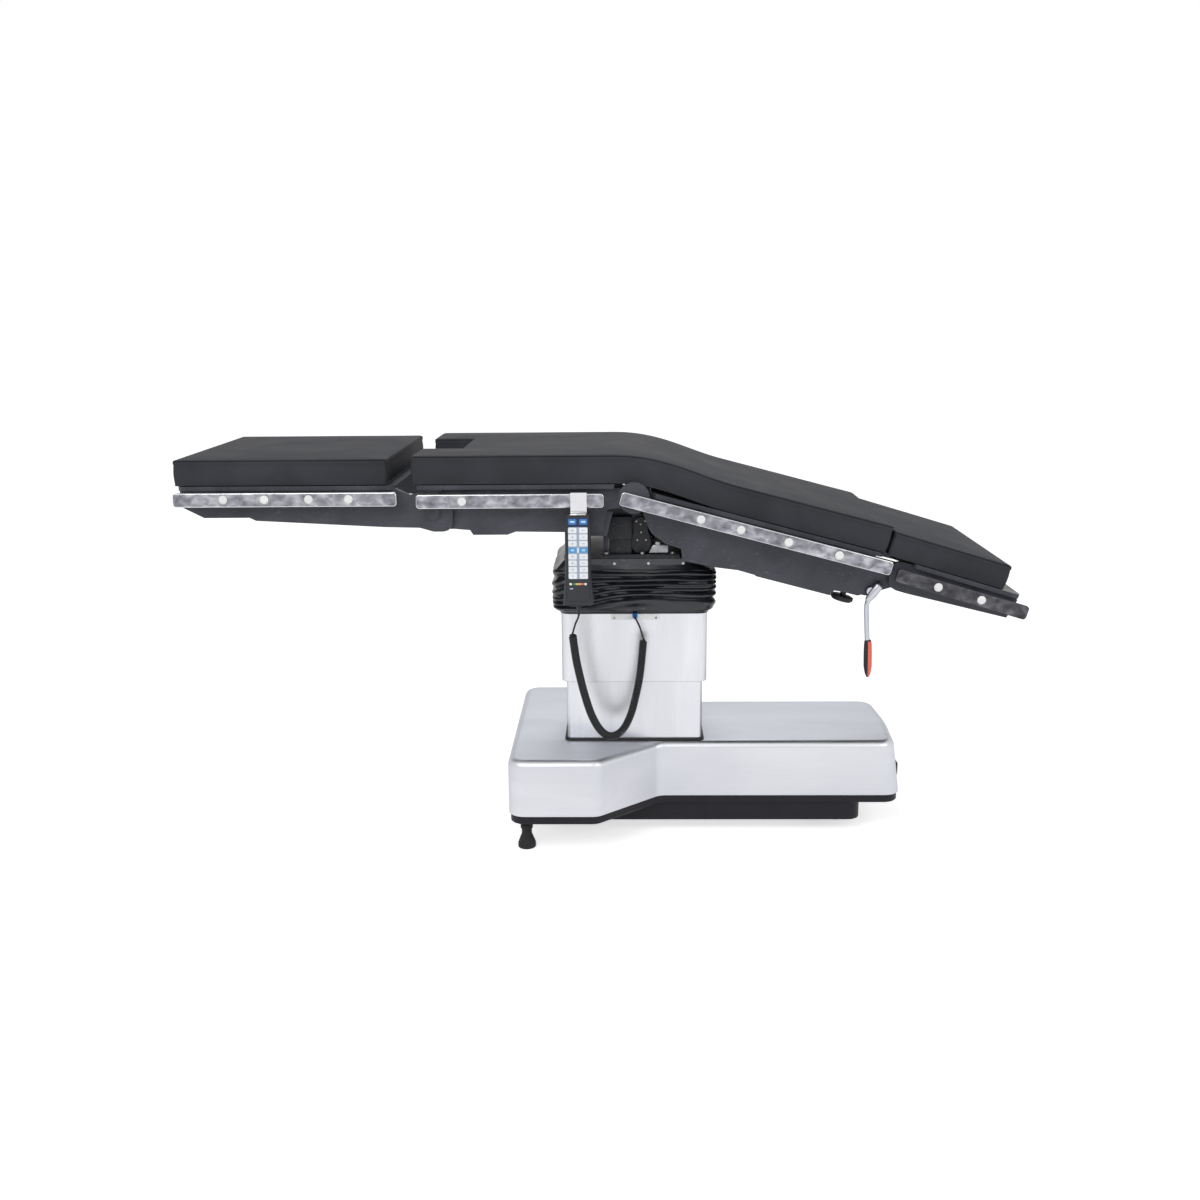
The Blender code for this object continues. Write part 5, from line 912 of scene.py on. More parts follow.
@dataclass
class Cushion:
    """A foam pad in coated cloth: flat sides, a welt along its top edge and a slight crown."""

    name: str
    start: float
    end: float
    half: float
    thickness: float
    place: Callable[[float, float, float], Vector]
    notch: Pair | None = None
    cell: float = 0.011
    edge: float = 0.007
    corner: float = 0.01
    crown: float = 0.004
    crown_reach: float = 0.11
    softness: float = 0.0011
    ease: float = 0.0022
    crease: float = 0.0022
    foot: float = 0.003
    foot_reach: float = 0.004
    welt_radius: float = 0.0011
    welt_step: float = 0.02
    bend: Pair | None = None
    levels: tuple[float, ...] = (0.0, 0.02, 0.06, 0.14, 0.28, 0.45, 0.62, 0.78, 0.92)

    def lines(self, stops: Sequence[float]) -> list[float]:
        """Grid lines, close together beside each stop.

        Args:
            stops: places along one side where the outline turns.

        Returns:
            The lines, in order.
        """
        fine = (0.0008, 0.0022, 0.0042, self.edge, self.corner + 0.001, 0.016)
        spots = set()
        for low, high in zip(stops, stops[1:]):
            inner = [low, *(low + step for step in fine), *(high - step for step in reversed(fine)), high]
            body_low, body_high = low + fine[-1], high - fine[-1]
            count = max(1, round((body_high - body_low) / self.cell))
            inner += [body_low + (body_high - body_low) * k / count for k in range(1, count)]
            spots.update(round(value, 6) for value in inner)
        return sorted(spots)

    def depth_in(self, s: float, y: float) -> float:
        """How far inside the pad's outline a point lies.

        Args:
            s: its place along the pad.
            y: its place across.

        Returns:
            The distance, 0 on the outline.
        """
        found = min(s - self.start, self.end - s, self.half - abs(y))
        if self.notch:
            notch_end, notch_half = self.notch
            found = min(found, max(s - notch_end, abs(y) - notch_half))
        return max(found, 0.0)

    def rounded_corner(self, s: float, y: float) -> Pair:
        """Pull a point near one of the outline's corners onto its rounding.

        Args:
            s: its place along the pad.
            y: its place across.

        Returns:
            Where it goes.
        """
        spots = [(self.start, self.half, 1), (self.end, self.half, -1)]
        if self.notch:
            spots.append((self.start, -self.notch[1], 1))
        for corner_s, corner_y, way in spots:
            across = abs(y)
            inward = 1 if corner_y > 0 else -1
            centre = (corner_s + way * self.corner, abs(corner_y) - inward * self.corner)
            ds, dy = s - centre[0], across - centre[1]
            if ds * way < 0 and dy * inward > 0 and abs(ds) <= self.corner * 1.001 and abs(dy) <= self.corner * 1.001:
                scale = max(abs(ds), abs(dy)) / math.hypot(ds, dy)
                across = centre[1] + dy * scale
                return centre[0] + ds * scale, math.copysign(across, y)
        return s, y

    def top(self, s: float, y: float) -> float:
        """The height of the top face: rounded at the rim, crowned, and softly uneven.

        Args:
            s: the place along the pad.
            y: the place across.

        Returns:
            The height over the underside.
        """
        inside = self.depth_in(s, y)
        drop = 0.0
        if inside < self.edge:
            drop = self.edge - math.sqrt(max(self.edge ** 2 - (self.edge - inside) ** 2, 0))
        swell = self.crown * min(1.0, inside / self.crown_reach) ** 0.6
        soft = noise.noise(Vector((s * 9, y * 9, self.thickness * 50))) * self.softness * min(1.0, inside / 0.04)
        return self.thickness - self.crown - drop + swell + soft

    def side_swell(self, s: float, y: float, share: float) -> float:
        """How far the side stands out, with creases where the pad bends.

        Args:
            s: the place along the pad.
            y: the place across.
            share: the share of the side's height.

        Returns:
            The distance outwards, negative for inwards.
        """
        swell = self.ease * (math.sin(math.pi * share) - 1.0)
        if self.bend:
            low, high = self.bend
            middle, spread = (low + high) / 2, (high - low) / 2
            near = max(0.0, 1.0 - abs(s - middle) / spread)
            ripple = math.sin(s * 330 + 3 * noise.noise(Vector((s * 30, share * 4, y)))) ** 3
            swell += self.crease * near * ripple * (1.0 - share) ** 0.6
        return swell

    def build(self, finish: Material) -> Piece:
        """Build the pad.

        Args:
            finish: its cloth.

        Returns:
            The pad.
        """
        stops = [self.start, *([self.notch[0]] if self.notch else []), self.end]
        breadth = [-self.half, *([-self.notch[1], self.notch[1]] if self.notch else []), self.half]
        rows, columns = self.lines(stops), self.lines(breadth)
        rim = self.thickness - self.crown - self.edge
        cage = bmesh.new()
        tops, bottoms, walls = {}, {}, {}

        def inside(i: int, j: int) -> bool:
            """Whether a cell of the grid belongs to the pad."""
            if not (0 <= i < len(rows) - 1 and 0 <= j < len(columns) - 1):
                return False
            if not self.notch:
                return True
            s = (rows[i] + rows[i + 1]) / 2
            y = (columns[j] + columns[j + 1]) / 2
            return not (s < self.notch[0] and abs(y) < self.notch[1])

        def outward(i: int, j: int) -> Vector:
            """The way out of the pad at a corner of the grid, or no way inside it."""
            around = {(a, b): inside(i + a, j + b) for a in (-1, 0) for b in (-1, 0)}
            ds = sum((1 if a == -1 else -1) * held for (a, b), held in around.items())
            dy = sum((1 if b == -1 else -1) * held for (a, b), held in around.items())
            return Vector((ds, dy)).normalized() if ds or dy else Vector((0, 0))

        def vertex(i: int, j: int, height: float, pull: float) -> Corner:
            """A new vertex over a corner of the grid, pulled outwards."""
            s, y = self.rounded_corner(rows[i], columns[j])
            way = outward(i, j)
            return cage.verts.new(self.place(s + way.x * pull, y + way.y * pull, height))

        def upper(i: int, j: int) -> Corner:
            """The top face's vertex at a corner of the grid."""
            if (i, j) not in tops:
                tops[i, j] = vertex(i, j, self.top(rows[i], columns[j]), 0.0)
            return tops[i, j]

        def lower(i: int, j: int) -> Corner:
            """The underside's vertex at a corner of the grid, lifted and drawn in along the edge."""
            if (i, j) not in bottoms:
                lift = self.foot * max(0.0, 1 - self.depth_in(rows[i], columns[j]) / self.foot_reach) ** 2
                bottoms[i, j] = vertex(i, j, lift, -self.ease if lift else 0.0)
            return bottoms[i, j]

        def wall(i: int, j: int) -> list[Corner]:
            """The side's vertices over a corner of the outline, from the underside to the top."""
            if (i, j) not in walls:
                s, y = self.rounded_corner(rows[i], columns[j])
                rises = [vertex(i, j, self.foot + (rim - self.foot) * share, self.side_swell(s, y, share))
                         for share in self.levels[1:]]
                walls[i, j] = [bottoms[i, j], *rises, tops[i, j]]
            return walls[i, j]

        for i in range(len(rows) - 1):
            for j in range(len(columns) - 1):
                if not inside(i, j):
                    continue
                ring = ((i, j), (i + 1, j), (i + 1, j + 1), (i, j + 1))
                cage.faces.new([upper(*corner) for corner in ring])
                cage.faces.new(list(reversed([lower(*corner) for corner in ring])))
                for k, (di, dj) in enumerate(((0, -1), (1, 0), (0, 1), (-1, 0))):
                    if inside(i + di, j + dj):
                        continue
                    first, second = wall(*ring[k]), wall(*ring[(k + 1) % 4])
                    for low in range(len(self.levels)):
                        cage.faces.new((first[low], second[low], second[low + 1], first[low + 1]))
        return solid(self.name, cage, finish, 60)

    def welt(self, name: str, finish: Material) -> Piece:
        """Build the sewn welt that follows the top edge.

        Args:
            name: the welt's name.
            finish: its cloth.

        Returns:
            The welt.
        """
        path = []
        spots = [(self.start, -self.half), (self.end, -self.half), (self.end, self.half), (self.start, self.half)]
        if self.notch:
            notch_end, notch_half = self.notch
            spots += [(self.start, notch_half), (notch_end, notch_half), (notch_end, -notch_half),
                      (self.start, -notch_half)]
        inset = self.edge * 0.22
        sized = []
        for s, y in spots:
            way_s = 1 if s == self.start else -1
            way_y = -1 if y > 0 else 1
            if self.notch and abs(y) == self.notch[1]:
                way_y = -way_y
                way_s = 1
            sized.append((s + way_s * inset, y + way_y * inset, self.corner))
        outline = arcs(sized, 5)
        for i, (s, y) in enumerate(outline):
            after_s, after_y = outline[(i + 1) % len(outline)]
            count = max(1, round(math.hypot(after_s - s, after_y - y) / self.welt_step))
            for k in range(count):
                t = k / count
                path.append(self.place(s + (after_s - s) * t, y + (after_y - y) * t,
                                       self.thickness - self.crown - self.edge * 0.30))
        rings = []
        for i, point in enumerate(path):
            along = (path[(i + 1) % len(path)] - path[i - 1]).normalized()
            side = along.cross(Vector((0, 0, 1))).normalized()
            rings.append(circle(point, side, side.cross(along), self.welt_radius, 8))
        return solid(name, skin(rings, closed=True), finish)


@dataclass
class Pads:
    """The three cushions, and the stretch of the torso pad over the back hinge."""

    finishes: Finishes
    half: float = 0.2755
    seat_bottom: float = 0.8768
    back_bottom: float = 0.0198
    head_bottom: float = 0.0405
    leg: Triple = (-1.036, -0.553, 0.062)
    head: Triple = (-0.056, 0.222, 0.06)
    torso_start: float = -0.50
    seat_reach: float = -0.044
    back_start: float = 0.215
    back_end: float = 0.583
    seat_thickness: float = 0.068
    back_thickness: float = 0.066
    handle: float = 0.10
    bend_steps: int = 24
    notch: Pair = (0.097, 0.109)
    creases: Pair = (-0.02, 0.20)

    def spine(self) -> list[tuple[float, Vector, Vector, float]]:
        """The torso pad's underside, curved over the back hinge.

        Returns:
            Rows of the length along it, the place, the way up and the thickness as a share of the seat's.
        """
        first = at(self.seat_reach, 0, self.seat_bottom)
        last = BACK.place(self.back_start, 0, self.back_bottom)
        along = (BACK.place(1, 0, 0) - BACK.place(0, 0, 0)).normalized()
        level, raised = Vector((0, 0, 1)), Vector((-along.z, 0, along.x))
        rows = [(at(self.torso_start, 0, self.seat_bottom), level, 0.0), (first, level, 0.0)]
        a, b, c, d = first, first + Vector((self.handle, 0, 0)), last - along * self.handle, last
        for k in range(1, self.bend_steps):
            t = k / self.bend_steps
            u = 1 - t
            point = a * u ** 3 + b * 3 * u * u * t + c * 3 * u * t * t + d * t ** 3
            run = (b - a) * 3 * u * u + (c - b) * 6 * u * t + (d - c) * 3 * t * t
            rows.append((point, Vector((-run.z, 0, run.x)).normalized(), t))
        rows += [(last, raised, 1.0), (BACK.place(self.back_end, 0, self.back_bottom), raised, 1.0)]
        found = []
        length = 0.0
        for i, (point, up, share) in enumerate(rows):
            length += (point - rows[i - 1][0]).length if i else 0.0
            thick = self.seat_thickness + (self.back_thickness - self.seat_thickness) * share
            found.append((length, point, up, thick / self.seat_thickness))
        return found

    def build(self) -> None:
        """Build, dress and place the cushions."""
        vinyl, welt = self.finishes.vinyl, self.finishes.welt
        start, end, thick = self.leg
        leg = Cushion("leg_cushion", start, end, self.half, thick, lambda s, y, h: at(s, y, self.seat_bottom + h))
        pad = leg.build(vinyl)
        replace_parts(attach(pad, "leg"), "leg_pad")
        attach(leg.welt("leg_cushion_welt", welt), "leg")
        LOG.info("leg cushion")

        spine = self.spine()
        total = spine[-1][0]

        def torso_place(s: float, y: float, h: float) -> Vector:
            """A point of the torso pad: s along its underside, y across and h up from it."""
            for (s0, p0, up0, k0), (s1, p1, up1, k1) in zip(spine, spine[1:]):
                if s <= s1 or s1 == total:
                    t = (s - s0) / (s1 - s0)
                    up = up0.lerp(up1, t).normalized()
                    return p0.lerp(p1, t) + Vector((0, y, 0)) + up * h * (k0 + (k1 - k0) * t)
            raise ValueError("s lies past the pad")

        torso = Cushion("torso_cushion", 0.0, total, self.half, self.seat_thickness, torso_place, self.notch,
                        bend=tuple(spine[1][0] + reach for reach in self.creases))
        pad = torso.build(vinyl)
        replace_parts(pad, "seat_pad", "pad_bend", "back_pad")
        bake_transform(pad)
        edge = torso.welt("torso_cushion_welt", welt)
        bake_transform(edge)
        LOG.info("torso cushion")

        start, end, thick = self.head
        head = Cushion("head_cushion", start, end, self.half, thick,
                       lambda s, y, h: HEAD.place(s, y, self.head_bottom + h))
        for piece, replaced in ((head.build(vinyl), ("head_pad", "head_pad_edge")),
                                (head.welt("head_cushion_welt", welt), ())):
            if replaced:
                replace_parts(piece, *replaced)
            tuple(HEAD.place(start, 0, 0.05))
            tuple(HEAD.place(start + 0.09, 0, 0.05))
            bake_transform(piece)
        LOG.info("head cushion")


@dataclass
class Base:
    """The drawn shell, its skirt and housing, and the column's collar."""

    finishes: Finishes
    leg_end: float = 0.298
    head_end: float = 0.63
    bow: float = 0.01
    draft: float = 0.015
    wide: float = 0.62
    narrow: float = 0.344
    taper: Pair = (-0.087, 0.061)
    corner: float = 0.04
    top: float = 0.235
    bottom: float = 0.098
    edge: float = 0.018
    border: float = 0.003
    sheet: float = 0.0025
    arc: int = 10
    edge_steps: int = 9
    lip: float = 0.0012
    hole_play: float = 0.0004
    hole_span: Pair = (0.20, 0.25)
    skirt_foot: float = 0.078
    skirt_insets: Triple = (0.006, 0.004, 0.012)
    housing_ends: Pair = (-0.205, 0.553)
    housing_half: float = 0.1585
    housing_corner: float = 0.03
    housing_span: Pair = (0.03, 0.0977)
    housing_wall: float = 0.004
    foot_ends: Pair = (-0.259, 0.505)
    foot_halves: Pair = (0.25, 0.066)
    pad: Profile = (
        (0.0, 0.0), (0.0196, 0.0), (0.0212, 0.0016), (0.0216, 0.006), (0.021, 0.012), (0.0184, 0.019),
        (0.0146, 0.029), (0.0128, 0.033), (0.0122, 0.035), (0.0122, 0.047), (0.0146, 0.0485), (0.0148, 0.057),
        (0.0118, 0.06), (0.0, 0.06))
    stem: Profile = ((0.0, 0.0602), (0.011, 0.0602), (0.011, 0.15), (0.0, 0.15))

    def outline(self, inset: float = 0.0, draft: float = 0.0) -> Outline:
        """The base seen from above.

        Args:
            inset: how far inside the shell's side.
            draft: how much further out the head end stands.

        Returns:
            The outline.
        """
        wide, narrow = self.wide / 2 - inset, self.narrow / 2 - inset
        head, leg = self.head_end - inset + draft, -self.leg_end + inset
        corner = max(self.corner - inset, self.corner / 3)
        slope = math.atan2((self.wide - self.narrow) / 2, self.taper[1] - self.taper[0])
        shift = inset * math.tan(slope / 2)
        half = [(leg, -wide, corner), (self.taper[0] - shift, -wide, corner),
                (self.taper[1] - shift, -narrow, corner + 2 * inset), (head, -narrow, corner)]
        bow = (head + self.bow, 0, self.wide)
        return arcs([*half, bow, *[(x, -y, radius) for x, y, radius in reversed(half)]], self.arc)

    def ring(self, z: float, inset: float = 0.0, draft: float = 0.0) -> Ring:
        """The outline as a ring at a height."""
        return [at(x, y, z) for x, y in self.outline(inset, draft)]

    def build(self) -> None:
        """Build, dress and place the base's pieces."""
        self.shell()
        self.skirt()
        self.housing()
        self.feet()
        LOG.info("base")

    def shell(self) -> None:
        """The drawn shell, open below, with a hole for the column."""
        sheet = self.sheet
        outer = [self.ring(self.bottom, self.lip, self.draft), self.ring(self.bottom + self.lip, 0.0, self.draft),
                 self.ring(self.top - self.edge)]
        turns = [math.pi / 2 * k / self.edge_steps for k in range(1, self.edge_steps + 1)]
        outer += [self.ring(self.top - self.edge * (1 - math.sin(t)), self.edge * (1 - math.cos(t))) for t in turns]
        outer.append(self.ring(self.top, self.edge + self.border))
        inner = [self.ring(self.top - sheet, self.edge + self.border), self.ring(self.top - self.edge, sheet),
                 self.ring(self.bottom, sheet, self.draft)]
        cage = bmesh.new()
        outside = [[cage.verts.new(point) for point in ring] for ring in outer]
        inside = [[cage.verts.new(point) for point in ring] for ring in inner]
        strips(cage, outside)
        cage.faces.new(outside[-1])
        strips(cage, inside)
        cage.faces.new(list(reversed(inside[0])))
        strips(cage, (inside[-1], outside[0]))
        shell = solid("base_shell", cage, self.finishes.shell, 40)
        hole = Column.outline(Column.sections[2] - self.hole_play)
        cutter = solid("cutter", skin([[at(x, y, z) for x, y in hole] for z in self.hole_span]), self.finishes.shell)
        step = shell.modifiers.new("hole", "BOOLEAN")
        step.operation = "DIFFERENCE"
        step.object = cutter
        shell = settled(shell, "base_shell")
        shell.data.set_sharp_from_angle(angle=math.radians(40))
        bpy.data.objects.remove(cutter, do_unlink=True)
        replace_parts(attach(shell, "base"), "base_cover")

    def skirt(self) -> None:
        """The bumper strip under the shell."""
        low, high = self.skirt_foot, self.bottom - GAP
        chamfer, face, back = self.skirt_insets
        rings = [self.ring(z, inset, self.draft) for z, inset in
                 ((low, chamfer), (low + 0.002, face), (high, face), (high, back), (low, back))]
        skirt = solid("bumper_skirt", skin(rings, closed=True), self.finishes.housing)
        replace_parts(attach(skirt, "base"), "base_skirt")

    def housing(self) -> None:
        """The black wall round the casters."""
        low, high = self.housing_span
        rings = []
        for z, inset in ((low, 0.001), (low + 0.001, 0.0), (high, 0.0), (high, self.housing_wall),
                         (low, self.housing_wall)):
            x0, x1 = self.housing_ends[0] + inset, self.housing_ends[1] - inset
            y1, radius = self.housing_half - inset, self.housing_corner - inset
            rings.append([at(x, y, z) for x, y in rectangle((x0, -y1), (x1, y1), radius, self.arc)])
        housing = solid("caster_housing", skin(rings, closed=True), self.finishes.housing)
        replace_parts(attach(housing, "base"), "lower_housing")

    def feet(self) -> None:
        """The four floor locks: a rubber pad under a steel stem."""
        up = Vector((0, 0, 1))
        for end, x, half in zip(("leg", "head"), self.foot_ends, self.foot_halves):
            for side, word in SIDES:
                name, place = f"{end}_{word}", at(x, side * half, 0)
                foot = solid(f"floor_lock_pad_{name}", turned(self.pad, place, up, 36), self.finishes.rubber)
                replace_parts(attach(foot, f"foot_{name}"), f"brake_foot_{name}")
                stem = solid(f"floor_lock_stem_{name}", turned(self.stem, place, up, 28), self.finishes.bright)
                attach(stem, f"foot_{name}")


@dataclass
class Column:
    """Three telescoping sleeves, the collar at the base, and the connector plate."""

    finishes: Finishes
    fasteners: Fasteners
    wall: float = 0.0025
    rim: float = 0.0008
    collar_span: Pair = (0.2353, 0.2405)
    collar_reach: float = 0.0062
    collar_play: float = 0.0004
    plate_face: float = -0.1653
    plate_ends: Pair = (-0.055, 0.06)
    plate_heights: Pair = (0.5385, 0.5528)
    plate_sheet: float = 0.002
    plug: Profile = (
        (0.0, 0.0), (0.0064, 0.0), (0.0064, 0.0045), (0.0056, 0.0052), (0.0056, 0.0075), (0.006, 0.008),
        (0.0056, 0.013), (0.0044, 0.0156), (0.0, 0.0158))
    # The upper sleeve's half length, half depth and corner, and how far inside it each sleeve lies.
    section: ClassVar[Triple] = (0.1735, 0.165, 0.022)
    sections: ClassVar[Triple] = (0.0, 0.00525, 0.0105)

    @classmethod
    def outline(cls, inset: float) -> Outline:
        """A sleeve's section, inside the upper sleeve's by an inset."""
        length, depth, corner = (size - inset for size in cls.section)
        return rectangle((-length, -depth), (length, depth), corner, 10)

    def rings(self, levels: Sequence[Pair]) -> list[Ring]:
        """Sections as rings, from pairs of inset and height."""
        return [[at(x, y, z) for x, y in self.outline(inset)] for inset, z in levels]

    def sleeve(self, name: str, inset: float, low: float, high: float) -> Piece:
        """One sleeve with softened rims.

        Args:
            name: the sleeve's name.
            inset: how far inside the upper sleeve it lies.
            low: its foot.
            high: its top.

        Returns:
            The sleeve.
        """
        wall, rim = inset + self.wall, self.rim
        levels = [(inset + rim, low), (inset, low + rim), (inset, high - rim), (inset + rim, high), (wall, high),
                  (wall, low)]
        return solid(name, skin(self.rings(levels), closed=True), self.finishes.column)

    def build(self) -> None:
        """Build, dress and place the column's pieces."""
        spans = (("column_sleeve_upper", "upper_sleeve", "column_top", 0.385, 0.60),
                 ("column_sleeve_middle", "middle_sleeve", "middle_stage", 0.392, 0.512),
                 ("column_sleeve_lower", "lower_sleeve", "base", 0.1086, 0.466))
        for (name, node, body, low, high), inset in zip(spans, self.sections):
            piece = self.sleeve(name, inset, low, high)
            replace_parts(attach(piece, body), node)
        low, high = self.collar_span
        outer, inner = self.sections[2] - self.collar_reach, self.sections[2] - self.collar_play
        levels = [(outer, low), (outer + 0.0006, low + 0.002), (outer + 0.0024, high), (inner, high), (inner, low)]
        collar = solid("column_collar", skin(self.rings(levels), closed=True), self.finishes.rubber)
        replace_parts(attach(collar, "base"), "column_gasket")
        self.connector()
        LOG.info("column")

    def connector(self) -> None:
        """The white plate with its screws, and the round blue plug."""
        face = self.plate_face
        outline = rectangle(*zip(self.plate_ends, self.plate_heights), 0.002, 4)
        rings = [[at(x, y, z) for x, z in outline] for y in (face, face - self.plate_sheet)]
        plate = solid("connector_plate", skin(rings), self.finishes.white)
        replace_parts(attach(plate, "column_top"), "socket_plate")
        spots = [at(x, face - 0.0025, 0.5435) for x in (-0.047, 0.052)]
        self.fasteners.put("connector_plate_screws", spots, (0.0026, 0.0012), Axis.NEAR, self.finishes.plated,
                           "column_top")
        back = at(PLUG_X, face - self.plate_sheet - GAP, PLUG_Z)
        plug = solid("cord_connector", turned(self.plug, back, Vector((0, -1, 0)), 32), self.finishes.blue)
        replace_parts(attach(plug, "column_top"), "handset_plug")


@dataclass
class Boot:
    """The folded rubber boot between the sleeve and the band, almost straight-sided, with long soft folds.

    The lengths, depths and corners are those of its section at the foot and at the top, and its sides swell between.
    """

    finishes: Finishes
    bottom: float = 0.553
    collar: float = 0.006
    top: float = 0.687
    clamp: float = 0.6637
    folds: float = 6.0
    fold_depth: float = 0.0125
    half_length: float = 0.1905
    swell: float = 0.0135
    rise: float = 0.07
    fall: float = 0.84
    lengths: Pair = (0.1758, 0.1452)
    depths: Pair = (0.1673, 0.1717)
    corners: Pair = (0.0243, 0.0167)
    top_shift: float = (0.132 - 0.165) / 2
    side_steps: int = 38
    long_side: float = 0.08
    rows: int = 13
    levels: int = 118
    wall: float = 0.0016

    def fullness(self, share: float) -> float:
        """How far the boot stands out: full almost at once, and closing at the top.

        Args:
            share: the share of the boot's height.

        Returns:
            The fullness, from 0 to 1.
        """
        low = 1.0 - max(0.0, 1.0 - share / self.rise) ** 2
        high = 1.0 - (max(0.0, share - self.fall) / (1.0 - self.fall)) ** 4
        return math.sqrt(max(low, 0.0)) * math.sqrt(max(high, 0.0))

    def outline(self, share: float) -> Outline:
        """The boot's smooth section, with its long sides cut into short steps.

        Args:
            share: the share of the boot's height.

        Returns:
            The outline.
        """
        full = self.fullness(share)
        middle = self.top_shift * share * (1.0 - full)
        length, depth, corner = (foot + (top - foot) * share
                                 for foot, top in (self.lengths, self.depths, self.corners))
        length += (self.half_length - length) * full
        depth += self.swell * full
        corner += self.swell * full
        rough = rectangle((middle - length, -depth), (middle + length, depth), corner, self.rows)
        outline = []
        for i, (x, y) in enumerate(rough):
            after_x, after_y = rough[(i + 1) % len(rough)]
            count = self.side_steps if math.hypot(after_x - x, after_y - y) > self.long_side else 1
            outline += [(x + (after_x - x) * k / count, y + (after_y - y) * k / count) for k in range(count)]
        return outline

    def fold(self, around: Vector, share: float) -> float:
        """The folds' height, about -1.25 in a deep crease and 0.75 on a ridge.

        Args:
            around: the place round the boot.
            share: the share of the boot's height.

        Returns:
            The height, as a multiple of half the folds' depth.
        """
        drift = 1.5 * noise.noise(around * 0.6 + Vector((0.0, 0.0, share * 1.4)))
        drift += 0.22 * noise.noise(around * 1.7 + Vector((5.0, 0.0, share * 3.0)))
        ridge = abs(math.sin(math.pi * (self.folds * share + drift)))
        strength = 0.78 + 0.5 * noise.noise(around * 2.1 + Vector((0.0, 9.0, share * 5.0)))
        return (2.0 * ridge - 1.25) * max(0.25, min(1.0, strength))

    def ring(self, share: float, z: float, inward: float) -> Ring:
        """The boot's section with its folds.

        Args:
            share: its share of the boot's height.
            z: its height.
            inward: how far inside the outer face.

        Returns:
            The ring.
        """
        outline = self.outline(share)
        held = min(1.0, share * 9.0, (1.0 - share) * 12.0)
        ring = []
        for i, (x, y) in enumerate(outline):
            before, after = outline[i - 1], outline[(i + 1) % len(outline)]
            along = Vector((after[0] - before[0], after[1] - before[1])).normalized()
            out = Vector((along.y, -along.x))
            around = Vector((x, y, 0.0)) * 7.0
            grow = self.fold_depth * 0.5 * self.fold(around, share) * held
            pucker = 0.0009 * noise.noise(Vector((x * 60, y * 60, share * 9))) * held
            sag = 0.0035 * noise.noise(around * 0.6 + Vector((2.0, 0.0, share))) * held
            grow += pucker - inward
            ring.append(at(x + out.x * grow, y + out.y * grow, z + sag))
        return ring

    def build(self) -> None:
        """Build, dress and place the boot."""
        low = self.bottom + self.collar
        count = self.levels
        spans = [(0.0, self.bottom), (0.0, low - 0.001)]
        spans += [(k / count, low + (self.clamp - low) * (k / count)) for k in range(1, count)]
        spans += [(1.0, self.clamp), (1.0, self.top)]
        outside = [self.ring(share, z, 0.0) for share, z in spans]
        inside = [self.ring(share, z, self.wall) for share, z in reversed(spans[::6] + [spans[-1]])]
        boot = solid("folded_boot", skin(outside + inside, closed=True), self.finishes.boot, 80)
        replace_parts(boot, "bellows")
        tuple(at(0, 0, low))
        tuple(at(0, 0, self.clamp))
        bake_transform(boot)
        LOG.info("boot")


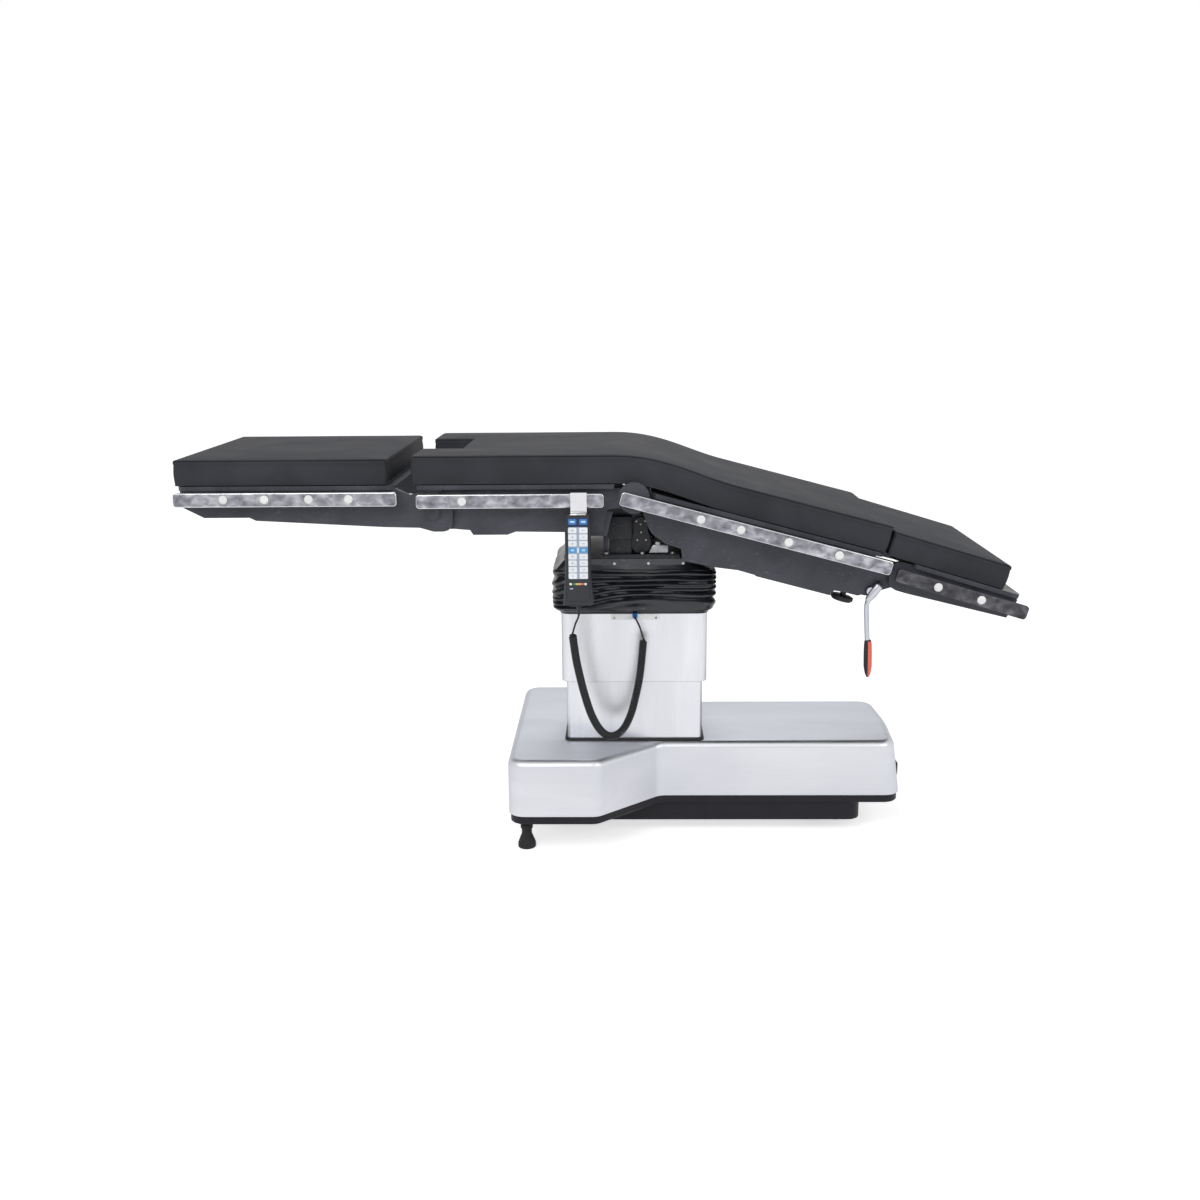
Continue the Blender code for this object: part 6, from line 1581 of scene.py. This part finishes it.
@dataclass
class HandControl:
    """The hand control: flared case, raised face, film panel, keys and lamps."""

    finishes: Finishes
    plates: Plates
    x: float = -0.125
    top: float = 0.816
    height: float = 0.204
    depth: float = 0.026
    back: float = -0.3137
    half_top: float = 0.027
    half_waist: float = 0.0285
    half_foot: float = 0.0345
    face_top: float = 0.0215
    face_foot: float = 0.025
    rows: tuple[float, ...] = (0.0327, 0.0475, 0.0623, 0.0915, 0.106, 0.1208, 0.1352)
    columns: Pair = (-0.0114, 0.0128)
    navy_row: float = 0.0135
    sky_row: float = 0.077
    lamp_row: float = 0.1535
    middle: float = 0.0007
    film_rise: float = 0.0003
    key_rise: float = 0.0008

    def spot(self, across: float, down: float, out: float) -> Vector:
        """A point of the hand control, from the middle of its top edge: across, down its face, and out of its back."""
        return at(self.x + across, self.back - out, self.top - down)

    def plate_row(self, name: str, spots: Sequence[Pair], size: tuple[float, float, float, float],
                  finish: Material, out: float) -> None:
        """Set thin rounded plates on the face.

        Args:
            name: the end of the piece's name.
            spots: each plate's middle, across and down.
            size: width, length, corner radius and rise.
            finish: the material.
            out: the height of the face that they lie on.
        """
        width, length, corner, rise = size
        values = {"Width": width, "Length": length, "Corner": corner, "Rise": rise, "Turn": Axis.NEAR.value,
                  "Finish": finish}
        points = [self.spot(across, down, out) for across, down in spots]
        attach(self.plates.nodes.apply(f"hand_control_{name}", points, values), "seat")

    def case(self) -> Piece:
        """The case: narrow at the top, flared at its foot, with a raised face and rounded edges.

        Returns:
            The case.
        """
        def outline(inset: float) -> Outline:
            """The case's outline."""
            top, foot, waist = inset, self.height - inset, self.height * 0.66
            half = [(self.half_top - inset, top, 0.008 - inset), (self.half_waist - inset, 0.03, 0.02),
                    (self.half_waist - inset, waist, 0.05), (self.half_foot - inset, foot, 0.007 - inset)]
            return arcs([*half, *[(-across, down, radius) for across, down, radius in reversed(half)]], 6)

        def face(inset: float) -> Outline:
            """The raised face's outline."""
            top, foot = 0.0035 + inset, 0.1925 - inset
            corners = [(self.face_top - inset, top, 0.005), (self.face_foot - inset, foot, 0.005)]
            return arcs([*corners, *[(-across, down, radius) for across, down, radius in reversed(corners)]], 6)

        levels = [(0.0022, 0.0), (0.0006, 0.0006), (0.0, 0.0022), (0.0, self.depth - 0.0075),
                  (0.0008, self.depth - 0.005), (0.0026, self.depth - 0.003)]
        cage = skin([[self.spot(*point, out) for point in outline(inset)] for inset, out in levels])
        levels = [(0.0, self.depth - 0.0035), (0.0, self.depth - 0.0008), (0.0008, self.depth)]
        skin([[self.spot(*point, out) for point in face(inset)] for inset, out in levels], cage=cage)
        return solid("hand_control_case", cage, self.finishes.cover, 40)

    def build(self) -> None:
        """Build, dress and place the hand control."""
        look, face = self.finishes, self.depth
        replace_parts(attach(self.case(), "seat"), "handset")
        clip = rounded_box(at(self.x - 0.0165, self.back - 0.0215, self.top + 0.0003),
                           at(self.x + 0.0185, self.back - 0.001, self.top + 0.0018), 0.0006, 2)
        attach(solid("hand_control_clip", clip, look.bright), "seat")
        on_film = face + self.film_rise
        on_key = on_film + self.key_rise
        white = [(across, down) for down in self.rows for across in self.columns]
        navy, sky = ([(across, down) for across in self.columns] for down in (self.navy_row, self.sky_row))
        film, key = (0.002, self.film_rise), (0.0022, self.key_rise)
        lamps = (("green", -0.0075, look.lamp_green), ("yellow", -0.002, look.lamp_yellow),
                 ("orange", 0.0038, look.lamp_orange), ("red", 0.0098, look.red))
        for name, spots, size, finish, out in (
                ("film_top", [(self.middle, 0.0152)], (0.041, 0.0195, *film), look.navy, face),
                ("film", [(self.middle, 0.0838)], (0.043, 0.1165, *film), look.panel, face),
                ("keys_white", white, (0.0186, 0.0124, *key), look.key_white, on_film),
                ("keys_navy", navy, (0.018, 0.0125, *key), look.key_navy, on_film),
                ("keys_sky", sky, (0.019, 0.0118, *key), look.key_sky, on_film),
                ("key_lines", navy, (0.0105, 0.0042, 0.001, 0.0001), look.glow, on_key),
                ("key_glow", sky, (0.007, 0.0042, 0.001, 0.0001), look.glow, on_key),
                ("film_middle", [(self.middle, self.sky_row)], (0.004, 0.011, 0.001, 0.0004), look.key_white,
                 on_film),
                ("key_bars", white, (0.0058, 0.0013, 0.0003, 0.0001), look.mark, on_key),
                ("key_posts", white[::2], (0.0012, 0.0056, 0.0003, 0.00012), look.mark, on_key),
                *((f"lamp_{word}", [(across, self.lamp_row)], (0.0056, 0.0042, 0.001, 0.0004), finish, face)
                  for word, across, finish in lamps),
                ("dots", [(across, self.lamp_row) for across in (-0.0165, 0.0165)], (0.0056, 0.005, 0.002, 0.0004),
                 look.white, face),
                ("bar", [(-0.015, 0.164)], (0.008, 0.0028, 0.0008, 0.0003), look.mark, face)):
            self.plate_row(name, spots, size, finish, out)
        LOG.info("hand control")


@dataclass
class Cord:
    """The coiled cord, in the two stretches that hang from the hand control and from the column."""

    finishes: Finishes
    diameter: float = 0.0044
    curl_radius: float = 0.0073
    curls: int = 120
    curl_points: int = 14
    plug_face: float = -0.1836
    lead: float = 0.006
    mouth: Point = (-0.125, -0.3267, 0.816)
    mouth_drop: float = 0.2043
    free: tuple[Point, ...] = ((-0.125, -0.3285, 0.588), (-0.133, -0.328, 0.568), (-0.1385, -0.323, 0.549))
    loop: tuple[Point, ...] = (
        (-0.1345, -0.315, 0.495), (-0.129, -0.309, 0.46), (-0.116, -0.298, 0.398), (-0.099, -0.284, 0.338),
        (-0.078, -0.268, 0.296), (-0.055, -0.255, 0.279), (-0.03, -0.243, 0.288), (-0.011, -0.234, 0.32),
        (0.001, -0.227, 0.36), (0.013, -0.216, 0.417))
    climb: tuple[Point, ...] = ((0.02, -0.204, 0.506), (0.013, -0.201, 0.529), (0.005, -0.196, 0.545))
    relief: Profile = (
        (0.0, 0.0), (0.0052, 0.0), (0.005, 0.006), (0.004, 0.016), (0.003, 0.022), (0.0, 0.022))

    def route(self) -> tuple[list[Vector], list[Vector]]:
        """Lay out the cord.

        Returns:
            The points of the stretch at the hand control, and of the rest.
        """
        down = Vector((0, 0, -1))
        mouth = at(*self.mouth) + down * self.mouth_drop
        first = smooth_route([mouth, mouth + down * self.lead, *[at(*point) for point in self.free]], 6)
        face = at(PLUG_X, self.plug_face - GAP, PLUG_Z)
        last = smooth_route([*[at(*point) for point in self.climb], face - Vector((0, 1, 0)) * self.lead, face], 6)
        leaving = (first[-1] - first[-2]).normalized()
        arriving = (last[1] - last[0]).normalized()
        spine = smooth_route([first[-1] + leaving * self.lead, *[at(*point) for point in self.loop],
                              last[0] - arriving * self.lead], 24)
        return first, [first[-1] + leaving * GAP, *self.curled(spine), *last]

    def curled(self, spine: Sequence[Vector]) -> list[Vector]:
        """Wind the curls round a line, at an even pitch and with straight ends.

        Args:
            spine: the line's points.

        Returns:
            The wire's points.
        """
        lengths = [0.0]
        for a, b in zip(spine, spine[1:]):
            lengths.append(lengths[-1] + (b - a).length)
        count = self.curls * self.curl_points
        coil = []
        side = Vector((0, 1, 0))
        spot = 0
        for k in range(count + 1):
            wanted = lengths[-1] * k / count
            while spot < len(spine) - 2 and lengths[spot + 1] < wanted:
                spot += 1
            run = spine[spot + 1] - spine[spot]
            centre = spine[spot] + run * ((wanted - lengths[spot]) / (lengths[spot + 1] - lengths[spot]))
            along = run.normalized()
            side = (side - along * side.dot(along)).normalized()
            other = along.cross(side)
            turn = 2 * math.pi * k / self.curl_points
            ease = min(1.0, k / self.curl_points, (count - k) / self.curl_points)
            coil.append(centre + (side * math.cos(turn) + other * math.sin(turn)) * self.curl_radius * ease)
        return coil

    @staticmethod
    def length(path: Sequence[Vector]) -> float:
        """A path's length."""
        return sum((b - a).length for a, b in zip(path, path[1:]))

    def build(self) -> None:
        """Build, dress and place the cord."""
        first, rest = self.route()
        lead = solid("cord_lead", tube(first, self.diameter / 2, 12), self.finishes.cable)
        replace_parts(lead, "cord_handset")
        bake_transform(lead)
        coil = solid("cord_coil", tube(rest, self.diameter / 2, 10), self.finishes.cable, 60)
        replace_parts(coil, "cord_curl", "cord_plug")
        top, foot = rest[0], at(-0.05, 0, 0)
        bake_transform(coil)
        down = (first[1] - first[0]).normalized()
        relief = solid("cord_relief", turned(self.relief, first[0] - down * 0.0002, down, 20), self.finishes.cable)
        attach(relief, "seat")
        LOG.info("cord: %.2f m and %.2f m", self.length(first), self.length(rest))


@dataclass
class Lever:
    """The release lever, its grip, and the round knob."""

    finishes: Finishes
    y: float = -0.256
    pivot_back: float = -0.2446
    lean: float = 1.5
    rod_radius: float = 0.0055
    rod: Profile = ((0.536, 0.609), (0.531, 0.592), (0.532, 0.56), (0.535, 0.511), (0.5365, 0.5015))
    grip_start: Pair = (0.5365, 0.511)
    grip: Profile = (
        (0.006, 0.0), (0.0074, 0.0015), (0.0088, 0.01), (0.0094, 0.03), (0.0094, 0.062), (0.007, 0.078),
        (0.003, 0.0885), (0.0, 0.0898))
    # The red panel's first angle, sweep and steps round the grip, and how far it stands out and reaches in.
    inlay_arc: tuple[float, float, int] = (-6, 100, 12)
    inlay_depths: Pair = (0.0005, -0.001)
    knob_place: Point = (0.532, -0.195, -0.0965)
    knob_radius: float = 0.025
    knob_ribs: int = 24
    knob_profile: Profile = (
        (0.0, 0.0003), (0.007, 0.0003), (0.007, 0.013), (0.0215, 0.013), (0.0248, 0.0145), (0.025, 0.0225),
        (0.0225, 0.0258), (0.008, 0.026), (0.0, 0.025))
    rib: Profile = ((0.0, 0.0), (0.0011, 0.0004), (0.0011, 0.0082), (0.0, 0.0086))

    def build(self) -> None:
        """Build, dress and place the lever and the knob."""
        axis = BACK.place(0.578, self.y, -0.075)
        cage = turned([(0.0, 0.0), (0.01, 0.0), (0.01, 0.012), (0.0092, 0.0133), (0.0, 0.0133)],
                      Vector((axis.x, self.pivot_back + ORIGIN.y - GAP, axis.z)), Vector((0, -1, 0)), 28)
        head_top, head_foot = at(0.558, self.y, 0.64), at(0.532, self.y, 0.603)
        along = head_foot - head_top
        cage = turned([(0.0, 0.0), (0.0086, 0.0), (0.0104, 0.002), (0.0104, along.length * 0.62),
                       (0.0078, along.length * 0.86), (0.006, along.length), (0.0, along.length)],
                      head_top, along, 28, cage)
        route = smooth_route([at(x, self.y, z) for x, z in self.rod], 6)
        shaft = solid("release_lever_head", cage, self.finishes.lever, 40)
        rod = solid("release_lever_shaft", tube(route, self.rod_radius, 20), self.finishes.lever)
        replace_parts(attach(shaft, "lever"), "release_lever")
        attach(rod, "lever")
        cap = turned([(0.0, 0.0), (0.007, 0.0), (0.0088, 0.003), (0.0088, 0.006), (0.0, 0.006)],
                     head_top - along.normalized() * 0.0058, along, 28)
        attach(solid("release_lever_cap", cap, self.finishes.black), "lever")
        turn = Vector((math.sin(math.radians(self.lean)), 0, -math.cos(math.radians(self.lean))))
        start = at(self.grip_start[0], self.y, self.grip_start[1])
        grip = solid("lever_grip_body", turned([(0.0, 0.0), *self.grip], start, turn, 32), self.finishes.black)
        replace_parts(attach(grip, "lever"), "lever_grip")
        self.inlay(start, turn)
        self.knob()
        LOG.info("lever and knob")

    def inlay(self, start: Vector, along: Vector) -> None:
        """Lay the red panel on the grip's outer half.

        Args:
            start: the grip's top.
            along: the way down it.
        """
        side, other = Vector((0, -1, 0)), Vector((1, 0, 0))
        first, sweep, steps = self.inlay_arc
        arc = [math.radians(first + sweep * k / steps) for k in range(steps + 1)]
        fine = []
        for (r0, d0), (r1, d1) in zip(self.grip[1:-1], self.grip[2:-1]):
            fine += [(r0 + (r1 - r0) * k / 5, d0 + (d1 - d0) * k / 5) for k in range(5)]
        rings = []
        for radius, distance in fine[1:]:
            outer, inner = ([start + along * distance + (side * math.cos(t) + other * math.sin(t)) * (radius + depth)
                             for t in arc] for depth in self.inlay_depths)
            rings.append([*outer, *reversed(inner)])
        panel = solid("lever_grip_panel", skin(rings), self.finishes.red, 40)
        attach(panel, "lever")

    def knob(self) -> None:
        """The ribbed clamping knob under the back section."""
        centre = BACK.place(*self.knob_place)
        down = (BACK.place(0, 0, -1) - BACK.place(0, 0, 0)).normalized()
        disc = solid("clamping_knob", turned(self.knob_profile, centre, down, 48), self.finishes.black)
        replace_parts(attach(disc, "knob"), "back_knob")
        side = down.orthogonal().normalized()
        cage = bmesh.new()
        for spot in circle(centre, side, down.cross(side), self.knob_radius, self.knob_ribs):
            turned(self.rib, spot + down * 0.0143, down, 8, cage)
        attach(solid("clamping_knob_ribs", cage, self.finishes.black), "knob")


@dataclass
class Details:
    """Screws of the rails and the band, studs under the pads, and the small pieces round the tilt joint.

    A fastener's size is its radius and height. A pair of sides gives how far out from the middle a piece begins and
    ends.
    """

    finishes: Finishes
    fasteners: Fasteners
    rail_face: float = 0.3105
    rail_screw: Pair = (0.0098, 0.0024)
    rail_socket: Pair = (0.0032, 0.0006)
    pad_stud: Pair = (0.0032, 0.0026)
    band_screw: Pair = (0.0034, 0.0018)
    band_nut: Pair = (0.006, 0.0042)
    plate_stud: Pair = (0.0024, 0.0013)
    # The places of the band's screws and nuts along the table, then how far out and up they lie.
    screw_row: tuple[Triple, Pair] = ((-0.046, 0.034, 0.115), (0.1757, 0.676))
    nut_row: tuple[Triple, Pair] = ((-0.064, 0.02, 0.091), (0.1725, 0.699))
    # Each block's spans along the table, out from the middle and up, and its edges' radius.
    bracket: Block = ((0.034, 0.08), (0.158, 0.17), (0.7, 0.719), 0.002)
    bracket_slope: float = 0.55
    lug: Block = ((0.05, 0.061), (0.158, 0.17), (0.7193, 0.7265), 0.0015)
    lip: Block = ((-0.079, 0.107), (0.1705, 0.1745), (0.6873, 0.6975), 0.0012)
    gusset_sides: Pair = (WEB_BACK, WEB_BACK - 0.003)
    plate_sides: Pair = (0.1558, 0.159)
    gusset: Profile = (
        (-0.137, 0.774), (-0.137, 0.754), (-0.062, 0.754), (-0.048, 0.81), (-0.068, 0.81), (-0.078, 0.774))
    # Each lobe's middle and radius, and its arc's first angle, sweep and steps.
    lobes: tuple[tuple[float, float, float, float, float, int], ...] = (
        (0.017, 0.721, 0.0245, -205, 230, 48), (0.015, 0.767, 0.017, -28, 236, 40))
    plate_studs: Profile = (
        (0.017, 0.7475), (0.008, 0.729), (0.028, 0.729), (0.0155, 0.766), (0.006, 0.7735), (0.026, 0.7735))
    cover_ledge: float = 0.044

    def rail_screws(self) -> None:
        """White-capped screws on both sides' rails."""
        look = self.finishes
        rows = {"leg": [at(x, 0, 0.851) for x in (-0.914, -0.822, -0.723, -0.634)],
                "seat": [at(-0.382, 0, 0.844)],
                "back": [BACK.place(u, 0, -0.006) for u in (0.155, 0.247, 0.357, 0.474)],
                "head": [HEAD.place(u, 0, 0.009) for u in (0.066, 0.168)]}
        for body, middles in rows.items():
            for side, word in SIDES:
                facing = Axis.outward(side)
                spots = [Vector((point.x, ORIGIN.y + side * self.rail_face + side * 0.0012, point.z))
                         for point in middles]
                self.fasteners.put(f"{body}_rail_screws_{word}", spots, self.rail_screw, facing, look.white, body)
                spots = [spot + Vector((0, side * 0.0014, 0)) for spot in spots]
                self.fasteners.put(f"{body}_rail_sockets_{word}", spots, self.rail_socket, facing, look.plated, body)

    def studs(self) -> None:
        """Short studs that hold the pads on the decks."""
        for side, word in SIDES:
            for body, places in (("leg", (-0.96, -0.793, -0.598)), ("seat", (-0.30, -0.12))):
                self.fasteners.put(f"{body}_pad_studs_{word}", [at(x, side * 0.268, 0.8765) for x in places],
                                   self.pad_stud, Axis.UP, self.finishes.bright, body)

    def joint(self) -> None:
        """The band's screws, and the bearing plates, brackets and cover at the tilt joint."""
        look = self.finishes
        for side, word in SIDES:
            spots, nuts = ([at(x, side * out, z) for x in places]
                           for places, (out, z) in (self.screw_row, self.nut_row))
            self.fasteners.put(f"boot_band_screws_{word}", spots, self.band_screw, Axis.outward(side), look.white,
                               "cradle")
            self.bearing_plate(side, word)
            bracket = self.block(self.bracket, side)
            (start, end), _, (foot, _), _ = self.bracket
            for vert in bracket.verts:
                vert.co.x += self.bracket_slope * (vert.co.z - foot) * (at(end, 0, 0).x - vert.co.x) / (end - start)
            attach(solid(f"tilt_stop_bracket_{word}", bracket, look.plated), "cradle")
            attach(solid(f"tilt_stop_lug_{word}", self.block(self.lug, side), look.plated), "cradle")
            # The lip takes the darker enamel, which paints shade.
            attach(solid(f"boot_band_lip_{word}", self.block(self.lip, side), look.deep), "cradle")
            self.fasteners.put(f"boot_band_nuts_{word}", nuts, self.band_nut, Axis.UP, look.plated, "cradle")
            low, high = sorted(side * out for out in self.gusset_sides)
            gusset = skin([[at(x, y, z) for x, z in self.gusset] for y in (low, high)])
            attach(solid(f"seat_web_gusset_{word}", gusset, look.frame, 30), "seat")
        self.motor_cover()

    @staticmethod
    def block(sizes: Block, side: int) -> Cage:
        """A rounded block on one of the table's sides.

        Args:
            sizes: its spans and its edges' radius.
            side: the sign of y on its side.

        Returns:
            The shape.
        """
        (x0, x1), outs, (z0, z1), radius = sizes
        low, high = sorted(side * out for out in outs)
        return rounded_box(at(x0, low, z0), at(x1, high, z1), radius, 2)

    def bearing_plate(self, side: int, word: str) -> None:
        """Make the figure-of-eight plate over the pitch shaft's end, with its studs.

        Args:
            side: the sign of y on its side.
            word: the side's word.
        """
        near, far = self.plate_sides
        outline = []
        for cx, cz, radius, first, sweep, steps in self.lobes:
            turns = [math.radians(first + sweep * k / steps) for k in range(steps + 1)]
            outline += [(cx, cz, cx + radius * math.cos(t), cz + radius * math.sin(t)) for t in turns]
        rings = [[at(cx + (x - cx) * shrink, side * out, cz + (z - cz) * shrink) for cx, cz, x, z in outline]
                 for shrink, out in ((1.0, near), (1.0, far - 0.001), (0.96, far))]
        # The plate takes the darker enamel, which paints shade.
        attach(solid(f"tilt_bearing_plate_{word}", skin(rings), self.finishes.deep, 40), "cradle")
        studs = [at(x, side * (far + 0.0006), z) for x, z in self.plate_studs]
        self.fasteners.put(f"tilt_bearing_studs_{word}", studs, self.plate_stud, Axis.outward(side),
                           self.finishes.plated, "cradle")

    def motor_cover(self) -> None:
        """The tilt motor's cover with its ledge, and the upright bracket beside it."""
        low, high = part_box("tilt_motor_cover")
        ledge = low.z + self.cover_ledge
        body = rounded_box((low.x, low.y, ledge), high, 0.003, 3)
        foot = rounded_box((low.x + 0.0025, low.y + 0.0035, low.z), (high.x - 0.0015, high.y, ledge + 0.006), 0.0015,
                           2)
        mesh = bpy.data.meshes.new("foot")
        foot.to_mesh(mesh)
        foot.free()
        body.from_mesh(mesh)
        bpy.data.meshes.remove(mesh)
        # The housing takes the darker enamel, which paints shade.
        cover = solid("tilt_motor_housing", body, self.finishes.deep, 40)
        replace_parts(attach(cover, "cradle"), "tilt_motor_cover")
        bracket = rounded_box((low.x - 0.0115, low.y + 0.004, low.z), (low.x - 0.0005, high.y, low.z + 0.0765),
                              0.0012, 2)
        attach(solid("tilt_motor_bracket", bracket, self.finishes.dark_metal), "cradle")

    def build(self) -> None:
        """Place the small pieces."""
        self.rail_screws()
        self.studs()
        self.joint()


@dataclass
class Rails:
    """The accessory rails: flat bars with rounded edges."""

    finishes: Finishes
    faces: Pair = (0.3005, 0.3105)
    height: float = 0.032
    rounding: float = 0.003
    corner: float = 0.0075

    def outline(self, start: float, end: float, middle: float, inset: float) -> Outline:
        """A rail's outline from the side, with round corners.

        Args:
            start: its leg end.
            end: its head end.
            middle: its height.
            inset: how far inside its face's outline.

        Returns:
            The outline.
        """
        low, high = middle - self.height / 2 + inset, middle + self.height / 2 - inset
        return rectangle((start + inset, low), (end - inset, high), self.corner - inset, 6)

    def build(self) -> None:
        """Build, dress and place the eight rails."""
        spans = {"leg": (LEVEL, -1.028, -0.527, 0.85), "seat": (LEVEL, -0.485, -0.067, 0.844),
                 "back": (BACK, -0.03, 0.597, -0.006), "head": (HEAD, -0.032, 0.278, 0.009)}
        for body, (section, start, end, middle) in spans.items():
            for side, word in SIDES:
                low, high = sorted(side * face for face in self.faces)
                rings = []
                for k in range(-4, 5):
                    turn = math.pi / 2 * k / 4
                    inset = self.rounding * (1 - math.cos(turn))
                    depth = (low if k < 0 else high) - math.copysign(self.rounding, k) * (1 - abs(math.sin(turn)))
                    rings.append([section.place(u, depth if k else (low + high) / 2, w)
                                  for u, w in self.outline(start, end, middle, inset)])
                # The head rails take the dimmed rail steel, which paints shade.
                finish = self.finishes.shaded_head_rail if body == "head" else self.finishes.rail
                rail = solid(f"{body}_side_rail_{word}", skin(rings), finish, 50)
                # The rims get a second material: the bright steel is a painted highlight, and on the head rails the
                # dark joint enamel is painted shade.
                rail.data.materials.append(self.finishes.deep if body == "head" else self.finishes.bright)
                for face in rail.data.polygons:
                    face.material_index = int(abs(face.normal.y) < 0.97)
                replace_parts(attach(rail, body), f"{body}_rail_{word}")
        LOG.info("rails")


@dataclass
class Frame:
    """Materials of the solids that stay as they are."""

    finishes: Finishes

    def build(self, nodes: dict[str, Piece]) -> None:
        """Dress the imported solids.

        Args:
            nodes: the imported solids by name.
        """
        look = self.finishes
        groups = ((look.plated, ("base_chassis", "power_unit", "lift_cylinder", "column_head", "caster_fork")),
                  (look.frame, ("seat_frame", "leg_frame", "back_frame", "back_cover", "head_frame")),
                  # The tilt cradle and the pitch shaft take the darker enamel, which paints shade.
                  (look.cover, ("battery_pack", "seat_belly_cover")), (look.deep, ("tilt_cradle", "pitch_shaft")),
                  # The band takes the lighter enamel, which paints light.
                  (look.black, ("mains_inlet",)), (look.band, ("bellows_band",)), (look.bright, ("handset_hook",)),
                  (look.rubber, ("caster_wheel",)))
        for name, obj in nodes.items():
            for finish, starts in groups:
                if name.startswith(starts):
                    obj.data.materials.clear()
                    obj.data.materials.append(finish)
        LOG.info("solids dressed")


@dataclass
class Studio:
    """Camera, lamps and the plain pale floor."""

    lens: float = 39.0
    sensor: float = 36.0
    place: Point = (-0.0155, -3.1628, 1.2655)
    pitch: float = 0.2227
    yaw: float = -0.0217
    roll: float = -0.009
    floor_colour: Point = (0.82, 0.82, 0.83)
    floor_glow: float = 0.62
    sky_light: float = 0.55

    def camera(self) -> None:
        """Set the camera at the photograph's place."""
        cos_p, sin_p = math.cos(self.pitch), math.sin(self.pitch)
        ahead = Vector((math.sin(self.yaw) * cos_p, math.cos(self.yaw) * cos_p, -sin_p))
        right = Vector((math.cos(self.yaw), -math.sin(self.yaw), 0))
        up = right.cross(ahead)
        cos_r, sin_r = math.cos(self.roll), math.sin(self.roll)
        right, up = right * cos_r + up * sin_r, up * cos_r - right * sin_r
        data = bpy.data.cameras.new("camera")
        data.lens = self.lens
        data.sensor_width = self.sensor
        camera = linked("camera", data)
        turn = Matrix((right, up, -ahead)).transposed().to_4x4()
        camera.matrix_world = Matrix.Translation(at(*self.place)) @ turn
        bpy.context.scene.camera = camera

    @staticmethod
    def lamp(name: str, place: Point, aim: Point, size: float, power: float) -> None:
        """Hang a square soft lamp.

        Args:
            name: its name.
            place: where it hangs.
            aim: the point that it faces.
            size: its side.
            power: its watts.
        """
        data = bpy.data.lights.new(name, "AREA")
        data.size = size
        data.energy = power
        lamp = linked(name, data)
        lamp.location = place
        lamp.rotation_euler = (Vector(aim) - Vector(place)).to_track_quat("-Z", "Y").to_euler()

    def floor(self) -> None:
        """A wide pale floor that keeps the table's shadow."""
        cage = bmesh.new()
        bmesh.ops.create_grid(cage, x_segments=2, y_segments=2, size=30)
        sheet = Sheet("pale_floor", self.floor_colour, 0.9)
        sheet.set("Specular IOR Level", 0.0)
        glow = sheet.add("ShaderNodeMath")
        glow.operation = "MULTIPLY"
        sheet.tree.links.new(rays_of(sheet.tree, "Is Camera Ray", "Is Glossy Ray"), glow.inputs[0])
        glow.inputs[1].default_value = self.floor_glow
        sheet.feed("Emission Strength", glow.outputs[0])
        sheet.set("Emission Color", (1, 1, 1, 1))
        solid("floor", cage, sheet.material)

    def world(self) -> None:
        """White where it is seen, and a soft even light elsewhere."""
        world = bpy.data.worlds.new("studio")
        bpy.context.scene.world = world
        world.use_nodes = True
        tree = world.node_tree
        back = tree.nodes["Background"]
        seen = rays_of(tree, "Is Camera Ray", "Is Glossy Ray", "Is Transmission Ray")
        level = add_node(tree, "ShaderNodeMapRange", {"Value": seen, "To_Min": self.sky_light, "To_Max": 1.0})
        tree.links.new(level.outputs["Result"], back.inputs["Strength"])
        back.inputs["Color"].default_value = (1, 1, 1, 1)

    def build(self) -> None:
        """Set up the studio."""
        bpy.context.scene.view_settings.view_transform = "Standard"
        self.camera()
        self.world()
        self.floor()
        self.lamp("key", (-1.2, -2.8, 2.6), (0, 0, 0.6), 1.8, 42)
        self.lamp("fill", (2.4, -2.0, 1.9), (0.2, 0, 0.6), 1.6, 20)
        self.lamp("rim", (0.2, 2.6, 2.6), (0, 0, 0.7), 2.2, 9)


def corners(box: tuple[Vector, Vector]) -> list[list[float]]:
    """A box's corners as plain lists of numbers."""
    return [list(corner) for corner in box]


def main() -> None:
    """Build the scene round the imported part."""
    logging.basicConfig(level=logging.INFO, format="%(name)s: %(message)s")
    for obj in list(bpy.data.objects):
        bpy.data.objects.remove(obj, do_unlink=True)
    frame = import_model()
    finishes = Finishes()
    fasteners = Fasteners()
    Studio().build()
    Cord(finishes).build()
    Frame(finishes).build(frame["nodes"])
    Pads(finishes).build()
    Base(finishes).build()
    Column(finishes, fasteners).build()
    Boot(finishes).build()
    HandControl(finishes, Plates()).build()
    Lever(finishes).build()
    Rails(finishes).build()
    Details(finishes, fasteners).build()


if __name__ == "__main__":
    main()
